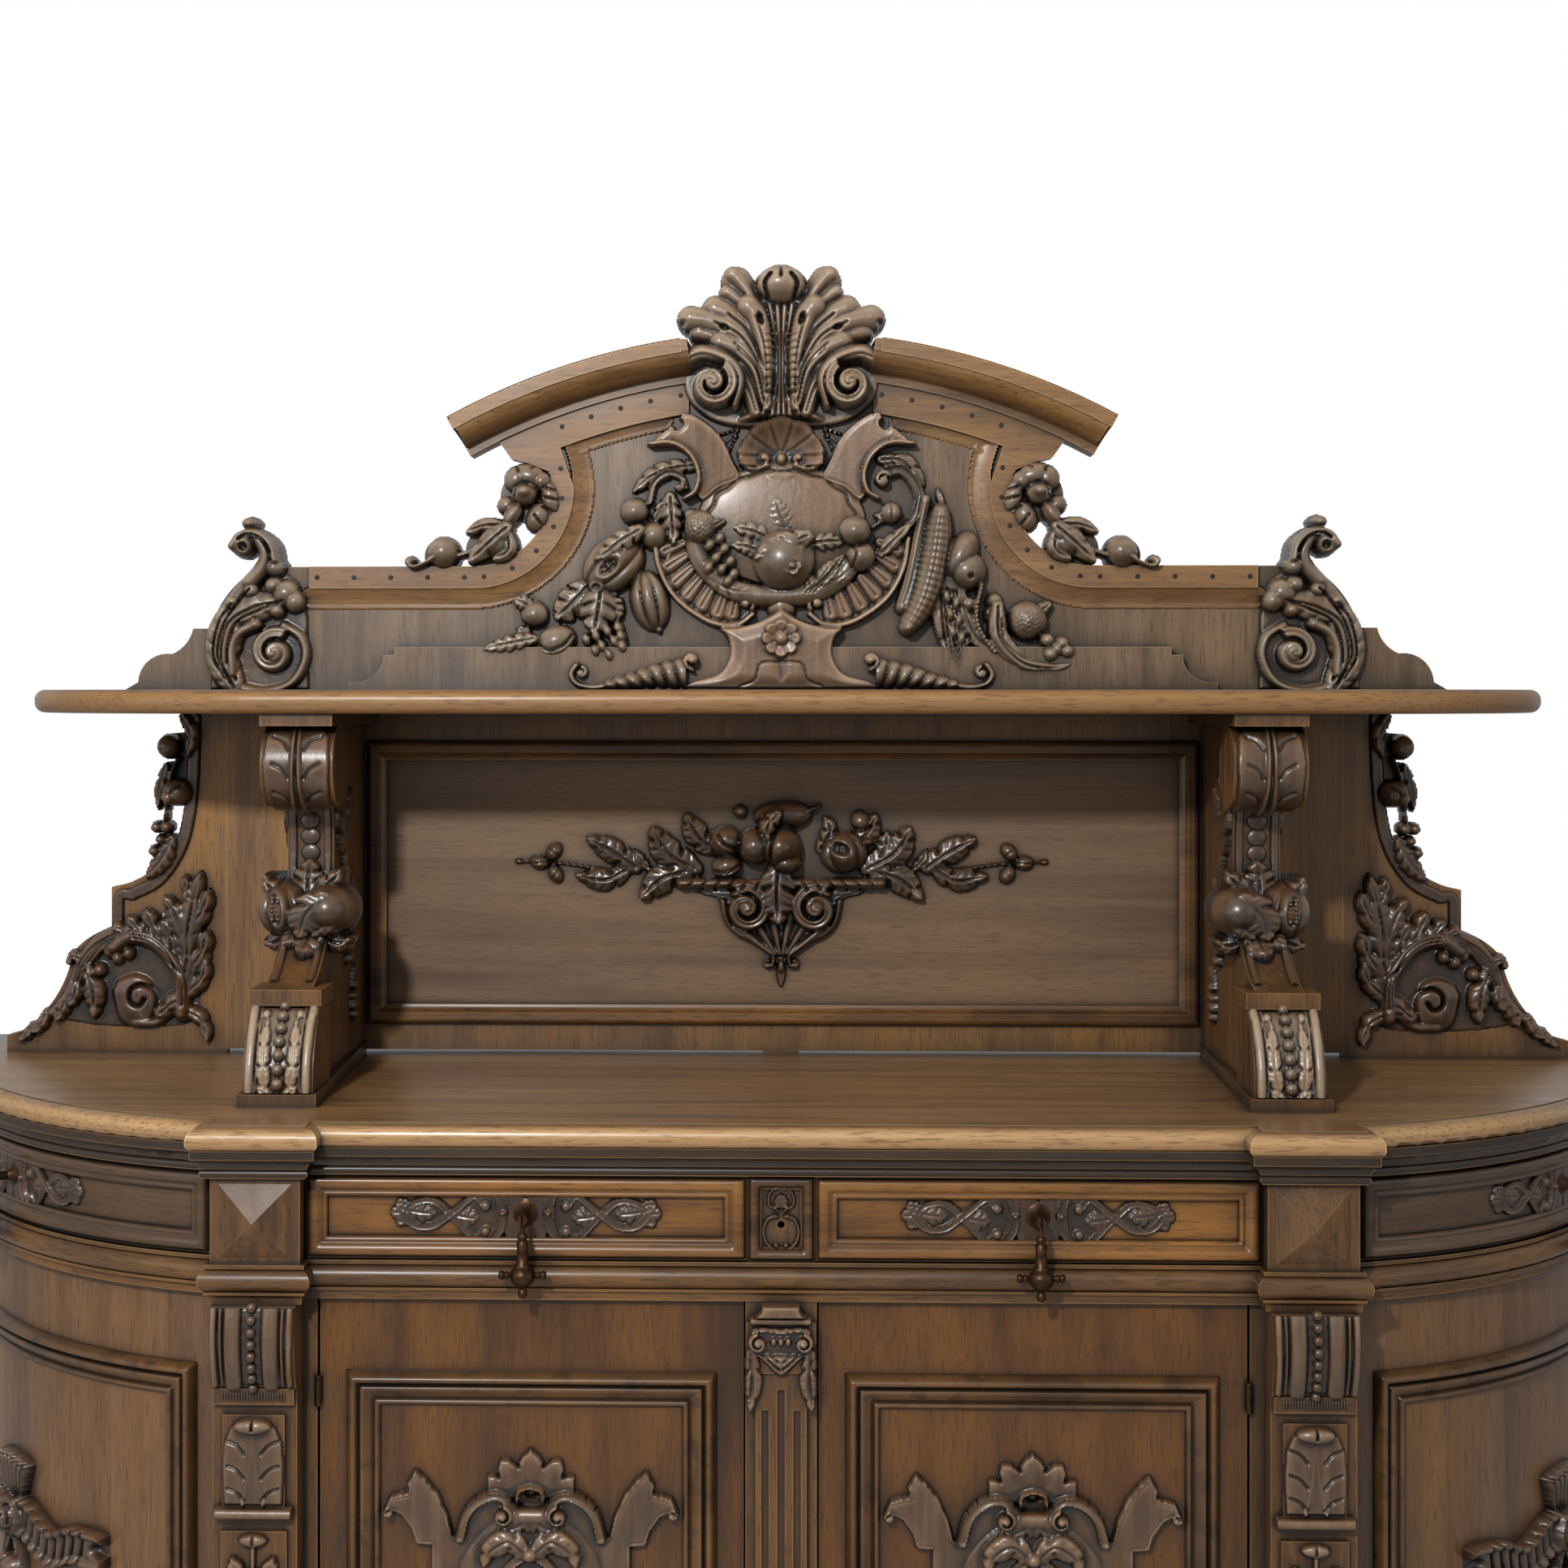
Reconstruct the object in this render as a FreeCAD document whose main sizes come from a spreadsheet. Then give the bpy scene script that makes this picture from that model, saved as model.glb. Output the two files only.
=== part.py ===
"""Carved harvest sideboard with bowed ends, a bracketed gallery shelf and a carved crest.

Frame: +X to the right, +Y towards the wall, +Z up; the origin is on the floor, midway along
the width and the depth.  Lengths are millimetres.  Depths are measured forwards from the wall
plane, so a depth d lies at y = wall_y - d.
"""

import FreeCAD
import Part
import math
import os
import re

import Sketcher

Vector = FreeCAD.Vector

# Driving dimensions: name, value
SIZES = {
    # lower cupboard, whole
    "base_height": 960,
    "worktop_thick": 25,
    "worktop_over": 22,
    "frieze_height": 31,
    "frieze_stand": 18,
    "drawer_height": 92,
    "waist_height": 42,
    "waist_stand": 6,
    "plinth_height": 105,
    "plinth_stand": 16,
    "bow_radius": 532,
    "bow_centre_x": 480,
    "frame_wall": 22,
    # carcass boards
    "floor_thick": 20,
    "floor_inset": 4,
    "partition_thick": 24,
    "back_thick": 12,
    "dust_thick": 30,
    "shelf_thick": 18,
    "shelf_inset": 60,
    "shelf_rise": 330,
    "post_depth": 44,
    "post_wall": 32,
    # pilasters
    "pilaster_x": 558,
    "pilaster_width": 96,
    "pilaster_stand": 27,
    "pilaster_side": 3,
    "stile_strip": 12,
    "boss_side": 78,
    "boss_rise": 17,
    "console_height": 88,
    "console_stand": 13,
    "band_height": 17,
    "band_stand": 7,
    "leaf_height": 97,
    "leaf_stand": 6,
    "torus_height": 14,
    "centre_stile_width": 76,
    "centre_stand": 9,
    "flute_width": 8,
    "flute_deep": 4,
    "flute_pitch": 17,
    "flute_foot": 60,
    "capital_height": 74,
    "capital_stand": 12,
    # doors
    "door_thick": 22,
    "door_set": 8,
    "door_gap": 3,
    "door_reveal": 2,
    "door_frame_side": 28,
    "door_frame_end": 76,
    "door_mould_width": 38,
    "door_mould_rise": 14,
    "cartouche_width": 270,
    "cartouche_height": 300,
    "cartouche_rise": 12,
    "trophy_angle": 14,
    "trophy_margin": 34,
    # hinges
    "pin_radius": 2.5,
    "pin_play": 0.06,
    "knuckle_radius": 4,
    "knuckle_proud": 5,
    "knuckle_length": 24,
    "leaf_plate": 1.2,
    "hinge_inset": 90,
    # drawers
    "front_thick": 22,
    "front_reveal": 1.2,
    "front_border": 15,
    "front_sink": 4,
    "side_thick": 12,
    "bottom_thick": 8,
    "bottom_lift": 6,
    "box_drop": 14,
    "glide": 0.3,
    "box_back": 60,
    "lock_width": 72,
    "key_radius": 4,
    "guide_width": 14,
    "guide_height": 12,
    "bow_box_width": 200,
    "bow_box_back": 215,
    "bow_angle": 40,
    # drop pulls
    "rosette_radius": 16,
    "rosette_rise": 12,
    "stem_radius": 5,
    "pivot_out": 30,
    "pivot_radius": 1.5,
    "pivot_play": 0.06,
    "eyelet_radius": 4.2,
    "eyelet_thick": 2.6,
    "fork_play": 0.3,
    "drop_length": 84,
    "bulb_radius": 11,
    "knob_reach": 25,
    # gallery back
    "gallery_rise": 434,
    "gallery_back_set": 22,
    "gallery_back_thick": 28,
    "gallery_back_half": 708,
    "gallery_gap": 4,
    "panel_half": 515,
    "panel_low": 50,
    "panel_high": 385,
    "panel_thick": 10,
    "panel_set": 12,
    "panel_mould_width": 25,
    "panel_mould_rise": 10,
    "spray_half": 330,
    "spray_rise": 10,
    "packing_width": 46,
    "packing_depth": 30,
    # wings
    "wing_thick": 20,
    "wing_reach": 283,
    "wing_step_x": 148,
    "wing_neck": 49,
    "wing_sweep": 115,
    "wing_step_z": 210,
    "wing_step_high": 52,
    "wing_toe": 20,
    # gallery brackets
    "bracket_thick": 55,
    "bracket_front": 348,
    "abacus_width": 84,
    "abacus_height": 14,
    "roll_radius": 48,
    "roll_back": 50,
    "foot_width": 78,
    "foot_front": 446,
    "foot_height": 110,
    "foot_block": 18,
    "foot_plinth": 14,
    "foot_plinth_width": 89,
    "bracket_waist": 262,
    "fruit_radius": 29,
    # gallery shelf
    "gallery_shelf_thick": 28,
    "gallery_shelf_depth": 343,
    "gallery_shelf_set": 20,
    "gallery_shelf_half": 943,
    "gallery_end_radius": 323,
    "gallery_edge_round": 12.5,
    # crest
    "crest_thick": 28,
    "crest_set": 22,
    "crest_half": 839,
    "crest_step": 157,
    "crest_sweep_x": 391,
    "crest_sweep_radius": 100,
    "crest_height": 397,
    "crest_arch_radius": 826,
    "crest_neck_x": 293,
    "bud_radius": 33,
    "crest_border": 28,
    "crest_border_rise": 9,
    "cornice_height": 51,
    "cornice_reach": 62,
    "cornice_start": 8.3,
    "cornice_sweep": 20.2,
    "crest_base_half": 547,
    "crest_base_height": 54,
    "crest_base_rise": 24,
    "palmette_low": 318,
    "palmette_high": 531,
    "palmette_half": 116,
    "palmette_rise": 46,
    "shield_low": 54,
    "shield_high": 308,
    "shield_half": 118,
    "shield_rise": 22,
    "swag_fruit_radius": 27,
    "volute_x": 652,
    "volute_radius": 48,
    "volute_rise": 34,
    "volute_height": 214,
}

# Sizes that follow from the driving dimensions
DERIVED = {
    "wall_y": "(bow_radius + pilaster_stand + worktop_over) / 2",
    "worktop_z": "base_height - worktop_thick",
    "frieze_z": "worktop_z - frieze_height",
    "waist_top": "frieze_z - drawer_height",
    "waist_z": "waist_top - waist_height",
    "floor_z": "plinth_height + floor_thick",
    "pilaster_in": "pilaster_x - pilaster_width / 2",
    "pilaster_out": "pilaster_x + pilaster_width / 2",
    "pilaster_face": "bow_radius + pilaster_stand",
    "partition_in": "pilaster_x - partition_thick / 2",
    "partition_out": "pilaster_x + partition_thick / 2",
    "carcass_front": "bow_radius - door_set - door_thick",
    "door_face": "bow_radius - door_set",
    "door_low": "floor_z + door_reveal",
    "door_height": "waist_z - door_reveal - door_low",
    "door_in": "centre_stile_width / 2 + door_reveal",
    "trophy_low": "door_frame_end + door_mould_width + trophy_margin",
    "door_out": "pilaster_in - stile_strip - door_gap",
    "front_low": "waist_top + front_reveal",
    "front_height": "drawer_height - 2 * front_reveal",
    "front_in": "lock_width / 2 + front_reveal",
    "front_out": "pilaster_in - front_reveal",
    "front_back": "bow_radius - front_thick",
    "box_height": "drawer_height - box_drop",
    "box_low": "waist_top + glide",
    "gallery_top": "base_height + gallery_rise + gallery_shelf_thick",
    "gallery_face": "gallery_back_set + gallery_back_thick",
    "gallery_under": "base_height + gallery_rise",
    "crest_face": "crest_set + crest_thick",
    "crest_sweep_z": "crest_step + crest_sweep_radius",
    "arch_centre": "crest_height - crest_arch_radius",
    "hinge_x": "door_out + door_gap / 2",
    "hinge_depth": "door_face + knuckle_proud",
    "bow_hinge_radius": "door_face + knuckle_proud",
    "bow_hinge_depth": "post_depth + door_gap / 2",
    "pull_z": "waist_top + drawer_height * 0.54",
}

doc = FreeCAD.newDocument("HarvestSideboard")
sheet = doc.addObject("Spreadsheet::Sheet", "Sizes")
for row, (alias, size) in enumerate(SIZES.items(), start=1):
    sheet.set(f"A{row}", alias)
    sheet.set(f"B{row}", str(size))
    sheet.setAlias(f"B{row}", alias)
doc.recompute()

NODES = {}
WORD = re.compile(r"[a-z][a-z_0-9]*")


def formula(text):
    """A sum of plain size names as an expression on the sheet's cells."""

    def cell(match):
        word = match.group(0)
        if word in DERIVED:
            return "(" + formula(DERIVED[word]) + ")"
        return "Sizes." + word if word in SIZES else word

    return WORD.sub(cell, str(text))


def value(text):
    """The number that a sum of size names comes to."""
    return float(sheet.evalExpression(formula(text)))


def bind(item, prop, text):
    """Ties one property of a document object to the sheet."""
    item.setExpression(prop, formula(text))


def place(item, x="0", y="0", z="0", turn=None, axis=(0, 0, 1)):
    """Ties an object's place to the sheet; turn is in degrees about axis."""
    if turn is not None:
        item.Placement.Rotation = FreeCAD.Rotation(Vector(*axis), value(turn))
        bind(item, "Placement.Rotation.Angle", turn)
    for prop, text in (("x", x), ("y", y), ("z", z)):
        bind(item, "Placement.Base." + prop, text)
    return item


def keep(label, item):
    """Names a finished sub-part, so that it is checked and written out."""
    item.Label = label
    NODES[label] = item
    return item


# Part primitives


def board(name, x, depth, z, length, width, height):
    """A rectangular board: x is its left edge and depth its front face's depth."""
    item = doc.addObject("Part::Box", name)
    bind(item, "Length", length)
    bind(item, "Width", width)
    bind(item, "Height", height)
    return place(item, x, f"wall_y - ({depth})", z)


def rod(name, radius, height, x, depth, z, turn=None, axis=(0, 0, 1)):
    item = doc.addObject("Part::Cylinder", name)
    bind(item, "Radius", radius)
    bind(item, "Height", height)
    return place(item, x, f"wall_y - ({depth})", z, turn, axis)


def half_ball(name, radius, x, depth, z):
    """A hemisphere standing forwards from a flat face at that depth."""
    item = doc.addObject("Part::Sphere", name)
    bind(item, "Radius", radius)
    item.Angle3 = 180
    return place(item, x, f"wall_y - ({depth})", z, "180")


def mirrored(name, source):
    """The left-hand twin of a right-hand piece."""
    item = doc.addObject("Part::Mirroring", name)
    item.Source = source
    item.Normal = Vector(1, 0, 0)
    return item


def keep_pair(label, pieces):
    """Keep right-hand pieces and their left-hand twins under label_right and label_left."""
    for suffix, item in pieces:
        keep(f"{label}_right{suffix}", item)
        keep(f"{label}_left{suffix}", mirrored(item.Name + "Left", item))


def together(name, kind, members):
    """Several shapes as one object: Compound, MultiFuse or MultiCommon."""
    item = doc.addObject("Part::" + kind, name)
    if kind == "Compound":
        item.Links = members
    else:
        item.Shapes = members
    return item


def cut(name, base, tool):
    item = doc.addObject("Part::Cut", name)
    item.Base = base
    item.Tool = tool
    return item


# Sketches and the features made from them


def add_loop(sketch, points, closed=True):
    """Draws an outline.  A point is (x, y), or (x, y, radius, turn) where an arc leaves it:
    turn is 1 for an anticlockwise arc and -1 for a clockwise one, under half a circle."""
    spots = [Vector(value(p[0]), value(p[1]), 0) for p in points]
    first = sketch.GeometryCount
    count = len(points) if closed else len(points) - 1
    ends = []
    for i in range(count):
        here, there = spots[i], spots[(i + 1) % len(spots)]
        if len(points[i]) == 2:
            sketch.addGeometry(Part.LineSegment(here, there), False)
            ends.append((1, 2))
            continue
        radius, turn = value(points[i][2]), points[i][3]
        chord = there - here
        rise = math.sqrt(max(radius**2 - (chord.Length / 2) ** 2, 0))
        centre = (here + there) / 2 + Vector(-chord.y, chord.x, 0) / chord.Length * rise * turn
        one, two = (here, there) if turn > 0 else (there, here)
        angles = [math.atan2(p.y - centre.y, p.x - centre.x) for p in (one, two)]
        circle = Part.Circle(centre, Vector(0, 0, 1), radius)
        sketch.addGeometry(Part.ArcOfCircle(circle, angles[0], angles[1]), False)
        ends.append((1, 2) if turn > 0 else (2, 1))
    for i in range(count if closed else count - 1):
        after = (i + 1) % count
        sketch.addConstraint(
            Sketcher.Constraint("Coincident", first + i, ends[i][1], first + after, ends[after][0])
        )
    for i, point in enumerate(points):
        edge, end = (i, ends[i][0]) if i < count else (count - 1, ends[count - 1][1])
        for kind, axis, text in (("DistanceX", -2, point[0]), ("DistanceY", -1, point[1])):
            if str(text) == "0":
                sketch.addConstraint(Sketcher.Constraint("PointOnObject", first + edge, end, axis))
                continue
            made = sketch.addConstraint(
                Sketcher.Constraint(kind, -1, 1, first + edge, end, value(text))
            )
            sketch.setExpression(f"Constraints[{made}]", formula(text))
        if len(point) == 4 and i < count:
            made = sketch.addConstraint(
                Sketcher.Constraint("Radius", first + i, value(point[2]))
            )
            sketch.setExpression(f"Constraints[{made}]", formula(point[2]))


def add_circle(sketch, x, y, radius):
    spot = Vector(value(x), value(y), 0)
    edge = sketch.addGeometry(Part.Circle(spot, Vector(0, 0, 1), value(radius)), False)
    for kind, axis, text in (("DistanceX", -2, x), ("DistanceY", -1, y)):
        if str(text) == "0":
            sketch.addConstraint(Sketcher.Constraint("PointOnObject", edge, 3, axis))
            continue
        made = sketch.addConstraint(Sketcher.Constraint(kind, -1, 1, edge, 3, value(text)))
        sketch.setExpression(f"Constraints[{made}]", formula(text))
    made = sketch.addConstraint(Sketcher.Constraint("Radius", edge, value(radius)))
    sketch.setExpression(f"Constraints[{made}]", formula(radius))


def new_body(name, x="0", depth="0", z="0", turn=None, axis=(0, 0, 1)):
    """A body whose own origin lies at that depth in front of the wall."""
    body = doc.addObject("PartDesign::Body", name)
    return place(body, x, f"wall_y - ({depth})", z, turn, axis)


def new_sketch(body, role, *loops):
    """A sketch on one of the body's origin planes: XY_Plane, XZ_Plane or YZ_Plane."""
    sketch = body.newObject("Sketcher::SketchObject", body.Name + "Sketch")
    plane = [f for f in body.Origin.OriginFeatures if f.Role == role][0]
    sketch.AttachmentSupport = [(plane, "")]
    sketch.MapMode = "FlatFace"
    for loop in loops:
        add_loop(sketch, loop)
    return sketch


def pad(body, sketch, length, midplane=False, back=False):
    """Upwards from XY, forwards from XZ, to the right from YZ; back turns it round."""
    feature = body.newObject("PartDesign::Pad", body.Name + "Pad")
    feature.Profile = sketch
    bind(feature, "Length", length)
    feature.Midplane = midplane
    feature.Reversed = back
    return feature


def pocket(body, sketch, length, midplane=False, back=False):
    """Cuts against the direction that pad would add."""
    feature = body.newObject("PartDesign::Pocket", body.Name + "Pocket")
    feature.Profile = sketch
    bind(feature, "Length", length)
    feature.Midplane = midplane
    feature.Reversed = back
    return feature


def revolve(body, sketch, axis, angle, back=False, midplane=False):
    """Turns a sketch about its own V_Axis or H_Axis."""
    feature = body.newObject("PartDesign::Revolution", body.Name + "Turned")
    feature.Profile = sketch
    feature.ReferenceAxis = (sketch, [axis])
    bind(feature, "Angle", angle)
    feature.Reversed = back
    feature.Midplane = midplane
    return feature


def slab(name, depth, thick, *loops, z="0", x="0"):
    """A board cut to an outline seen from the front, from that depth forwards."""
    body = new_body(name, x, depth, z)
    pad(body, new_sketch(body, "XZ_Plane", *loops), thick)
    return body


def floor_plan(name, z, thick, *loops, x="0"):
    """A board cut to an outline seen from above; y runs backwards from the wall."""
    body = new_body(name, x, "0", z)
    pad(body, new_sketch(body, "XY_Plane", *loops), thick)
    return body


def rectangle(x0, y0, x1, y1):
    return [(x0, y0), (x1, y0), (x1, y1), (x0, y1)]


def both_sides(half):
    """Closes a right-hand outline, from its foot on the axis to its top, with its reflection.
    The first and last points lie on the axis."""
    left = []
    for i in range(len(half) - 1, 0, -1):
        point = half[i]
        before = half[i - 1]
        x = point[0] if str(point[0]) == "0" else f"-({point[0]})"
        left.append((x, point[1]) + tuple(before[2:]))
    return [tuple(p) for p in half[:-1]] + left


# Moulded frames that follow the breakfront plan: a straight middle, bowed ends and a cap
# round each pilaster.  A profile runs from its lower inner corner round the face and back;
# each point is (offset from the carcass face, height) with an arc where one leaves it.


def section(base, profile, sign):
    """A profile set out from a face; sign -1 draws it facing forwards on the YZ plane."""
    made = []
    for point in profile:
        x = f"{'-' if sign < 0 else ''}({base} + {point[0]})"
        made.append((x, point[1]) + ((point[2], point[3] * sign) if len(point) == 4 else ()))
    return made


def straight_run(name, z, base, profile, half):
    body = new_body(name, "0", "0", z)
    sketch = new_sketch(body, "YZ_Plane", section(base, profile, -1))
    pad(body, sketch, f"2 * ({half})", midplane=True)
    return body


def bowed_run(name, z, base, profile):
    body = new_body(name, "bow_centre_x", "0", z)
    sketch = new_sketch(body, "XZ_Plane", section(base, profile, 1))
    revolve(body, sketch, "V_Axis", "90", back=True)
    return body


def pilaster_cap(name, z, profile, inner):
    """A three-sided cap: the moulding seen from the front crossed with it from the side."""
    reach = "pilaster_width + 4 * worktop_over"
    front = new_body(name + "Front", "pilaster_x", "0", z)
    face = [p for p in profile if p[0] != inner]
    closed = [(f"bow_radius - pilaster_face - {inner[1:]}", profile[0][1])] + face
    closed += [(f"bow_radius - pilaster_face - {inner[1:]}", profile[-1][1])]
    pad(front, new_sketch(front, "YZ_Plane", section("pilaster_face", closed, -1)), reach, True)
    side = new_body(name + "Side", "pilaster_x", "0", z)
    right = [("0", profile[0][1])] + section("pilaster_width / 2", face, 1)
    right += [("0", profile[-1][1])]
    pad(side, new_sketch(side, "XZ_Plane", both_sides(right)), "pilaster_face + 2 * worktop_over")
    return together(name, "MultiCommon", [front, side])


def moulded_runs(name, z, profile, inner, half):
    """A straight middle of that half length, the right-hand bowed end and the right-hand cap."""
    middle = straight_run(name + "Middle", z, "bow_radius", profile, half)
    bow = bowed_run(name + "Bow", z, "bow_radius", profile)
    cap_inner = "-frame_wall"
    cap_profile = [(cap_inner if p[0] == inner else p[0],) + tuple(p[1:]) for p in profile]
    return middle, bow, pilaster_cap(name + "Cap", z, cap_profile, cap_inner)


def moulded_board(name, z, profile, inner):
    """One board whose edge is moulded all round the breakfront."""
    middle, bow, cap = moulded_runs(name, z, profile, inner, "bow_centre_x")
    pieces = [middle, bow, mirrored(name + "BowLeft", bow), cap, mirrored(name + "CapLeft", cap)]
    return together(name, "MultiFuse", pieces)


def moulded_frame(name, z, profile, inner):
    """Separate rails: the middle one and the bowed ends butt against a cap on each pilaster."""
    middle, bow, cap = moulded_runs(name, z, profile, inner, "pilaster_x")
    cap_left = mirrored(name + "CapLeft", cap)
    rail = cut(name + "Rail", cut(name + "RailEnd", middle, cap), cap_left)
    front = "bow_radius + 2 * worktop_over"
    trim = board(name + "Trim", "0", front, z, "pilaster_x", front, profile[-1][1])
    end = cut(name + "End", cut(name + "BowEnd", bow, trim), cap)
    pieces = [rail, end, mirrored(name + "EndLeft", end), cap, cap_left]
    return together(name, "Compound", pieces)


WORKTOP_PROFILE = [
    ("-bow_radius", "0"),
    ("worktop_over - worktop_thick * 0.24", "0", "worktop_thick * 0.3", 1),
    ("worktop_over", "worktop_thick * 0.28"),
    ("worktop_over", "worktop_thick * 0.42", "worktop_thick * 0.53", 1),
    ("worktop_over - worktop_thick * 0.52", "worktop_thick * 0.94"),
    ("worktop_over - worktop_thick * 0.6", "worktop_thick * 0.94"),
    ("worktop_over - worktop_thick * 0.6", "worktop_thick"),
    ("-bow_radius", "worktop_thick"),
]
FRIEZE_PROFILE = [
    ("-frame_wall", "0"),
    ("frieze_stand * 0.39", "0"),
    ("frieze_stand * 0.39", "frieze_height * 0.03", "frieze_height * 0.14", 1),
    ("frieze_stand * 0.39", "frieze_height * 0.29"),
    ("frieze_stand * 0.5", "frieze_height * 0.33", "frieze_height * 0.45", -1),
    ("frieze_stand", "frieze_height * 0.68"),
    ("frieze_stand", "frieze_height"),
    ("-frame_wall", "frieze_height"),
]
WAIST_PROFILE = [
    ("-frame_wall", "0"),
    ("waist_stand * 0.33", "0"),
    ("waist_stand * 0.33", "waist_height * 0.14", "waist_height * 0.14", -1),
    ("waist_stand", "waist_height * 0.24"),
    ("waist_stand", "waist_height * 0.31"),
    ("waist_stand * 0.5", "waist_height * 0.31", "waist_height * 0.295", 1),
    ("waist_stand * 0.5", "waist_height * 0.88"),
    ("waist_stand * 0.83", "waist_height * 0.9"),
    ("waist_stand * 0.83", "waist_height"),
    ("-frame_wall", "waist_height"),
]
PLINTH_PROFILE = [
    ("-frame_wall", "0"),
    ("plinth_stand", "0"),
    ("plinth_stand", "plinth_height * 0.7"),
    ("plinth_stand * 0.75", "plinth_height * 0.72", "plinth_height * 0.105", 1),
    ("plinth_stand * 0.5", "plinth_height * 0.88"),
    ("plinth_stand * 0.38", "plinth_height * 0.9", "plinth_height * 0.09", -1),
    ("plinth_stand * 0.06", "plinth_height"),
    ("-frame_wall", "plinth_height"),
]


def breakfront(offset):
    """The plan outline at an offset from the carcass face, closed along the wall."""
    radius = f"(bow_radius + {offset})"
    side = f"(pilaster_out + {offset})"
    shoulder = f"-sqrt({radius} ^ 2 - ({side} - bow_centre_x) ^ 2)"
    right = [
        (f"bow_centre_x + {radius}", "0", radius, -1),
        (side, shoulder),
        (side, f"-(pilaster_face + {offset})"),
        (f"pilaster_in - ({offset})", f"-(pilaster_face + {offset})"),
        (f"pilaster_in - ({offset})", f"-{radius}"),
    ]
    left = []
    for i in range(len(right) - 1, -1, -1):
        arc = right[i - 1][2:] if i > 0 else ()
        left.append((f"-({right[i][0]})", right[i][1]) + tuple(arc))
    return right + left


def bow_board(name, z, thick, radius, inner):
    """A board in a bowed end, from the partition and the back out to that radius."""
    outline = [
        (inner, "-back_thick"),
        (f"sqrt(({radius}) ^ 2 - back_thick ^ 2)", "-back_thick", radius, -1),
        (inner, f"-sqrt(({radius}) ^ 2 - ({inner}) ^ 2)"),
    ]
    return floor_plan(name, z, thick, outline, x="bow_centre_x")


def carcass():
    """Frames, boards and posts of the lower cupboard."""
    keep("worktop", moulded_board("Worktop", "worktop_z", WORKTOP_PROFILE, "-bow_radius"))
    keep("frieze_frame", moulded_frame("Frieze", "frieze_z", FRIEZE_PROFILE, "-frame_wall"))
    keep("waist_frame", moulded_frame("Waist", "waist_z", WAIST_PROFILE, "-frame_wall"))
    keep("plinth", moulded_frame("Plinth", "0", PLINTH_PROFILE, "-frame_wall"))
    keep("bottom_board", floor_plan("Floor", "plinth_height", "floor_thick", breakfront("-floor_inset")))
    tall = "worktop_z - floor_z"
    right = board(
        "PartitionRight", "partition_in", "carcass_front", "floor_z",
        "partition_thick", "carcass_front - back_thick", tall,
    )
    keep("partitions", together("Partitions", "Compound", [right, mirrored("PartitionLeft", right)]))
    post_inside = "sqrt((bow_radius - post_wall) ^ 2 - post_depth ^ 2)"
    back_half = f"bow_centre_x + {post_inside}"
    keep("carcass_back", board(
        "Back", f"-({back_half})", "back_thick", "floor_z", f"2 * ({back_half})", "back_thick", tall,
    ))
    reach = "sqrt({} ^ 2 - post_depth ^ 2)"
    posts = []
    for name, outer, z, tall_text in (
        ("PostRight", "door_face", "floor_z", "waist_z - floor_z"),
        ("PostUpper", "bow_radius", "waist_top", "drawer_height"),
    ):
        posts.append(floor_plan(name, z, tall_text, [
            (outer, "0", outer, -1),
            (reach.format(outer), "-post_depth"),
            (post_inside, "-post_depth"),
            (post_inside, "0"),
        ], x="bow_centre_x"))
    post, upper = posts
    keep("end_posts", together("EndPosts", "Compound", [
        post, mirrored("PostLeft", post), upper, mirrored("PostUpperLeft", upper),
    ]))


def inner_boards():
    """Dust boards under the drawers, with their guide strips, and the cupboard shelves."""
    bow_inner = "partition_out - bow_centre_x"
    dust_z = "waist_top - dust_thick"
    dust_radius = "bow_radius - frame_wall"
    dust_front = f"sqrt(({dust_radius}) ^ 2 - (partition_in - bow_centre_x) ^ 2)"
    middle = board(
        "DustMiddle", "-partition_in", dust_front, dust_z,
        "2 * partition_in", f"{dust_front} - back_thick", "dust_thick",
    )
    bow = bow_board("DustBow", dust_z, "dust_thick", "bow_radius - post_wall", bow_inner)
    guide_long = "front_back - box_back - 40"
    inside = board(
        "GuideInner", "front_in - guide_width - glide", "front_back - 20", "waist_top",
        "guide_width", guide_long, "guide_height",
    )
    outside = board(
        "GuideOuter", "front_out + glide", "front_back - 20", "waist_top",
        "guide_width", guide_long, "guide_height",
    )
    pieces = [middle, bow, mirrored("DustBowLeft", bow)]
    for guide in (inside, outside):
        pieces += [guide, mirrored(guide.Name + "Left", guide)]
    for name, side in (("GuideBowFront", -1), ("GuideBowRear", 1)):
        guide = new_body(name, "bow_centre_x", "0", "waist_top", "-bow_angle")
        edge = "bow_box_width / 2 + glide"
        low, high = edge, f"{edge} + guide_width"
        if side < 0:
            low, high = f"-({high})", f"-({low})"
        outline = rectangle("bow_box_back + 75", low, "bow_radius - front_thick - 40", high)
        pad(guide, new_sketch(guide, "XY_Plane", outline), "guide_height")
        pieces += [guide, mirrored(name + "Left", guide)]
    keep("dust_boards", together("DustBoards", "Compound", pieces))
    shelf_z = "floor_z + shelf_rise"
    flat = board(
        "ShelfMiddle", "-partition_in", "carcass_front - shelf_inset", shelf_z,
        "2 * partition_in", "carcass_front - shelf_inset - back_thick", "shelf_thick",
    )
    curved = bow_board("ShelfBow", shelf_z, "shelf_thick", "carcass_front - shelf_inset", bow_inner)
    shelves = [flat, curved, mirrored("ShelfBowLeft", curved)]
    keep("cupboard_shelves", together("Shelves", "Compound", shelves))


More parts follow.
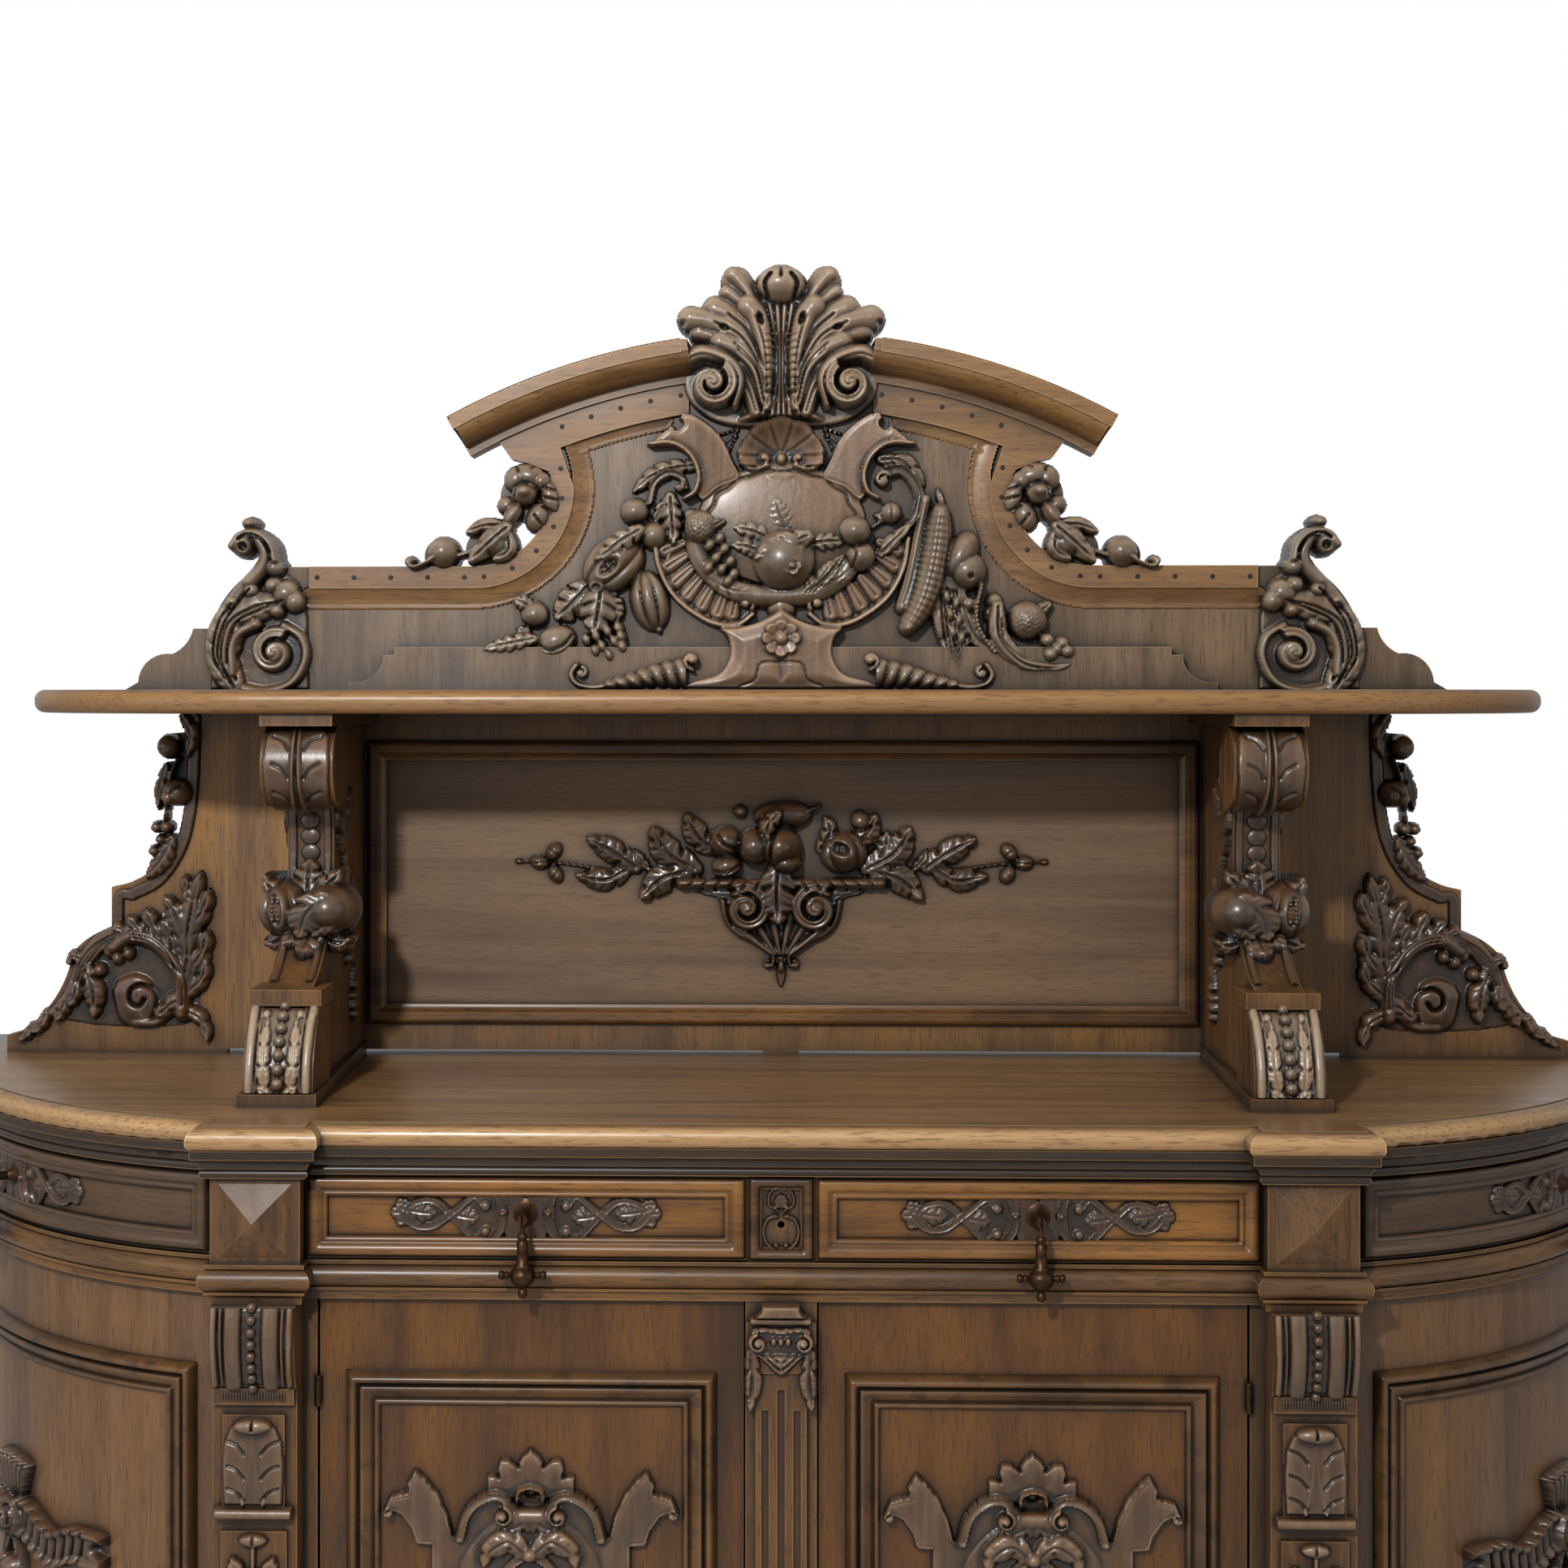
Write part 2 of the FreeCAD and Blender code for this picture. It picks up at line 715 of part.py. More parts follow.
def pilasters():
    """Carved posts beside the doors, the diamond blocks above them and the fluted middle stile."""
    face_in = "pilaster_in + pilaster_side"
    face_out = "pilaster_out - pilaster_side"
    body = new_body("PilasterRight", "0", "0", "floor_z")
    plan = [
        ("pilaster_in - stile_strip", "-carcass_front"),
        ("pilaster_in - stile_strip", "-door_face"),
        (face_in, "-door_face"),
        (face_in, "-pilaster_face"),
        (face_out, "-pilaster_face"),
        (face_out, "-carcass_front"),
    ]
    pad(body, new_sketch(body, "XY_Plane", plan), "waist_z - floor_z")
    top = "waist_z - floor_z"
    console = f"({top} - console_height)"
    band = f"({console} - band_height)"
    leaf = f"({band} - 11 - leaf_height)"
    side = [
        ("-pilaster_face", console),
        ("-(pilaster_face + console_stand * 0.4)", console, "console_height * 1.3", -1),
        ("-(pilaster_face + console_stand)", top),
        ("-pilaster_face", top),
    ]
    leaf_front = "-(pilaster_face + leaf_stand)"
    band_front = "-(pilaster_face + band_stand)"
    layers = [
        ("Console", side, "pilaster_width - 2 * pilaster_side"),
        ("Band", rectangle(band_front, band, "-pilaster_face", console),
         "pilaster_width - 2 * pilaster_side - 4"),
        ("Leaf", rectangle(leaf_front, leaf, "-pilaster_face", f"{leaf} + leaf_height"),
         "pilaster_width - 2 * pilaster_side - 24"),
        ("Torus", rectangle(band_front, f"{leaf} - torus_height", "-pilaster_face", leaf),
         "pilaster_width - 2 * pilaster_side - 10"),
        ("Foot", rectangle(leaf_front, "30", "-pilaster_face", f"{leaf} - torus_height - 12"),
         "pilaster_width - 2 * pilaster_side - 20"),
    ]
    carved = []
    for name, outline, width in layers:
        layer = new_body("Pilaster" + name, "pilaster_x", "0", "floor_z")
        pad(layer, new_sketch(layer, "YZ_Plane", outline), width, midplane=True)
        carved.append(layer)
    right = together("PilasterRightPost", "MultiFuse", [body] + carved)
    keep("pilasters", together("Pilasters", "Compound", [right, mirrored("PilasterLeftPost", right)]))

    block = board(
        "BlockRight", "pilaster_in", "pilaster_face", "waist_top",
        "pilaster_width", "pilaster_face - carcass_front", "drawer_height",
    )
    boss = doc.addObject("Part::Wedge", "BossRight")
    half = "boss_side / 2"
    for prop, text in (
        ("Xmin", f"-{half}"), ("Xmax", half), ("Zmin", f"-{half}"), ("Zmax", half),
        ("Ymin", "0"), ("Ymax", "boss_rise"),
        ("X2min", "-0.2"), ("X2max", "0.2"), ("Z2min", "-0.2"), ("Z2max", "0.2"),
    ):
        bind(boss, prop, text)
    place(boss, "pilaster_x", "wall_y - pilaster_face", "waist_top + drawer_height / 2", "180")
    pieces = [block, mirrored("BlockLeft", block), boss, mirrored("BossLeft", boss)]
    keep("pilaster_blocks", together("PilasterBlocks", "Compound", pieces))

    centre = new_body("CentreStile", "0", "0", "floor_z")
    pad(centre, new_sketch(centre, "XY_Plane", rectangle(
        "-centre_stile_width / 2", "-bow_radius", "centre_stile_width / 2", "-carcass_front",
    )), top)
    shaft = new_body("CentreShaft", "0", "bow_radius", "floor_z")
    shaft_half = "centre_stile_width / 2 - 11"
    flute_top = f"({top} - capital_height - 40)"
    pad(shaft, new_sketch(shaft, "XZ_Plane", rectangle(
        f"-({shaft_half})", "18", shaft_half, f"{top} - capital_height",
    )), "centre_stand")
    flutes = []
    for step in (-1, 0, 1):
        x0 = f"{step} * flute_pitch - flute_width / 2"
        x1 = f"{step} * flute_pitch + flute_width / 2"
        rise = 22 if step == 0 else 0
        flutes.append(rectangle(x0, "flute_foot", x1, f"{flute_top} + {rise}"))
    groove = new_body("CentreFlutes", "0", "bow_radius + centre_stand - flute_deep", "floor_z")
    pad(groove, new_sketch(groove, "XZ_Plane", *flutes), "flute_deep * 2")
    fluted = cut("CentreFluted", shaft, groove)
    capital = new_body("CentreCapital", "0", "bow_radius", "floor_z")
    cap_low = f"({top} - capital_height)"
    outline = both_sides([
        ("0", cap_low),
        (shaft_half, cap_low),
        ("centre_stile_width / 2 - 1", f"{cap_low} + capital_height * 0.45"),
        ("centre_stile_width / 2 - 1", f"{cap_low} + capital_height * 0.72"),
        (f"{shaft_half} - 4", f"{cap_low} + capital_height * 0.8"),
        (f"{shaft_half} - 8", top),
        ("0", top),
    ])
    pad(capital, new_sketch(capital, "XZ_Plane", outline), "capital_stand")
    foot = new_body("CentreFoot", "0", "bow_radius", "floor_z")
    pad(foot, new_sketch(foot, "XZ_Plane", rectangle(
        "-(centre_stile_width / 2 - 3)", "0", "centre_stile_width / 2 - 3", "18",
    )), "capital_stand")
    keep("centre_pilaster", together("CentrePilaster", "MultiFuse", [centre, fluted, capital, foot]))

    lock = new_body("LockBlock", "0", "front_back", "waist_top")
    half = "lock_width / 2"
    block = rectangle(f"-{half}", "0", half, "drawer_height")
    pad(lock, new_sketch(lock, "XZ_Plane", block), "front_thick")
    well = new_body("LockWell", "0", "bow_radius - front_sink", "waist_top")
    pad(well, new_sketch(well, "XZ_Plane", rectangle(
        f"-({half} - front_border)", "front_border",
        f"{half} - front_border", "drawer_height - front_border",
    )), "front_thick")
    key = new_body("KeyHole", "0", "front_back - 5", "waist_top")
    sketch = new_sketch(key, "XZ_Plane")
    add_circle(sketch, "0", "drawer_height * 0.42", "key_radius")
    pad(key, sketch, "front_thick + 10")
    keep("lock_block", cut("LockBlockCut", cut("LockSunk", lock, well), key))


def hinge_pair(name, x, depth, low, turn="0"):
    """Pins with their carcass plates, and the knuckles with their door plates, for one door.
    In its own frame the door lies towards -x and the plates run back from the pin."""
    pins, knuckles = [], []
    for i, z in enumerate((f"{low} + hinge_inset", f"{low} + door_height - hinge_inset - knuckle_length")):
        pin = new_body(f"{name}Pin{i}", x, depth, z, turn)
        sketch = new_sketch(pin, "XY_Plane")
        add_circle(sketch, "0", "0", "pin_radius")
        pad(pin, sketch, "knuckle_length")
        plate = new_body(f"{name}PinPlate{i}", x, depth, f"{z} + knuckle_length", turn)
        head = new_sketch(plate, "XY_Plane")
        add_circle(head, "0", "0", "knuckle_radius")
        pad(plate, head, "knuckle_length / 3")
        wing = new_body(f"{name}PinWing{i}", x, depth, f"{z} + knuckle_length", turn)
        pad(wing, new_sketch(wing, "XY_Plane", rectangle(
            "door_gap / 2 - leaf_plate", "0", "door_gap / 2", "knuckle_proud + door_thick * 0.7",
        )), "knuckle_length / 3")
        pins.append(together(f"{name}Fixed{i}", "MultiFuse", [pin, plate, wing]))
        barrel = new_body(f"{name}Barrel{i}", x, depth, z, turn)
        ring = new_sketch(barrel, "XY_Plane")
        add_circle(ring, "0", "0", "knuckle_radius")
        pad(barrel, ring, "knuckle_length - glide")
        leaf = new_body(f"{name}Leaf{i}", x, depth, z, turn)
        pad(leaf, new_sketch(leaf, "XY_Plane", rectangle(
            "-door_gap / 2", "0", "leaf_plate - door_gap / 2", "knuckle_proud + door_thick * 0.7",
        )), "knuckle_length - glide")
        bore = new_body(f"{name}Bore{i}", x, depth, f"{z} - 1", turn)
        hole = new_sketch(bore, "XY_Plane")
        add_circle(hole, "0", "0", "pin_radius + pin_play")
        pad(bore, hole, "knuckle_length + 2")
        moving = together(f"{name}Moving{i}", "MultiFuse", [barrel, leaf])
        knuckles.append(cut(f"{name}Turning{i}", moving, bore))
    return pins, together(name + "Knuckles", "Compound", knuckles)


def ring_path(x0, z0, x1, z1):
    """A rectangle seen from the front that starts at the middle of its lower side."""
    return [("0", z0), (x1, z0), (x1, z1), (x0, z1), (x0, z0)]


def picture_frame(name, x, depth, z, half, height, profile):
    """A mitred frame: the profile, (inset, rise), swept round a rectangle's outer edge."""
    body = new_body(name, x, depth, z)
    path = new_sketch(body, "XZ_Plane", ring_path(f"-({half})", "0", half, height))
    turned = [(f"-({p[1]})", p[0]) + ((p[2], p[3]) if len(p) == 4 else ()) for p in profile]
    shape = new_sketch(body, "YZ_Plane", turned)
    pipe = body.newObject("PartDesign::AdditivePipe", name + "Run")
    pipe.Profile = shape
    pipe.Spine = path
    pipe.Transition = "Right corner"
    return body


DOOR_MOULD = [
    ("0", "0"),
    ("0", "door_mould_rise * 0.45", "door_mould_rise * 0.5", -1),
    ("door_mould_width * 0.2", "door_mould_rise * 0.75"),
    ("door_mould_width * 0.38", "door_mould_rise * 0.75"),
    ("door_mould_width * 0.42", "door_mould_rise * 0.8", "door_mould_width * 0.2", -1),
    ("door_mould_width * 0.72", "door_mould_rise * 0.8"),
    ("door_mould_width * 0.76", "door_mould_rise * 0.4"),
    ("door_mould_width", "door_mould_rise * 0.25"),
    ("door_mould_width", "0"),
]
PANEL_MOULD = [
    ("0", "0"),
    ("0", "panel_mould_rise * 0.5", "panel_mould_rise * 0.8", -1),
    ("panel_mould_width * 0.35", "panel_mould_rise"),
    ("panel_mould_width * 0.6", "panel_mould_rise", "panel_mould_width * 0.5", 1),
    ("panel_mould_width", "panel_mould_rise * 0.3"),
    ("panel_mould_width", "0"),
]


def straight_door():
    """The middle doors: slab, bolection frame, carved cartouche and hinges."""
    slab_right = floor_plan("DoorSlab", "door_low", "door_height", rectangle(
        "door_in", "-door_face", "door_out", "-carcass_front",
    ))
    middle = "(door_in + door_out) / 2"
    half = "(door_out - door_in) / 2 - door_frame_side"
    frame = picture_frame(
        "DoorMould", middle, "door_face", "door_low + door_frame_end", half,
        "door_height - 2 * door_frame_end", DOOR_MOULD,
    )
    wide, tall = "cartouche_width / 2", "cartouche_height"
    outline = both_sides([
        ("0", "0"),
        (f"{wide} * 0.3", f"{tall} * 0.06"),
        (f"{wide} * 0.55", f"{tall} * 0.24"),
        (f"{wide} * 0.86", f"{tall} * 0.3"),
        (wide, f"{tall} * 0.5"),
        (f"{wide} * 0.92", f"{tall} * 0.68"),
        (f"{wide} * 0.55", f"{tall} * 0.8"),
        (f"{wide} * 0.3", f"{tall} * 0.92"),
        ("0", tall),
    ])
    low = "door_low + (door_height - cartouche_height) / 2"
    carving = slab("DoorCartouche", "door_face", "cartouche_rise", outline, x=middle, z=low)
    pins, knuckles = hinge_pair("DoorHinge", "hinge_x", "hinge_depth", "door_low")
    keep_pair("door", (
        ("", slab_right), ("_moulding", frame), ("_carving", carving), ("_hinges", knuckles),
    ))
    return pins


def bow_door():
    """The curved doors: slab, moulded frame and trophy follow the bowed face."""
    outer, inner = "door_face", "carcass_front"
    edge = "(pilaster_out - pilaster_side + door_reveal - bow_centre_x)"
    end = "(post_depth + door_gap)"

    def sheet_plan(face, rear, near, far):
        return [
            (near, f"-sqrt({face} ^ 2 - {near} ^ 2)", face, 1),
            (f"sqrt({face} ^ 2 - {far} ^ 2)", f"-{far}"),
            (f"sqrt({rear} ^ 2 - {far} ^ 2)", f"-{far}", rear, -1),
            (near, f"-sqrt({rear} ^ 2 - {near} ^ 2)"),
        ]

    slab_right = floor_plan(
        "BowDoorSlab", "door_low", "door_height", sheet_plan(outer, inner, edge, end), x="bow_centre_x",
    )
    proud = "(door_face + door_mould_rise * 0.8)"
    near, far = f"({edge} + door_frame_side)", f"({end} + door_frame_side)"
    ring = floor_plan(
        "BowDoorRing", "door_low + door_frame_end", "door_height - 2 * door_frame_end",
        sheet_plan(proud, outer, near, far), x="bow_centre_x",
    )
    past = "(door_face + 2 * door_mould_rise)"
    under = "(door_face - door_mould_rise)"
    inset = "door_mould_width"
    window = floor_plan(
        "BowDoorWindow", "door_low + door_frame_end + door_mould_width",
        "door_height - 2 * door_frame_end - 2 * door_mould_width",
        sheet_plan(past, under, f"({near} + {inset})", f"({far} + {inset})"), x="bow_centre_x",
    )
    frame = cut("BowDoorFrame", ring, window)
    trophy = new_body("BowDoorTrophy", "bow_centre_x", "0", "door_low", "trophy_angle / 2 - bow_angle")
    profile = rectangle(
        "door_face", "trophy_low", "door_face + cartouche_rise", "door_height - trophy_low",
    )
    revolve(trophy, new_sketch(trophy, "XZ_Plane", profile), "V_Axis", "trophy_angle", back=True)
    pins, knuckles = hinge_pair(
        "BowHinge", "bow_centre_x + sqrt(bow_hinge_radius ^ 2 - bow_hinge_depth ^ 2)",
        "bow_hinge_depth", "door_low", "90",
    )
    keep_pair("bow_door", (
        ("", slab_right), ("_moulding", frame), ("_carving", trophy), ("_hinges", knuckles),
    ))
    return pins


def hinges_fixed(pins):
    """All hinge pins with their carcass plates."""
    pieces = list(pins) + [mirrored(p.Name + "Left", p) for p in pins]
    keep("hinge_pins", together("HingePins", "Compound", pieces))


def drop_pull(name, x, depth, turn):
    """A rosette with a forked stem and, hung on its cross pin, a turned drop."""
    out = "(pivot_out + front_sink)"
    rosette = new_body(name + "Rosette", x, depth, "pull_z", turn)
    dome = [
        ("0", "0"),
        ("0", "rosette_radius"),
        ("-rosette_rise * 0.25", "rosette_radius", "rosette_radius * 1.2", -1),
        ("-rosette_rise", "stem_radius"),
        ("-rosette_rise", "0"),
    ]
    revolve(rosette, new_sketch(rosette, "YZ_Plane", dome), "H_Axis", "360")
    stem = new_body(name + "Stem", x, depth, "pull_z", turn)
    sketch = new_sketch(stem, "XZ_Plane")
    add_circle(sketch, "0", "0", "stem_radius")
    pad(stem, sketch, f"{out} + stem_radius * 0.8")
    slot = new_body(name + "Slot", x, depth, "pull_z", turn)
    pad(slot, new_sketch(slot, "YZ_Plane", rectangle(
        f"-({out} + 2 * stem_radius)", "-4 * stem_radius",
        f"-({out} - eyelet_radius - 1.5)", "4 * stem_radius",
    )), "eyelet_thick + 2 * fork_play", midplane=True)
    pin = new_body(name + "Pin", x, depth, "pull_z", turn)
    sketch = new_sketch(pin, "YZ_Plane")
    add_circle(sketch, f"-{out}", "0", "pivot_radius")
    pad(pin, sketch, "1.8 * stem_radius", midplane=True)
    forked = cut(name + "Forked", stem, slot)
    eye = together(name + "Eye", "MultiFuse", [rosette, forked, pin])

    ring = new_body(name + "Ring", x, depth, "pull_z", turn)
    sketch = new_sketch(ring, "YZ_Plane")
    add_circle(sketch, f"-{out}", "0", "eyelet_radius")
    add_circle(sketch, f"-{out}", "0", "pivot_radius + pivot_play")
    pad(ring, sketch, "eyelet_thick", midplane=True)
    forward = f"{out} * "
    shaft = new_body(
        name + "Shaft", f"{x} + {forward}sin({turn})", f"{depth} + {forward}cos({turn})", "pull_z",
    )
    neck, long, bulb = "eyelet_thick * 0.4", "drop_length", "bulb_radius"
    outline = [
        ("0", "-(eyelet_radius - 0.7)"),
        (neck, "-(eyelet_radius - 0.7)"),
        (neck, "-(stem_radius + 2)"),
        (f"{bulb} * 0.36", "-(stem_radius + 3)"),
        (f"{bulb} * 0.36", "-(stem_radius + 5.5)"),
        (f"{bulb} * 0.2", "-(stem_radius + 7)"),
        (f"{bulb} * 0.22", f"-{long} * 0.28", f"{long} * 0.9", 1),
        (f"{bulb} * 0.8", f"-{long} * 0.6"),
        (bulb, f"-{long} * 0.68"),
        (f"{bulb} * 0.85", f"-{long} * 0.77"),
        (f"{bulb} * 0.4", f"-{long} * 0.83"),
        (f"{bulb} * 0.3", f"-{long} * 0.87"),
        (f"{bulb} * 0.45", f"-{long} * 0.92"),
        (f"{bulb} * 0.2", f"-{long} * 0.97"),
        ("0", f"-{long}"),
    ]
    revolve(shaft, new_sketch(shaft, "XZ_Plane", outline), "V_Axis", "360")
    bar = new_body(name + "Bar", x, depth, f"pull_z - {long} * 0.68", turn)
    sketch = new_sketch(bar, "YZ_Plane")
    add_circle(sketch, f"-{out}", "0", f"{bulb} * 0.3")
    pad(bar, sketch, "knob_reach * 1.6", midplane=True)
    return eye, together(name + "Drop", "MultiFuse", [ring, shaft, bar])


def drawer_box(name, near, far, left, right, x="0", turn=None, plan=None):
    """Sides, back and bottom in the drawer's own plan: near and far along its slide."""
    pieces = []
    inner_left, inner_right = f"{left} + side_thick", f"{right} - side_thick"
    for part, rect, z, height in (
        ("SideOne", (left, inner_left, near, far), "box_low", "box_height"),
        ("SideTwo", (inner_right, right, near, far), "box_low", "box_height"),
        ("Rear", (inner_left, inner_right, near, f"{near} + side_thick"), "box_low", "box_height - 8"),
        ("Bottom", (inner_left, inner_right, f"{near} + side_thick", far),
         "box_low + bottom_lift", "bottom_thick"),
    ):
        body = new_body(name + part, x, "0", z, turn)
        pad(body, new_sketch(body, "XY_Plane", plan(*rect)), height)
        pieces.append(body)
    return together(name, "Compound", pieces)


def drawers():
    """Four drawers: a lipped front with a sunk field, a jointed box and a drop pull."""
    face = floor_plan("FrontSlab", "front_low", "front_height", rectangle(
        "front_in", "-bow_radius", "front_out", "-front_back",
    ))
    field_low, field_height = "front_low + front_border", "front_height - 2 * front_border"
    field = floor_plan("FrontField", field_low, field_height, rectangle(
        "front_in + front_border", "-(bow_radius + front_sink)",
        "front_out - front_border", "-(bow_radius - front_sink)",
    ))
    front = cut("Front", face, field)
    box = drawer_box(
        "FrontBox", "box_back", "front_back", "front_in", "front_out",
        plan=lambda left, right, near, far: rectangle(left, f"-({far})", right, f"-({near})"),
    )
    eye, drop = drop_pull("Pull", "(front_in + front_out) / 2", "bow_radius - front_sink", "0")

    near = "(pilaster_out + front_reveal - bow_centre_x)"
    far = "(post_depth + front_reveal)"

    def curved(out, back, one, two):
        return [
            (one, f"-sqrt({out} ^ 2 - {one} ^ 2)", out, 1),
            (f"sqrt({out} ^ 2 - {two} ^ 2)", f"-{two}"),
            (f"sqrt({back} ^ 2 - {two} ^ 2)", f"-{two}", back, -1),
            (one, f"-sqrt({back} ^ 2 - {one} ^ 2)"),
        ]

    bow_face = floor_plan(
        "BowFrontSlab", "front_low", "front_height", curved("bow_radius", "front_back", near, far),
        x="bow_centre_x",
    )
    bow_field = floor_plan(
        "BowFrontField", "front_low + front_border", "front_height - 2 * front_border",
        curved(
            "(bow_radius + front_sink)", "(bow_radius - front_sink)",
            f"({near} + front_border)", f"({far} + front_border)",
        ), x="bow_centre_x",
    )
    bow_front = cut("BowFront", bow_face, bow_field)
    half = "bow_box_width / 2"
    bow_box = drawer_box(
        "BowBox", "bow_box_back", f"sqrt(front_back ^ 2 - ({half}) ^ 2)", f"-{half}", half,
        x="bow_centre_x", turn="-bow_angle",
        plan=lambda left, right, near, far: rectangle(near, left, far, right),
    )
    spot = "(bow_radius - front_sink)"
    bow_eye, bow_drop = drop_pull(
        "BowPull", f"bow_centre_x + {spot} * cos(bow_angle)", f"{spot} * sin(bow_angle)", "90 - bow_angle",
    )
    names = ("_front", "_box", "_pull_eye", "_pull_drop")
    keep_pair("drawer", zip(names, (front, box, eye, drop)))
    keep_pair("bow_drawer", zip(names, (bow_front, bow_box, bow_eye, bow_drop)))


def gallery():
    """Panelled back, wings, brackets and shelf above the worktop; heights from the worktop."""
    frame = slab(
        "GalleryFrame", "gallery_back_set", "gallery_back_thick",
        rectangle("-gallery_back_half", "gallery_gap", "gallery_back_half", "gallery_rise"),
        rectangle("-panel_half", "panel_low", "panel_half", "panel_high"), z="base_height",
    )
    packing = board(
        "Packing", "-packing_width / 2", "gallery_back_set + packing_depth", "base_height",
        "packing_width", "packing_depth", "gallery_gap",
    )
    keep("upper_back_frame", together("GalleryBack", "Compound", [frame, packing]))
    keep("upper_back_panel", slab(
        "GalleryPanel", "gallery_back_set + panel_set", "panel_thick",
        rectangle("-panel_half", "panel_low", "panel_half", "panel_high"), z="base_height",
    ))
    lap = "panel_mould_width / 2"
    keep("upper_back_moulding", picture_frame(
        "GalleryMould", "0", "gallery_face", f"base_height + panel_low - {lap}", f"panel_half + {lap}",
        f"panel_high - panel_low + 2 * ({lap})", PANEL_MOULD,
    ))
    panel_face = "(gallery_back_set + panel_set + panel_thick)"
    tall = "(panel_high - panel_low)"
    spray = both_sides([
        ("0", f"panel_low + {tall} * 0.08"),
        ("spray_half * 0.14", f"panel_low + {tall} * 0.14"),
        ("spray_half * 0.3", f"panel_low + {tall} * 0.3"),
        ("spray_half * 0.6", f"panel_low + {tall} * 0.26"),
        ("spray_half", f"panel_low + {tall} * 0.46"),
        ("spray_half * 0.72", f"panel_low + {tall} * 0.52"),
        ("spray_half * 0.36", f"panel_low + {tall} * 0.5"),
        ("spray_half * 0.26", f"panel_low + {tall} * 0.72"),
        ("0", f"panel_low + {tall} * 0.86"),
    ])
    leaves = slab("GallerySpray", panel_face, "spray_rise", spray, z="base_height")
    fruit = [
        half_ball(f"GalleryFruit{i}", "fruit_radius", f"{x} * fruit_radius", panel_face,
                  f"base_height + panel_low + {tall} * {z}")
        for i, (x, z) in enumerate(((-1.02, 0.5), (1.02, 0.5), (0, 0.66)))
    ]
    keep("upper_back_carving", together("GalleryCarving", "MultiFuse", [leaves] + fruit))

    edge = "(gallery_back_half + wing_neck)"
    step = "(gallery_back_half + wing_step_x)"
    toe = "(gallery_back_half + wing_reach)"
    outline = [
        ("gallery_back_half", "0"),
        (toe, "0"),
        (toe, "wing_toe"),
        (f"{toe} - 19", "wing_toe + 5", "wing_step_z * 0.72", -1),
        (f"{step} + 50", "wing_step_z - wing_step_high - 32", "wing_step_z * 0.45", 1),
        (step, "wing_step_z - wing_step_high"),
        (step, "wing_step_z", "wing_sweep", -1),
        (edge, "wing_step_z + sqrt(wing_sweep ^ 2 - (wing_sweep - wing_step_x + wing_neck) ^ 2)"),
        (edge, "gallery_rise"),
        ("gallery_back_half", "gallery_rise"),
    ]
    wing_set = "(gallery_face - wing_thick)"
    wing = slab("Wing", wing_set, "wing_thick", outline, z="base_height")
    scroll = [
        ("gallery_back_half + 24", "wing_toe"),
        (f"{toe} - 40", "wing_toe", "wing_step_z * 0.7", -1),
        (f"{step} + 26", "wing_step_z - wing_step_high - 44"),
        (f"{step} - 12", "wing_step_z - 34"),
        ("gallery_back_half + 70", "wing_step_z - 24"),
        ("gallery_back_half + 24", "wing_step_z - 90"),
    ]
    leaf = slab("WingLeaf", "gallery_face", "spray_rise", scroll, z="base_height")
    right = together("WingRight", "MultiFuse", [wing, leaf])
    keep("wings", together("Wings", "Compound", [right, mirrored("WingLeft", right)]))
    brackets()

    far, straight = "gallery_shelf_half", "(gallery_shelf_half - gallery_end_radius)"
    front = "(gallery_shelf_set + gallery_shelf_depth)"
    plan = [
        (far, "-gallery_shelf_set"),
        (far, f"-({front} - gallery_end_radius)", "gallery_end_radius", -1),
        (straight, f"-{front}"),
        (f"-{straight}", f"-{front}", "gallery_end_radius", -1),
        (f"-{far}", f"-({front} - gallery_end_radius)"),
        (f"-{far}", "-gallery_shelf_set"),
    ]
    shelf = floor_plan("GalleryShelf", "gallery_under", "gallery_shelf_thick", plan)
    doc.recompute()
    raw = shelf.Tip
    back_y = -value("gallery_shelf_set") - 0.01
    names = []
    for i, edge_shape in enumerate(raw.Shape.Edges, start=1):
        box = edge_shape.BoundBox
        if box.ZLength < 0.01 and box.YMin < back_y:
            names.append(f"Edge{i}")
    rounded = shelf.newObject("PartDesign::Fillet", "GalleryShelfRound")
    rounded.Base = (raw, names)
    bind(rounded, "Radius", "gallery_edge_round")
    keep("gallery_shelf", shelf)


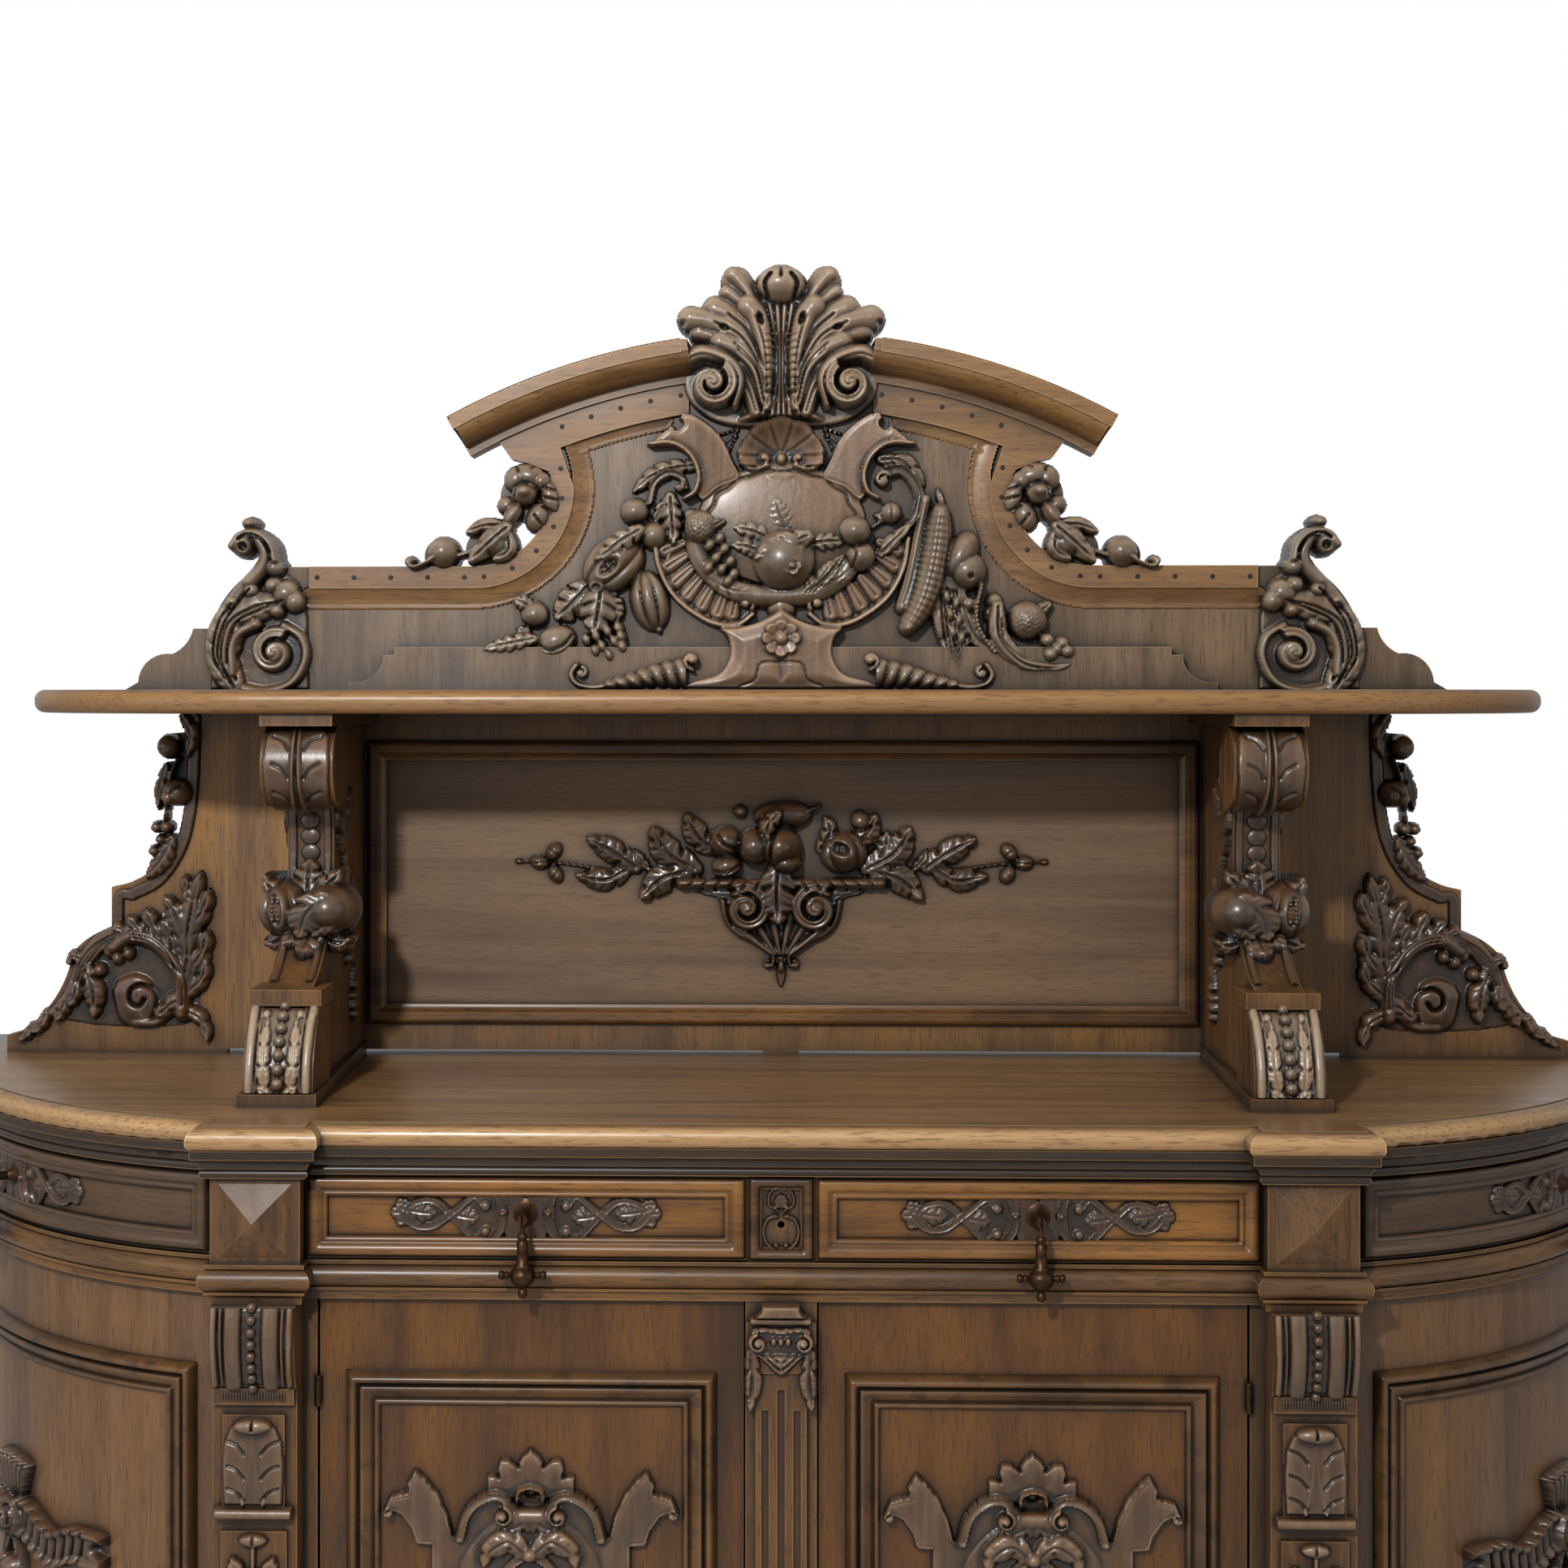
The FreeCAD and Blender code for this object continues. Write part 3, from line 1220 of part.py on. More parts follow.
def brackets():
    """Scrolled brackets between the worktop and the gallery shelf."""
    back, front = "gallery_face", "bracket_front"
    top = "(gallery_rise - abacus_height)"
    roll_d, roll_z = "(bracket_front - roll_back)", f"({top} - roll_radius + 1)"
    foot_top = "(foot_plinth + foot_height)"
    waist_z = f"({foot_top} + 0.44 * ({roll_z} - {foot_top}))"
    under = f"({roll_z} - roll_radius * 0.6)"
    under_d = f"({roll_d} - roll_radius * 0.55)"
    profile = [
        (f"-{back}", "foot_plinth"),
        (f"-{back}", top),
        (f"-{roll_d}", top),
        (f"-{roll_d}", roll_z),
        (f"-{under_d}", under, "gallery_rise * 0.5", -1),
        ("-bracket_waist", waist_z, "gallery_rise * 0.42", -1),
        ("-(foot_front - 60)", foot_top),
        ("-(foot_front - 60)", "foot_plinth"),
    ]
    web = new_body("BracketWeb", "pilaster_x", "0", "base_height")
    pad(web, new_sketch(web, "YZ_Plane", profile), "bracket_thick", midplane=True)
    foot = new_body("BracketFoot", "pilaster_x", "0", "base_height")
    foot_profile = [
        ("-(foot_front - 100)", "foot_plinth"),
        ("-(foot_front - 100)", f"{foot_top} - foot_block"),
        ("-(foot_front - 48)", f"{foot_top} - foot_block", "foot_height", 1),
        ("-foot_front", "foot_plinth"),
    ]
    pad(foot, new_sketch(foot, "YZ_Plane", foot_profile), "foot_width", midplane=True)
    pieces = [web, foot]
    for name, width, depth, z, long, height in (
        ("Block", "foot_width + 4", "foot_front - 38", f"{foot_top} - foot_block", "70", "foot_block"),
        ("Abacus", "abacus_width", front, top, f"{front} - {back}", "abacus_height"),
    ):
        pieces.append(board(
            "Bracket" + name, f"pilaster_x - ({width}) / 2", depth, f"base_height + {z}",
            width, long, height,
        ))
    roll = new_body("BracketRoll", "pilaster_x", "0", "base_height")
    sketch = new_sketch(roll, "YZ_Plane")
    add_circle(sketch, f"-{roll_d}", roll_z, "roll_radius")
    pad(roll, sketch, "abacus_width", midplane=True)
    plinth = floor_plan("BracketPlinth", "base_height", "foot_plinth", [
        ("foot_plinth_width / 2", "-(foot_front + 9)"),
        ("bracket_thick / 2 + 2", f"-{back}"),
        ("-(bracket_thick / 2 + 2)", f"-{back}"),
        ("-foot_plinth_width / 2", "-(foot_front + 9)"),
    ], x="pilaster_x")
    pieces += [roll, plinth]
    for i, side in enumerate((-1, 1)):
        fruit = doc.addObject("Part::Sphere", f"BracketFruit{i}")
        bind(fruit, "Radius", "fruit_radius")
        place(
            fruit, f"pilaster_x + {side} * fruit_radius * 0.86",
            "wall_y - bracket_waist - fruit_radius * 0.9", f"base_height + {waist_z} - fruit_radius",
        )
        pieces.append(fruit)
    right = together("BracketRight", "MultiFuse", pieces)
    keep("brackets", together("Brackets", "Compound", [right, mirrored("BracketLeft", right)]))


def crest():
    """Arched crest board with its border, cornices and carving; heights from the gallery shelf."""
    neck_z = "(crest_sweep_z + sqrt(crest_sweep_radius ^ 2 - (crest_sweep_x - crest_neck_x) ^ 2))"
    arch_x = "(crest_neck_x + 65)"
    arch = "(arch_centre + sqrt(({0}) ^ 2 - ({1}) ^ 2))"
    shoulder = [
        ("crest_sweep_x", "crest_step", "crest_sweep_radius", -1),
        ("crest_neck_x", neck_z),
        ("crest_neck_x + 28", f"{neck_z} + 11"),
        ("crest_neck_x + 50", f"{neck_z} + 17"),
        (arch_x, arch.format("crest_arch_radius", arch_x), "crest_arch_radius", 1),
    ]
    outline = both_sides([
        ("0", "0"),
        ("crest_half", "0"),
        ("crest_half - 17", "10", "38", 1),
        ("crest_half - 61", "46", "46", -1),
        ("crest_half - 88", "crest_step / 2"),
        ("crest_half - 111", "crest_step / 2", "120", 1),
        ("volute_x + 12", "crest_step"),
    ] + shoulder + [("0", "crest_height")])
    pieces = [slab("CrestBoard", "crest_set", "crest_thick", outline, z="gallery_top")]
    for i, (along, up, share) in enumerate(((-0.67, -0.11, 1), (-0.16, -0.79, 0.8), (0.4, -0.87, 0.7))):
        bud = new_body(f"CrestBud{i}", "0", "crest_set", "gallery_top")
        sketch = new_sketch(bud, "XZ_Plane")
        add_circle(
            sketch, f"crest_sweep_x + {along} * crest_sweep_radius",
            f"crest_sweep_z + {up} * crest_sweep_radius", f"bud_radius * {share}",
        )
        pad(bud, sketch, "crest_thick")
        pieces += [bud, mirrored(bud.Name + "Left", bud)]
    keep("crest_board", together("CrestBoardWhole", "MultiFuse", pieces))

    inner_arch = "(crest_arch_radius - crest_border - 10)"
    inner_sweep = "(crest_sweep_radius + crest_border)"
    near = "(palmette_half + 1)"
    corner = "(crest_sweep_x - crest_sweep_radius - crest_border + 17)"
    border = [("volute_x - volute_radius - 4", "crest_step")] + shoulder + [
        (near, arch.format("crest_arch_radius", near)),
        (near, arch.format(inner_arch, near), inner_arch, -1),
        (corner, arch.format(inner_arch, corner)),
        (f"crest_sweep_x - {inner_sweep}", "crest_sweep_z", inner_sweep, 1),
        ("crest_sweep_x", "crest_step - crest_border"),
        ("volute_x - volute_radius - 4", "crest_step - crest_border"),
    ]
    band = slab("CrestBorder", "crest_face", "crest_border_rise", border, z="gallery_top")
    cornice = new_body("CrestCornice", "0", "0", "gallery_top + arch_centre", "cornice_start", (0, 1, 0))
    low = "crest_arch_radius"
    high = "(crest_arch_radius + cornice_height)"
    reach = "(crest_face + cornice_reach)"
    profile = [
        ("-crest_set", low),
        ("-crest_set", high),
        (f"-({reach} - 6)", high),
        (f"-{reach}", f"{high} - 6"),
        (f"-{reach}", f"{high} - cornice_height * 0.36", "cornice_reach * 0.9", -1),
        ("-(crest_face + 14)", f"{low} + cornice_height * 0.2"),
        ("-(crest_face + 14)", low),
    ]
    revolve(cornice, new_sketch(cornice, "YZ_Plane", profile), "H_Axis", "cornice_sweep")
    keep("crest_mouldings", together("CrestMouldings", "Compound", [
        band, mirrored("CrestBorderLeft", band), cornice, mirrored("CrestCorniceLeft", cornice),
    ]))

    base = both_sides([
        ("0", "0"),
        ("crest_base_half", "0"),
        ("crest_base_half", "10"),
        ("crest_base_half - 10", "10", "crest_base_height - 20", -1),
        ("crest_base_half + 10 - crest_base_height", "crest_base_height - 10"),
        ("crest_base_half - crest_base_height - 4", "crest_base_height - 10"),
        ("crest_base_half - crest_base_height - 4", "crest_base_height"),
        ("0", "crest_base_height"),
    ])
    keep("crest_plinth", slab("CrestPlinth", "crest_face", "crest_base_rise", base, z="gallery_top"))

    tall, wide = "(palmette_high - palmette_low)", "palmette_half"
    leaf = both_sides([
        ("0", "palmette_low"),
        (f"{wide} * 0.5", f"palmette_low + {tall} * 0.08"),
        (wide, f"palmette_low + {tall} * 0.28"),
        (wide, f"palmette_low + {tall} * 0.5"),
        (f"{wide} * 0.82", f"palmette_low + {tall} * 0.74"),
        (f"{wide} * 0.45", f"palmette_low + {tall} * 0.94"),
        ("0", "palmette_high"),
    ])
    keep("crest_palmette", slab("CrestPalmette", "crest_face", "palmette_rise", leaf, z="gallery_top"))

    tall, wide = "(shield_high - shield_low)", "shield_half"
    shield = both_sides([
        ("0", "shield_low"),
        (f"{wide} * 0.6", f"shield_low + {tall} * 0.06"),
        (f"{wide} * 0.75", f"shield_low + {tall} * 0.3"),
        (wide, f"shield_low + {tall} * 0.5"),
        (f"{wide} * 0.9", f"shield_low + {tall} * 0.8"),
        (f"{wide} * 0.5", "shield_high"),
        ("0", "shield_high"),
    ])
    carving = [slab("CrestShield", "crest_face", "shield_rise", shield, z="gallery_top")]
    for i, (out, up) in enumerate(((1.3, 1.0), (3.5, 1.8), (5.6, 3.2))):
        fruit = half_ball(
            f"CrestFruit{i}", "swag_fruit_radius", f"shield_half + {out} * swag_fruit_radius", "crest_face",
            f"gallery_top + crest_base_height + {up} * swag_fruit_radius",
        )
        carving += [fruit, mirrored(fruit.Name + "Left", fruit)]
    keep("crest_carving", together("CrestCarving", "Compound", carving))

    x, r, tall = "volute_x", "volute_radius", "volute_height"
    console = [
        (f"{x} - {r}", "0"),
        (f"{x} + {r}", "0"),
        (f"{x} + {r}", f"{r} * 1.3"),
        (f"{x} + {r} * 1.5", f"{tall} * 0.5"),
        (f"{x} + {r} * 1.65", f"{tall} * 0.75"),
        (f"{x} + {r} * 1.1", tall),
        (f"{x} + {r} * 0.3", f"{tall} * 0.88"),
        (f"{x} - {r} * 0.25", f"{tall} * 0.56"),
        (f"{x} - {r}", f"{r} * 1.2"),
    ]
    right = slab("CrestVolute", "crest_face", "volute_rise", console, z="gallery_top")
    keep("crest_volutes", together("CrestVolutes", "Compound", [right, mirrored("CrestVoluteLeft", right)]))


def main():
    carcass()
    inner_boards()
    pilasters()
    hinges_fixed(straight_door() + bow_door())
    drawers()
    gallery()
    crest()
    finish()


def finish():
    """Checks every object, then writes each sub-part's solids."""
    doc.recompute()
    bad = [o.Label for o in doc.Objects if "Invalid" in o.State or "Error" in o.State]
    if bad:
        raise RuntimeError(f"these objects failed: {bad}")
    os.makedirs("parts", exist_ok=True)
    for label, item in NODES.items():
        shape = item.Shape
        if shape.isNull() or not shape.isValid() or not shape.Solids:
            raise RuntimeError(f"{label} has no valid solid")
        shape.exportStep(os.path.join("parts", label + ".step"))
        box = shape.optimalBoundingBox(False, False)
        print(
            f"{label}: {len(shape.Solids)} solids, {shape.Volume / 1000:.1f} cm3, "
            f"x {box.XMin:.1f}..{box.XMax:.1f} y {box.YMin:.1f}..{box.YMax:.1f} "
            f"z {box.ZMin:.1f}..{box.ZMax:.1f}"
        )


main()
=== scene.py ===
"""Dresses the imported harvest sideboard: carved ornament, bronze fittings, wood finishes and a plain stage."""

import math

import bmesh
import bpy
import numpy as np
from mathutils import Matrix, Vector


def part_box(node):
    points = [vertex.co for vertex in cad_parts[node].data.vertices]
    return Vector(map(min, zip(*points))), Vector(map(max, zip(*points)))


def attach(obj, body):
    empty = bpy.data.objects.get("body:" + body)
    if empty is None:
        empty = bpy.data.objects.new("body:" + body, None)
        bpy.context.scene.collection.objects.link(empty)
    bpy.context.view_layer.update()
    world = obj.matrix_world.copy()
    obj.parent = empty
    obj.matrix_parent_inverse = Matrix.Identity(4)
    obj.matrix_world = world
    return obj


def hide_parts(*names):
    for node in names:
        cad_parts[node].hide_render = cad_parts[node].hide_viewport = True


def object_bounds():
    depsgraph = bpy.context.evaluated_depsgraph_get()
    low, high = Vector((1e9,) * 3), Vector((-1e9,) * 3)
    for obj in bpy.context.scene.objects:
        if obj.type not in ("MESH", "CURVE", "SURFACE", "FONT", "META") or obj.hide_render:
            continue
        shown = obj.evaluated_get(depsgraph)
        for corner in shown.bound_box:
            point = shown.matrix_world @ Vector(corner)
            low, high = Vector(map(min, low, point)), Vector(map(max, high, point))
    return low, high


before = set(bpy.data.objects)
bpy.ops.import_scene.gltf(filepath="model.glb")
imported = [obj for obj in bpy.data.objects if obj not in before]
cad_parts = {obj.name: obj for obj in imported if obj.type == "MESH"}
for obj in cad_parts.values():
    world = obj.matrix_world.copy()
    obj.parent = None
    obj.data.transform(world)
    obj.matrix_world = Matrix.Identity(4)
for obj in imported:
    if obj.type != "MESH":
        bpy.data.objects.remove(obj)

bl_info = {
    "name": "Harvest sideboard",
    "version": (1, 0, 0),
    "blender": (4, 5, 0),
    "location": "View3D > Sidebar > Sideboard",
    "description": "Carving, fittings, finishes and stage for a carved walnut sideboard",
    "category": "Object",
}

MM = 0.001
SIDES = ("left", "right")
CAD_BOX = [list(corner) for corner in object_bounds()]
WALL = round(CAD_BOX[1][1] / MM, 1)


def face(node):
    """How far the front of one of the frame's pieces stands from the wall, in millimetres."""
    return round(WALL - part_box(node)[0].y / MM, 1)


def middle(node):
    """The middle of one of the frame's pieces in X and Z, in millimetres."""
    low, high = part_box(node)
    return round((low.x + high.x) / 2 / MM, 1), round((low.z + high.z) / 2 / MM, 1)


CREST_FACE = face("crest_board")
CREST_PLINTH_FACE = face("crest_plinth")
PANEL_FACE = face("upper_back_panel")
DOOR_FACE = face("door_right")
DRAWER_FACE = face("drawer_right_front")
DOOR_X, DOOR_Z = middle("door_right")
DRAWER_X, DRAWER_Z = middle("drawer_right_front")
BOW_X = 480
BOW_ANGLE = 40
PILASTER_X = 558

# Heights of a relief in millimetres: the most a ground lies below its edge, and the least wood a cut leaves
OUTSIDE = -6.0
LEAST = 0.3
BACK = -1.5
# Painted shade and sheen field of a carving, from -1 in its cuts to 1 on its crests: its reach, its height and
# the tones of edges; cuts, the rim and the walls go dark for old polish and painted shade, crests go pale for
# rubbed wood and painted sheen
WEAR_AND_SHADE_REACH = 4.5
WEAR_AND_SHADE_HEIGHT = 3.0
CREST_WEAR_AND_SHEEN = 0.45
RIM_SHADE = -0.6
WALL_SHADE = -0.4
SOFT_CELLS = 0.55
CARVED_ANGLE = 62
TURNED_ANGLE = 50


# Carving kit: heights over a grid in millimetres, u across and v up


def smooth_line(points, count):
    """Points along a smooth curve through the given ones."""
    knots = np.array(points, float)
    if len(knots) == 2:
        steps = np.linspace(0, 1, count)[:, None]
        return knots[0] + (knots[1] - knots[0]) * steps
    padded = np.vstack([2 * knots[0] - knots[1], knots, 2 * knots[-1] - knots[-2]])
    made = []
    spans = len(knots) - 1
    for place in np.linspace(0, spans, count):
        i = min(int(place), spans - 1)
        t = place - i
        a, b, c, d = padded[i:i + 4]
        made.append(0.5 * (2 * b + (c - a) * t + (2 * a - 5 * b + 4 * c - d) * t * t
                           + (3 * b - a - 3 * c + d) * t ** 3))
    return np.array(made)


def blurred(heights, cells):
    """A Gaussian blur over the grid, its width in cells."""
    reach = max(1, int(round(3 * cells)))
    weights = np.exp(-0.5 * (np.arange(-reach, reach + 1) / cells) ** 2)
    weights /= weights.sum()
    for axis in (0, 1):
        pads = [(reach, reach) if i == axis else (0, 0) for i in (0, 1)]
        wide = np.pad(heights, pads, mode="edge")
        size = heights.shape[axis]
        heights = sum(w * np.take(wide, range(i, i + size), axis) for i, w in enumerate(weights))
    return heights


def ease(x):
    """A soft step from 0 to 1."""
    x = np.clip(x, 0, 1)
    return x * x * (3 - 2 * x)


def whole_cells(solid):
    """The grid cells with all four corners in the work, less those that touch only corner to corner."""
    cell = solid[:-1, :-1] & solid[1:, :-1] & solid[:-1, 1:] & solid[1:, 1:]
    while True:
        falling = cell[:-1, :-1] & cell[1:, 1:] & ~cell[1:, :-1] & ~cell[:-1, 1:]
        rising = cell[1:, :-1] & cell[:-1, 1:] & ~cell[:-1, :-1] & ~cell[1:, 1:]
        if not (falling.any() or rising.any()):
            return cell
        cell[:-1, :-1] &= ~falling
        cell[1:, :-1] &= ~rising


class Relief:
    """Carved work as heights above a ground; every cut and swelling is drawn in millimetres."""

    def __init__(self, low, high, grid):
        self.grid = grid
        self.us = np.arange(low[0], high[0] + grid / 2, grid)
        self.vs = np.arange(low[1], high[1] + grid / 2, grid)
        self.U, self.V = np.meshgrid(self.us, self.vs)
        self.H = np.full(self.U.shape, OUTSIDE)

    def window(self, low, high):
        """The rows and columns of the grid between two corners."""
        cols = slice(*np.searchsorted(self.us, (low[0], high[0])))
        rows = slice(*np.searchsorted(self.vs, (low[1], high[1])))
        return rows, cols

    def around(self, centre, reach, turn=0):
        """The window round a point, with coordinates turned by an angle in degrees."""
        win = self.window((centre[0] - reach, centre[1] - reach), (centre[0] + reach, centre[1] + reach))
        x, y = self.U[win] - centre[0], self.V[win] - centre[1]
        c, s = math.cos(math.radians(turn)), math.sin(math.radians(turn))
        return win, x * c + y * s, y * c - x * s

    def follow(self, points, reach):
        """The window along a curve: place along it from 0 to 1, signed distance across, length."""
        line = smooth_line(points, 8 * len(points))
        win = self.window(line.min(0) - reach, line.max(0) + reach)
        spot = np.stack([self.U[win].ravel(), self.V[win].ravel()], 1)
        start, step = line[:-1], np.diff(line, axis=0)
        size = np.hypot(step[:, 0], step[:, 1])
        length = size.sum()
        before = np.concatenate([[0], np.cumsum(size)[:-1]])
        away = spot[:, None] - start
        part = np.clip((away * step).sum(2) / size ** 2, 0, 1)
        gap = away - part[..., None] * step
        nearest = np.argmin((gap ** 2).sum(2), 1)
        pick = np.arange(len(spot)), nearest
        across = np.hypot(*gap[pick].T)
        side = step[nearest, 0] * away[pick][:, 1] - step[nearest, 1] * away[pick][:, 0]
        along = (before[nearest] + part[pick] * size[nearest]) / length
        shape = self.U[win].shape
        return win, along.reshape(shape), np.where(side < 0, -across, across).reshape(shape), length

    def lay(self, win, heights):
        """Keep whichever is higher, the work so far or these heights."""
        self.H[win] = np.maximum(self.H[win], np.maximum(heights, OUTSIDE))

    def cut(self, win, deep):
        """Take heights away from what is already there, down to the least wood."""
        self.H[win] = np.where(self.H[win] > 0, np.maximum(self.H[win] - deep, LEAST), self.H[win])

    def dome(self, centre, rx, ry=None, rise=10, lift=0, turn=0, power=0.5):
        """A round or oval swelling: a fruit, a bead or a bud."""
        ry = ry or rx
        win, x, y = self.around(centre, max(rx, ry) * 1.3 + 4, turn)
        r = np.hypot(x / rx, y / ry)
        inside = lift + rise * np.maximum(1 - r * r, 0) ** power
        self.lay(win, np.where(r < 1, inside, (1 - r) * min(rx, ry)))

    def ribbed_fruit(self, centre, rx, ry, rise, ribs, lift=0, turn=0):
        """A melon or gourd: lobes run from the stalk to the flower end."""
        win, x, y = self.around(centre, max(rx, ry) * 1.3 + 4, turn)
        r = np.hypot(x / rx, y / ry)
        lean = np.clip(x / (rx * np.sqrt(np.maximum(1 - (y / ry) ** 2, 0.02))), -1, 1)
        lobes = 0.76 + 0.24 * np.abs(np.cos(np.arcsin(lean) * ribs / 2)) ** 0.55
        inside = lift + rise * np.sqrt(np.maximum(1 - r * r, 0)) * lobes
        self.lay(win, np.where(r < 1, inside, (1 - r) * min(rx, ry)))

    def rough_fruit(self, centre, radius, rise, lift=0, bumps=6.2):
        """A knobbly fruit: a dome under a close skin of warts."""
        win, x, y = self.around(centre, radius * 1.3 + 4)
        r = np.hypot(x, y) / radius
        k = 2 * math.pi / bumps
        skin = np.sin(k * x + np.sin(k * y * 0.7)) * np.sin(k * y + np.sin(k * x * 0.6))
        inside = lift + (rise + 1.7 * skin) * np.sqrt(np.maximum(1 - r * r, 0))
        self.lay(win, np.where(r < 1, inside, (1 - r) * radius))

    def leaf(self, points, width, rise, lobes=4, lift=0, notch=0.32, curl=0.0, base=0.25, head=1.0):
        """An acanthus leaf on a spine: swept lobes with cuts between them and a hollow midrib."""
        win, t, s, length = self.follow(points, width * 1.4 + 3)
        belly = np.sin(math.pi * np.clip(base * 0.5 + (1 - base * 0.5) * t ** head, 0, 1)) ** 0.6
        phase = lobes * (t - 0.5 * np.abs(s) / length) + 0.5
        split = np.clip(1 - 2.0 * np.abs(np.sin(math.pi * phase)), 0, 1) ** 1.2
        half = width * np.maximum(belly * (1 - notch * split * (1 - 0.6 * t * t)), 0.02)
        q = np.clip(np.abs(s) / half, 0, 1)
        crown = np.sqrt(np.maximum(1 - q * q, 0))
        pillow = np.abs(np.sin(math.pi * phase)) ** 0.38
        body = rise * (0.45 + 0.55 * crown) * (0.78 + 0.22 * np.sin(math.pi * t)) + curl * ease(2.5 * t - 1.5)
        veins = 0.5 * rise * (1 - pillow) * ease(q * 1.8 - 0.35)
        veins += 0.28 * rise * np.exp(-(s / 1.3) ** 2) * ease(3 - 3 * t)
        fine = 0.14 * rise * ease((length / lobes - 14) / 10)
        veins += fine * (1 - np.abs(np.sin(3 * math.pi * phase))) ** 2 * ease(q * 2 - 0.3)
        self.lay(win, np.where(np.abs(s) < half, lift + body - veins, (half - np.abs(s)) * 0.9))

    def strap(self, points, width, rise, end_width=None, lift=0, form="round", ribs=0):
        """A strap or stem along a curve: round, flat, hollow between raised edges, a cove, or ribbed."""
        end_width = width if end_width is None else end_width
        win, t, s, length = self.follow(points, max(width, end_width) * 0.8 + 3)
        half = 0.5 * (width + (end_width - width) * t)
        if ribs:
            bulge = np.abs(np.cos(math.pi * (ribs * t + 0.25 * s / half))) ** 0.6
            half = half * (0.82 + 0.18 * bulge)
        q = np.clip(np.abs(s) / half, 0, 1)
        if form == "flat":
            body = rise * ease((1 - q) * half / 1.6)
        elif form == "hollow":
            body = rise * (0.62 + 0.38 * ease((q - 0.45) * 3)) * ease((1 - q) * half / 1.2)
        elif form == "cove":
            fall = 0.5 - 0.5 * s / half
            body = rise * (1 - np.clip(fall, 0, 1)) ** 1.7 + 1.8 * ease((fall - 0.84) * 12)
        else:
            body = rise * np.sqrt(np.maximum(1 - q * q, 0))
        if ribs:
            body = body * (0.62 + 0.38 * bulge)
        self.lay(win, np.where(np.abs(s) < half, lift + body, (half - np.abs(s)) * 0.9))

    def volute(self, centre, radius, rise, pitch, start=0, hand=1, lift=0, eye=0.0):
        """A rolled scroll: a strap wound inwards from the start angle, with a sunk line between turns."""
        win, x, y = self.around(centre, radius + 5)
        angle = np.mod(hand * (np.arctan2(y, x) - math.radians(start)), 2 * math.pi) / (2 * math.pi)
        r = np.hypot(x, y)
        edge = radius - pitch * angle
        phase = (radius - r) / pitch - angle
        d = np.abs(phase - np.round(phase)) * pitch
        sunk = np.where(r > pitch * 0.55, np.exp(-(d / (0.13 * pitch)) ** 2), 0)
        bow = 0.12 * rise * (1 - (2 * d / pitch - 0.5) ** 2 * 3)
        body = rise * (0.75 + 0.25 * (1 - r / radius)) + bow - 0.55 * rise * sunk
        body += eye * np.sqrt(np.maximum(1 - (r / (pitch * 0.6)) ** 2, 0))
        rim = ease((edge - r) / 1.8)
        self.lay(win, np.where(r < edge, lift + body * rim, edge - r))

    def rosette(self, centre, radius, petals, rise, lift=0):
        """A flower seen from the front: cupped petals round a domed middle."""
        win, x, y = self.around(centre, radius + 5)
        r, angle = np.hypot(x, y), np.arctan2(y, x)
        wave = np.abs(np.cos(angle * petals / 2))
        edge = radius * (0.8 + 0.2 * wave ** 0.6)
        q = r / edge
        body = rise * (0.45 + 0.55 * q ** 2) * ease((1 - q) * radius / 2.4) - 0.35 * rise * (1 - wave) ** 5
        self.lay(win, np.where(q < 1, lift + np.maximum(body, 0.5), edge - r))
        self.dome(centre, radius * 0.36, rise=rise * 0.95, lift=lift + 1)

    def shell(self, centre, radius, rise, flutes=9, lift=0, squash=0.92):
        """A scallop seen from inside: flutes fan from the hinge to a turned-over rim."""
        win, x, y = self.around(centre, radius + 6)
        y = y / squash
        r, angle = np.hypot(x, y), np.arctan2(y, x)
        wave = np.abs(np.cos(angle * flutes / 2 + math.pi / 2 * (flutes % 2 == 0)))
        edge = radius * np.where(y > -0.25 * radius, 0.95 + 0.05 * wave, 0.0)
        q = r / np.maximum(edge, 0.1)
        body = rise * (0.1 + 0.9 * q ** 1.8) - 0.12 * rise * (1 - wave) ** 4
        lip = 2.4 * np.exp(-((q - 0.96) / 0.025) ** 2)
        self.lay(win, np.where(q < 1, lift + body + lip, (1 - q) * 4))

    def corn(self, points, width, rise, rows, lift=0):
        """A cob: kernels in rows along a swollen spine."""
        win, t, s, length = self.follow(points, width + 3)
        half = 0.5 * width * np.clip(np.sin(math.pi * (0.06 + 0.9 * t)), 0, 1) ** 0.35
        q = np.clip(s / half, -1, 1)
        around = np.arcsin(q) / math.pi + 0.5
        count = length / (width / rows * 1.5)
        seam = np.abs(np.sin(math.pi * rows * around)) * np.abs(np.sin(math.pi * count * t))
        body = rise * np.sqrt(np.maximum(1 - q * q, 0)) - 1.5 * (1 - ease(seam * 2.2))
        self.lay(win, np.where(np.abs(s) < half, lift + np.maximum(body, 0.4), half - np.abs(s)))

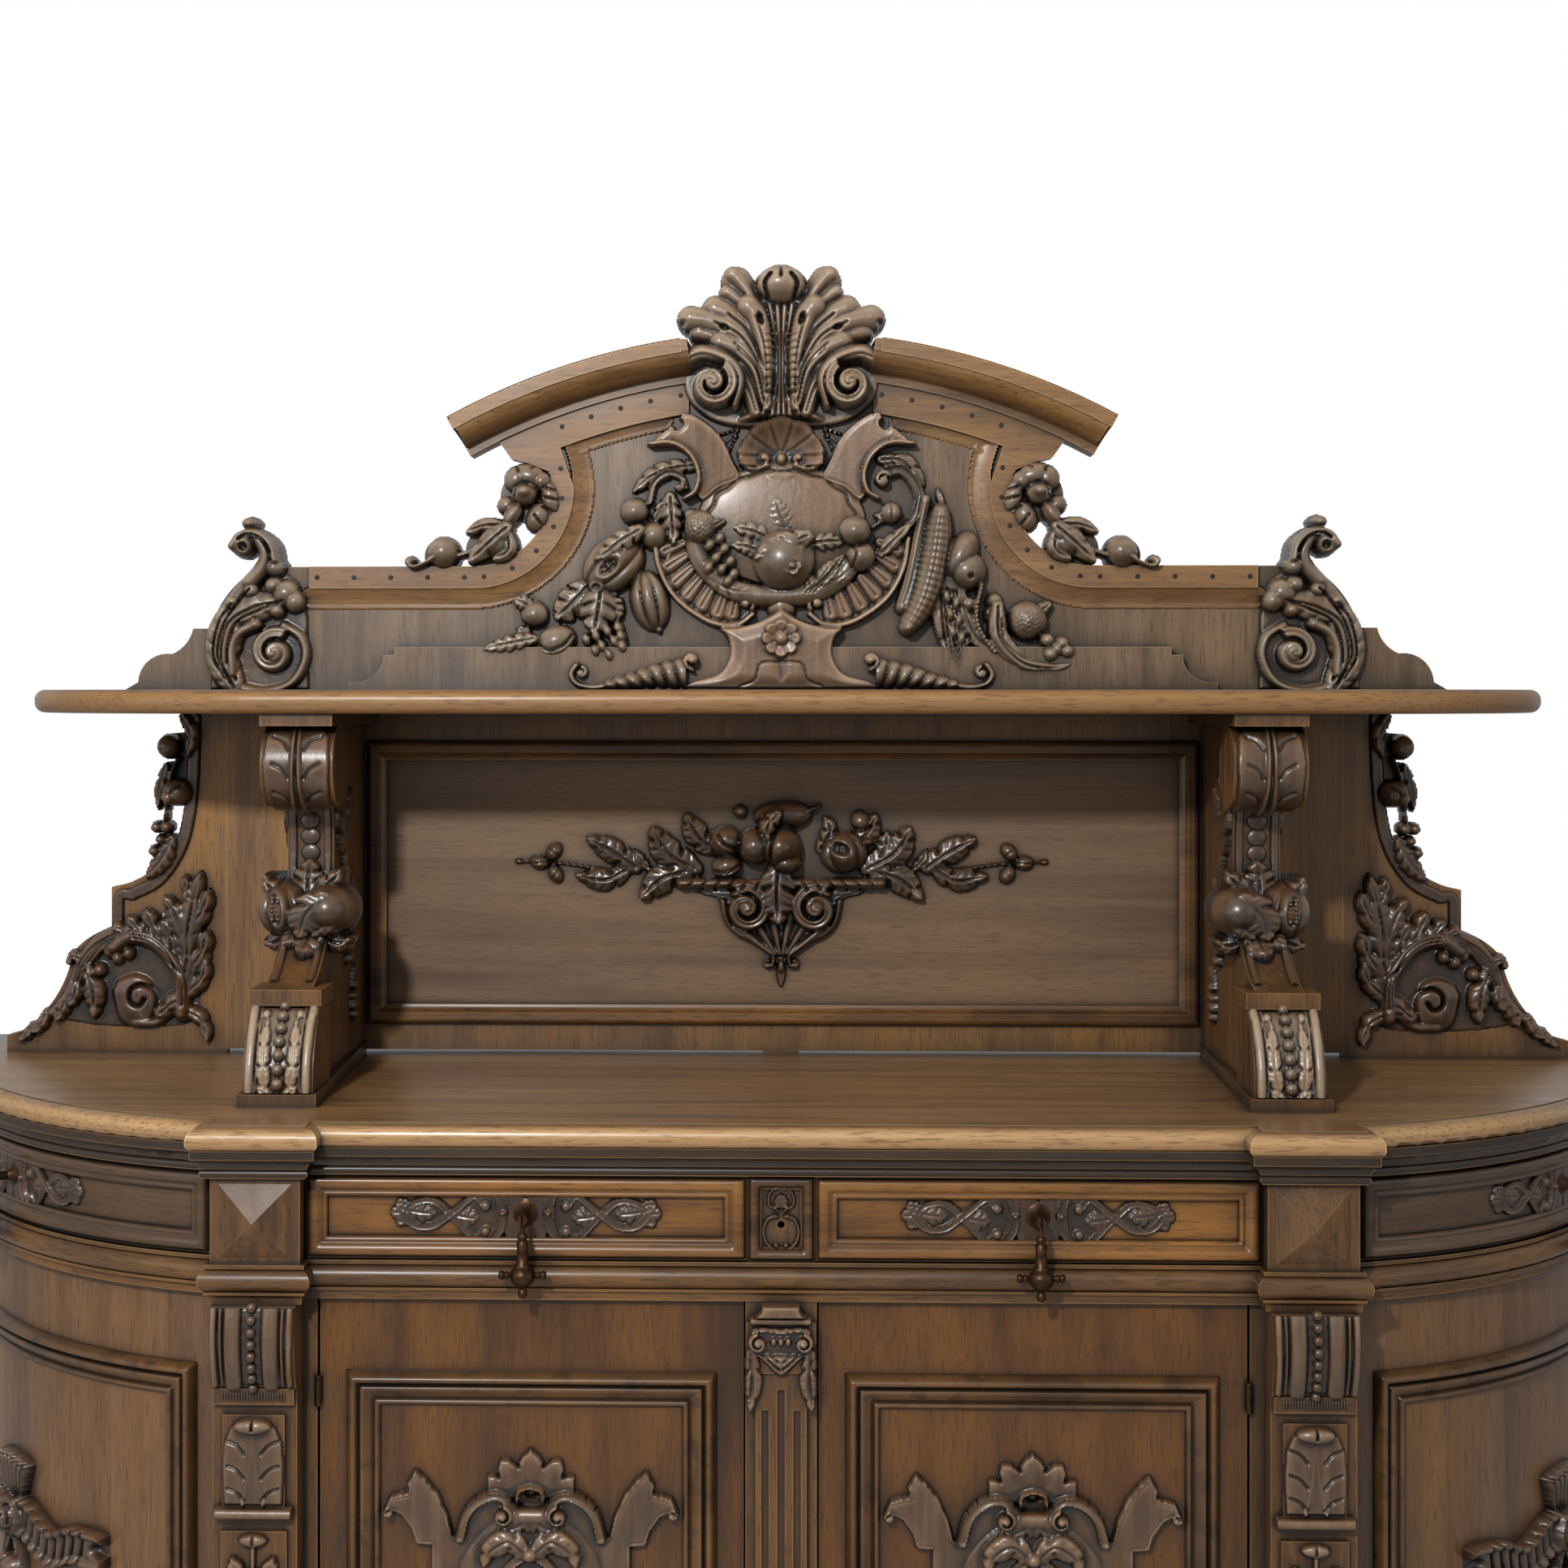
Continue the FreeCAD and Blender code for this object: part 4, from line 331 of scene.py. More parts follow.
    def plate(self, outline, rise, lift=0, edge=2.0, line=None, lean=(0, 0), swell=0.0):
        """A flat cartouche piece: its smooth outline, an engraved line inside it, a lean and a swell."""
        corner = np.array(outline, float)
        win = self.window(corner.min(0) - 5, corner.max(0) + 5)
        x, y = self.U[win], self.V[win]
        inside = np.zeros(x.shape, bool)
        gap = np.full(x.shape, 1e9)
        for (ax, ay), (bx, by) in zip(corner, np.roll(corner, -1, 0)):
            dx, dy = bx - ax, by - ay
            along = np.clip(((x - ax) * dx + (y - ay) * dy) / max(dx * dx + dy * dy, 1e-9), 0, 1)
            gap = np.minimum(gap, np.hypot(x - ax - along * dx, y - ay - along * dy))
            crosses = (ay > y) != (by > y)
            inside ^= crosses & (x < (bx - ax) * (y - ay) / np.where(crosses, by - ay, 1) + ax)
        middle = corner.mean(0)
        body = rise + lean[0] * (x - middle[0]) + lean[1] * (y - middle[1]) + swell * ease(gap / 22)
        body = lift + body * ease(0.35 + gap / edge * 0.65)
        if line:
            body -= 1.5 * np.exp(-((gap - line) / 0.9) ** 2)
        self.lay(win, np.where(inside, np.maximum(body, 0.4), -gap))

    def border(self, width, height, profile):
        """A moulding round a rectangle about the middle: heights against the distance in from its edge."""
        inside = np.minimum(width / 2 - np.abs(self.U), height / 2 - np.abs(self.V))
        steps, heights = zip(*profile)
        past = np.minimum(inside, steps[-1] - inside)
        self.lay(slice(None), np.where(past > 0, np.interp(inside, steps, heights), past))

    def groove(self, points, width, deep):
        """A cut line along a curve in what is already there."""
        win, t, s, length = self.follow(points, width * 2.5)
        self.cut(win, deep * np.exp(-(s / (0.5 * width)) ** 2))

    def pit(self, centre, rx, ry, deep, turn=0):
        """A hollow scooped out of what is already there."""
        win, x, y = self.around(centre, max(rx, ry) * 1.6, turn)
        self.cut(win, deep * np.exp(-2 * ((x / rx) ** 2 + (y / ry) ** 2) ** 2))

    def domes(self, spots, *size, **shape):
        """Like domes at many spots: berries, grapes, seeds."""
        for spot in spots:
            self.dome(spot, *size, **shape)

    def grooves(self, lines, width, deep):
        """Like cuts along many curves."""
        for line in lines:
            self.groove(line, width, deep)

    def fold(self):
        """Repeat the left half on the right: the grid must be even about u = 0."""
        half = self.H.shape[1] // 2
        self.H[:, -half:] = self.H[:, :half][:, ::-1]

    def mesh(self, name, place, back=BACK, flip=False):
        """The carved face, a wall round it and a flat back as a mesh; place takes and gives millimetres."""
        raised = np.maximum(self.H, 0)
        soft = np.where(self.H > 0, blurred(raised, SOFT_CELLS), self.H)
        rows, cols = np.nonzero(whole_cells(soft > 0))
        wide = self.U.shape[1]
        base = rows * wide + cols
        quads = np.stack([base, base + 1, base + wide + 1, base + wide], 1)
        if flip:
            quads = quads[:, ::-1]
        used, quads = np.unique(quads, return_inverse=True)
        quads = quads.reshape(-1, 4)
        edges = np.stack([quads, np.roll(quads, -1, 1)], 2).reshape(-1, 2)
        key = edges[:, 0] * len(used) + edges[:, 1]
        twin = edges[:, 1] * len(used) + edges[:, 0]
        rim = edges[~np.isin(key, twin)]
        edge = np.unique(rim)

        # The rim moves down its slope to where the work meets the ground, so the edge runs smooth
        u, v, h = (field.ravel()[used] for field in (self.U, self.V, soft))
        gv, gu, level = (field.ravel()[used][edge] for field in (*np.gradient(self.H, self.grid), self.H))
        steep = np.sqrt(np.maximum(gu * gu + gv * gv, 0.05))
        move = np.minimum(level / steep, self.grid * 0.95) / steep
        u[edge] -= gu * move
        v[edge] -= gv * move
        h[edge] = 0

        # painted shade and sheen: cuts, the rim and the walls get low values that render darker, crests high
        # values that render paler
        over = soft - blurred(raised, WEAR_AND_SHADE_REACH / self.grid)
        wear_and_shade = np.clip(over.ravel()[used] / WEAR_AND_SHADE_HEIGHT, -1, 1)
        wear_and_shade[wear_and_shade > 0] *= CREST_WEAR_AND_SHEEN
        wear_and_shade[edge] = RIM_SHADE
        low_of = np.full(len(used), -1)
        low_of[edge] = len(used) + np.arange(len(edge))
        wall = np.stack([rim[:, 1], rim[:, 0], low_of[rim[:, 0]], low_of[rim[:, 1]]], 1)
        u, v = np.append(u, u[edge]), np.append(v, v[edge])
        h, wear_and_shade = np.append(h, np.full(len(edge), back)), np.append(wear_and_shade, np.full(len(edge), WALL_SHADE))
        return carved_mesh(name, np.stack(place(u, v, h), 1) * MM, np.vstack([quads, wall]), wear_and_shade)


def carved_mesh(name, spots, quads, wear_and_shade):
    """A mesh of points and quads that keeps each point's field of painted shade and sheen; its back is filled
    where the rim lets it.
    """
    mesh = bpy.data.meshes.new(name)
    mesh.vertices.add(len(spots))
    mesh.vertices.foreach_set("co", spots.ravel())
    mesh.loops.add(quads.size)
    mesh.loops.foreach_set("vertex_index", quads.ravel())
    mesh.polygons.add(len(quads))
    mesh.polygons.foreach_set("loop_start", np.arange(0, quads.size, 4))
    mesh.update(calc_edges=True)
    mesh.attributes.new("wear_and_shade", "FLOAT", "POINT").data.foreach_set("value", wear_and_shade)
    turn_outward(mesh, lambda work: bmesh.ops.triangle_fill(
        work, use_beauty=False, edges=[edge for edge in work.edges if edge.is_boundary]))
    finish_mesh(mesh, CARVED_ANGLE)
    return mesh


def turn_outward(mesh, repair=None):
    """Turn every face of a closed mesh outwards, after a repair of its faces where one is given."""
    work = bmesh.new()
    work.from_mesh(mesh)
    if repair:
        repair(work)
    bmesh.ops.recalc_face_normals(work, faces=work.faces)
    work.to_mesh(mesh)
    work.free()


def finish_mesh(mesh, angle):
    """Shade a mesh smooth, with the edges sharper than the angle kept crisp."""
    mesh.polygons.foreach_set("use_smooth", np.ones(len(mesh.polygons), bool))
    mesh.set_sharp_from_angle(angle=math.radians(angle))
    mesh.update()


def on_plane(depth, side=1, x=0, z=0):
    """Ground on an upright plane that faces the room, at a depth from the wall."""
    return lambda u, v, h: (side * (u + x), WALL - depth - h, v + z)


def on_bow(radius, angle, side=1, z=0):
    """Ground wrapped round a bowed end: u runs round the bow from the angle, in degrees off X."""
    def place(u, v, h):
        turn = math.radians(angle) - u / radius
        return side * (BOW_X + (radius + h) * np.cos(turn)), WALL - (radius + h) * np.sin(turn), v + z
    return place


def add_piece(name, mesh, body, wood, instead=None):
    """A finished piece: given its finish, set to ride on a body and shown in place of a frame node."""
    piece = bpy.data.objects.new(name, mesh)
    bpy.context.scene.collection.objects.link(piece)
    mesh.materials.clear()
    mesh.materials.append(WOODS[wood])
    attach(piece, body)
    if instead:
        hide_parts(instead)


# Carved pieces of the crest

# The border's lines: an arch about the middle, a sweep at each side and a level run, all set with dots
ARCH_MIDDLE, ARCH_RADIUS = (0, 993), 798
SWEEP_MIDDLE, SWEEP_RADIUS = (391, 1679), 128
LEVEL_Z = 1551
DOT_INSET = 14


def round_line(centre, radius, degrees):
    """Points on a circle at the given angles."""
    turns = [math.radians(angle) for angle in degrees]
    return [(centre[0] + radius * math.cos(turn), centre[1] + radius * math.sin(turn)) for turn in turns]


def palmette_relief():
    """The leaf spray over the arch: a fluted trunk, tongues of leaf, a bud and a scroll at each foot."""
    work = Relief((-136.5, 1690), (136.5, 1962), 1.3)
    work.plate(smooth_line([(-0.5, 1883.5), (-70, 1887.5), (-105, 1867), (-119.5, 1842.5), (-121.5, 1801.5),
        (-105, 1775), (-70, 1758.5), (-0.5, 1752.5), (70, 1758.5), (105, 1775), (121.5, 1801.5),
        (119.5, 1842.5), (105, 1867), (70, 1887.5)], 90), 4, edge=3)
    work.plate(smooth_line([(-0.5, 1912.5), (-29, 1918.5), (-27, 1900), (-19, 1873.5), (-16, 1842.5),
        (-22, 1807.5), (-35.5, 1781), (-54, 1760.5), (-0.5, 1762.5), (53, 1760.5), (35.5, 1781),
        (22, 1807.5), (16, 1842.5), (19, 1873.5), (27, 1900), (29, 1918.5)], 96), 15, edge=7)
    for base, waist, crown in ((0, 0, 0), (-7.5, -4.5, -9.5), (-17, -8.5, -19), (-28, -13, -27)):
        work.groove([(base, 1762.5), (waist, 1812), (waist, 1853), (crown, 1908)], 2.6, 5)
    tongues = (
        ([(-21, 1863), (-29, 1894), (-41.5, 1920.5), (-56, 1937)], 12, 40, 17, 3),
        ([(-25, 1887.5), (-39.5, 1918.5), (-53, 1937), (-61, 1945)], 12, 24, 20, 5),
        ([(-29, 1881.5), (-45.5, 1904), (-62, 1918.5), (-68, 1922.5)], 12, 22, 20, 5),
        ([(-17, 1781), (-22, 1827), (-41.5, 1871.5), (-66, 1894), (-82.5, 1902)], 12, 37, 20, 6),
        ([(-19, 1777), (-26, 1824), (-49.5, 1865), (-82.5, 1883.5), (-113.5, 1890)], 12, 36, 22, 7),
        ([(-21, 1781), (-31.5, 1827), (-58, 1857), (-103, 1872.5)], 10, 28, 18, 7),
        ([(-17, 1801.5), (-21, 1853), (-31.5, 1890), (-41.5, 1904)], 12, 34, 23, 11),
        ([(-21, 1783), (-31.5, 1824), (-54, 1848.5), (-76.5, 1859)], 12, 33, 22, 11),
        ([(-31.5, 1771), (-39.5, 1795.5), (-48.5, 1814), (-52, 1824)], 16, 30, 20, 9),
    )
    for line, root, tip, rise, lift in tongues:
        work.strap(line, root, rise, end_width=tip, lift=lift)
    for line, root, tip, rise, lift in tongues[3:]:
        work.groove(line[:-1], 2.6, 5)
    work.pit((-125.5, 1881.5), 7, 5, 9, turn=30)
    work.pit((-97, 1912.5), 6, 5, 9, turn=60)
    work.pit((-26, 1887.5), 4, 9, 16, turn=15)
    work.pit((-71.5, 1877.5), 7, 4, 10, turn=-20)
    work.strap([(-23, 1768.5), (-14, 1812), (-14, 1853), (-23, 1887.5)], 6, 22, end_width=5, lift=5)
    for step in range(9):
        work.groove([(-18, 1795.5 + 9 * step), (-9.5, 1795.5 + 9 * step)], 2, 4)
    work.strap([(-121, 1837), (-97, 1845), (-65, 1833.5), (-51, 1810), (-58, 1778)], 30, 44, end_width=10)
    work.groove([(-118, 1835), (-96, 1841), (-66, 1828), (-56, 1807.5)], 2.4, 4)
    work.volute((-85.5, 1804.5), 36, 44, 17, start=60, hand=-1, lift=10, eye=4)
    work.dome((0, 1933), 33, 25, rise=32, lift=12)
    work.groove([(0, 1955.5), (0, 1939)], 3.5, 7)
    work.groove([(-16, 1914.5), (-20, 1931), (-13, 1943)], 4.5, 12)
    work.groove([(-31.5, 1931), (-25, 1946), (-13, 1953.5)], 3, 6)
    work.fold()
    return work


CORNICE_EDGE = [
    (826, 12), (832, 14), (836, 14), (836.5, 18), (838, 28), (841, 39), (846, 50), (852, 57), (857, 60),
    (858.4, 58.5), (858.6, 61.7), (877, 61.7),
]


def cornice_roll_relief():
    """The cornice's full round, run on behind the palmette, on the left half."""
    work = Relief((-420, 1716), (-84, 1874), 1.3)
    radius = np.hypot(work.U, work.V - ARCH_MIDDLE[1])
    angle = np.degrees(np.arctan2(-work.U, work.V - ARCH_MIDDLE[1]))
    past = np.minimum(np.minimum(radius - 826.2, 876.8 - radius), 14 * np.minimum(angle - 7.6, 28.4 - angle))
    work.lay(slice(None), np.where(past > 0, np.interp(radius, *zip(*CORNICE_EDGE)), past))
    return work


def cove_relief():
    """The hollow inside the crest's border: along the level, up the sweep and under the arch, left half."""
    width, under = 29, 3
    middle = width / 2 - under
    work = Relief((-620, 1500), (-110, 1800), 1.5)
    level = LEVEL_Z - middle
    sweep = round_line((-SWEEP_MIDDLE[0], SWEEP_MIDDLE[1]), SWEEP_RADIUS + middle, range(270, 388, 9))
    arch = round_line(ARCH_MIDDLE, ARCH_RADIUS - middle, range(109, 99, -2))
    for line in ([(-600, level), (-500, level), (-440, level)] + sweep, arch):
        work.strap(line, width, 7.6, form="cove")
    return work


def shield_relief():
    """The middle cartouche: domed shield, turned-back ears, shell, leaf collar and bell foot."""
    work = Relief((-172, 1420), (172, 1776), 1.4)
    centre = (0, 1631.5)
    work.dome(centre, 108, 78, rise=9, lift=9, power=0.6)
    work.plate([(-21, 1693), (0, 1707), (21, 1693), (0, 1678.5)], 15, edge=3)
    rim = []
    for step in range(-8, 9):
        turn = math.radians(90 - 11.5 * step)
        swing = 0.86 + (0.025 if step % 2 else -0.01)
        rim.append((108 * swing * math.cos(turn), centre[1] + 78 * swing * math.sin(turn)))
    work.groove(rim, 3.0, 3.6)
    work.plate(smooth_line([(-124.5, 1774), (-105, 1768.5), (-77.5, 1746), (-60, 1713.5), (-51, 1689),
        (-77.5, 1676.5), (-99, 1660), (-109, 1674.5), (-106, 1699), (-117.5, 1719.5), (-136, 1731),
        (-164.5, 1733), (-150, 1748), (-137, 1757.5), (-132, 1751.5), (-124.5, 1757.5), (-129.5, 1764.5)],
        68), 20, edge=3, line=5.5, lean=(-0.08, 0.06))
    work.strap([(-166.5, 1733), (-136, 1733), (-114.5, 1718.5), (-104, 1694), (-109, 1672.5),
        (-121.5, 1664)], 8, 28, form="flat")
    work.pit((-129.5, 1699), 14, 18, 16)
    work.shell((0, 1717.5), 55, 27, flutes=10, lift=3)
    work.strap([(-53, 1723.5), (-48.5, 1707), (-33.5, 1701), (-17, 1706)], 8, 17, lift=2)
    work.volute((-22, 1714.5), 10, 17, 6, start=-90, hand=1, lift=3)
    work.dome((0, 1713.5), 7, 9, rise=16, lift=3)
    for twig in ([(-52, 1756.5), (-68, 1748), (-80.5, 1746)], [(-54, 1750.5), (-66, 1740), (-74.5, 1732)],
                 [(-56, 1744), (-62, 1734), (-66, 1723.5)]):
        work.strap(twig, 5, 9)
    collar = [(-160.5, 1613), (-153.5, 1574), (-132, 1537), (-91, 1508.5), (-56, 1504), (-35.5, 1517.5)]
    work.plate(smooth_line(collar + [(-25, 1545), (-70, 1551.5), (-105, 1574), (-121.5, 1613)], 60), 7,
        edge=4)
    work.strap(collar, 9, 19, form="flat")
    for inner, outer in (
        ((-123.5, 1609), (-148, 1598.5)), ((-120.5, 1592.5), (-144, 1578)), ((-112.5, 1577), (-134, 1558.5)),
        ((-100, 1564.5), (-119.5, 1541)), ((-85.5, 1554.5), (-101, 1528)), ((-70, 1547), (-80.5, 1518.5)),
        ((-56, 1543), (-62, 1516.5)),
    ):
        work.strap([inner, outer], 13, 6, end_width=21, lift=7)
        work.groove([inner, outer], 2.2, 3)
    work.volute((-43.5, 1531), 14, 20, 8, start=-60, hand=1, lift=2)
    work.plate(smooth_line([(9.5, 1531), (-21, 1512.5), (-54, 1502), (-77.5, 1500), (-68, 1485.5),
        (-66, 1465), (-77.5, 1445.5), (-95, 1438.5), (-113.5, 1434.5), (-132, 1422)],
        40).tolist() + [(9.5, 1421)], 30, edge=3,
        swell=5)
    work.dome((0, 1526.5), 19, 26, rise=20, lift=4)
    work.groove([(-52, 1426), (-33.5, 1434.5), (-25, 1455), (0, 1457)], 2.0, 2.6)
    work.rosette((0, 1486.5), 25, 8, 9, lift=33)
    work.volute((-111.5, 1459), 16, 24, 9, start=-70, hand=-1, lift=22, eye=3)
    work.fold()
    return work


def horn_relief():
    """A ribbed horn that runs out to a small scroll along the crest plinth."""
    work = Relief((-282, 1420), (-118, 1476), 1.3)
    work.strap([(-123.5, 1442.5), (-157.5, 1439.5), (-188, 1432.5), (-216, 1428.5)], 42, 19, end_width=16,
        ribs=6)
    work.strap([(-212, 1428.5), (-236.5, 1425), (-257, 1429.5), (-264, 1441.5), (-258, 1453)], 10, 12,
        end_width=9)
    work.volute((-252, 1443.5), 12, 13, 7, start=95, hand=-1)
    return work


def left_swag_relief():
    """Fruit and leaves that fall from the shield's left ear to the plinth."""
    work = Relief((-388, 1454), (-92, 1724), 1.35)
    work.leaf([(-109, 1707), (-144, 1701), (-168.5, 1689), (-189, 1670.5)], 13, 12, lobes=5, lift=3)
    work.leaf([(-143, 1666), (-154.5, 1647.5), (-160.5, 1629.5)], 9, 12, lobes=3, lift=4)
    work.strap([(-166.5, 1660), (-160.5, 1682.5), (-144, 1696), (-126.5, 1691), (-121.5, 1678.5)], 11, 18,
        lift=3, form="hollow")
    work.volute((-129.5, 1678.5), 11, 17, 7, start=60, hand=-1, lift=4)
    work.leaf([(-140, 1666), (-138, 1637.5), (-135, 1604.5)], 15, 14, lobes=4, lift=6, curl=5)
    work.strap([(-177, 1637.5), (-160.5, 1627), (-140, 1609), (-144, 1586)], 10, 10, lift=2)
    work.dome((-185, 1647.5), 19, rise=27, lift=4)
    work.groove([(-202.5, 1640.5), (-192.5, 1631.5), (-176, 1632.5), (-166.5, 1641.5)], 2.2, 3)
    work.dome((-161.5, 1617), 19, rise=28, lift=4)
    work.groove([(-178, 1609), (-166.5, 1601.5), (-150, 1605.5), (-143, 1616)], 2.2, 3)
    work.ribbed_fruit((-212, 1581), 34, 45, 34, 7, lift=3, turn=-48)
    work.leaf([(-179, 1623), (-201.5, 1609), (-222, 1592.5), (-234.5, 1586)], 15, 12, lobes=4, lift=24)
    work.pit((-217, 1577), 9, 16, 12, turn=-48)
    work.domes([(-222, 1573), (-217, 1578), (-212, 1573), (-224, 1579), (-210.5, 1583), (-218, 1567.5),
        (-205.5, 1578), (-228, 1572)], 3.6, rise=6, lift=24)
    work.dome((-231.5, 1553.5), 13, 11, rise=20, lift=10)
    work.pit((-233.5, 1551.5), 6, 5, 10)
    work.ribbed_fruit((-166.5, 1535), 26, 40, 30, 9, lift=2, turn=12)
    work.dome((-154.5, 1498), 4.5, 6, rise=12, lift=3)
    work.leaf([(-244.5, 1553.5), (-263, 1533), (-287.5, 1510.5)], 23, 13, lobes=3, lift=4)
    work.leaf([(-222, 1543), (-212, 1526.5), (-205.5, 1508.5)], 16, 12, lobes=4, lift=8)
    work.leaf([(-316.5, 1526.5), (-328.5, 1533), (-340, 1536)], 12, 10, lobes=3, lift=10)
    work.leaf([(-228, 1545), (-231.5, 1518.5), (-236.5, 1491)], 24, 14, lobes=3, lift=13, curl=4)
    work.strap([(-241.5, 1547), (-250.5, 1533), (-252, 1518.5)], 6, 12, lift=6)
    work.dome((-312.5, 1517.5), 19, 18, rise=24, lift=2, turn=-20)
    work.dome((-285.5, 1483.5), 27, 21, rise=26, lift=8, turn=22)
    work.groove([(-306, 1478.5), (-292, 1471.5), (-275.5, 1477.5), (-263, 1492)], 3, 6)
    work.domes([(-245.5, 1485.5), (-233.5, 1490), (-219, 1496), (-205.5, 1500), (-226, 1477.5),
        (-210.5, 1483.5), (-200.5, 1476.5), (-234.5, 1471.5), (-217, 1466), (-202.5, 1490)], 7, 10, rise=15,
        lift=16, turn=18)
    work.leaf([(-312.5, 1486.5), (-337, 1481.5), (-357.5, 1477.5), (-378, 1472.5)], 12, 9, lobes=5, lift=22)
    work.leaf([(-316.5, 1484.5), (-326.5, 1496), (-337, 1500)], 9, 8, lobes=3, lift=12)
    return work


def middle_swag_relief():
    """Fruit piled on the lower half of the shield."""
    work = Relief((-122, 1526), (138, 1690), 1.3)
    work.strap([(-113.5, 1637.5), (-101, 1586), (-70, 1553.5), (-29, 1541), (32.5, 1543), (73.5, 1563.5),
        (96, 1596.5)], 30, 16, lift=10)
    work.rough_fruit((-103, 1627), 24, 27, lift=10)
    work.leaf([(-86.5, 1627), (-77.5, 1633.5), (-68, 1635.5)], 8, 20, lobes=1, lift=10, notch=0)
    work.leaf([(6.5, 1622), (-2.5, 1647.5), (-8.5, 1666)], 17, 5, lobes=5, lift=15, notch=0.5)
    work.leaf([(-11, 1609), (-33.5, 1621), (-62, 1627)], 14, 12, lobes=4, lift=16)
    work.leaf([(-19, 1592.5), (-43.5, 1602.5), (-65, 1604.5)], 13, 12, lobes=4, lift=16)
    work.leaf([(32.5, 1604.5), (57, 1609), (83.5, 1609)], 13, 12, lobes=4, lift=16)
    work.domes([(-77.5, 1613), (-89.5, 1604.5), (-71.5, 1599.5), (-81.5, 1588.5), (-64, 1584), (-74.5, 1574),
        (-91, 1576), (-60, 1567.5), (-67, 1558.5)], 7.5, 10, rise=16, lift=17, turn=-25)
    work.leaf([(-86.5, 1559.5), (-60, 1547), (-29, 1544)], 12, 9, lobes=4, lift=18)
    work.leaf([(32.5, 1615), (7.5, 1604.5), (-21, 1592.5), (-33.5, 1586)], 17, 10, lobes=4, lift=32)
    work.leaf([(-0.5, 1613), (16, 1600.5), (28, 1586)], 12, 9, lobes=3, lift=34)
    work.dome((3.5, 1585), 41, 40, rise=34, lift=14)
    work.rosette((14, 1577), 13, 5, 9, lift=40)
    work.leaf([(32.5, 1543), (55, 1563.5), (79.5, 1592.5)], 15, 13, lobes=2, lift=16, notch=0.1)
    for shift in (-5, 0, 5):
        work.groove([(36.5 + shift, 1545), (57 + shift, 1565.5), (75.5 + shift, 1588.5)], 1.8, 3)
    work.leaf([(55, 1549.5), (79.5, 1567.5), (94, 1584)], 11, 11, lobes=2, lift=16, notch=0.1)
    work.dome((100, 1590.5), 20, rise=26, lift=12)
    work.groove([(89.5, 1576), (94, 1592.5), (89.5, 1604.5)], 2.5, 4)
    work.dome((93, 1622), 21, rise=30, lift=14)
    work.groove([(73.5, 1617), (83.5, 1604.5), (102, 1604.5), (112.5, 1615)], 2.4, 4)
    return work


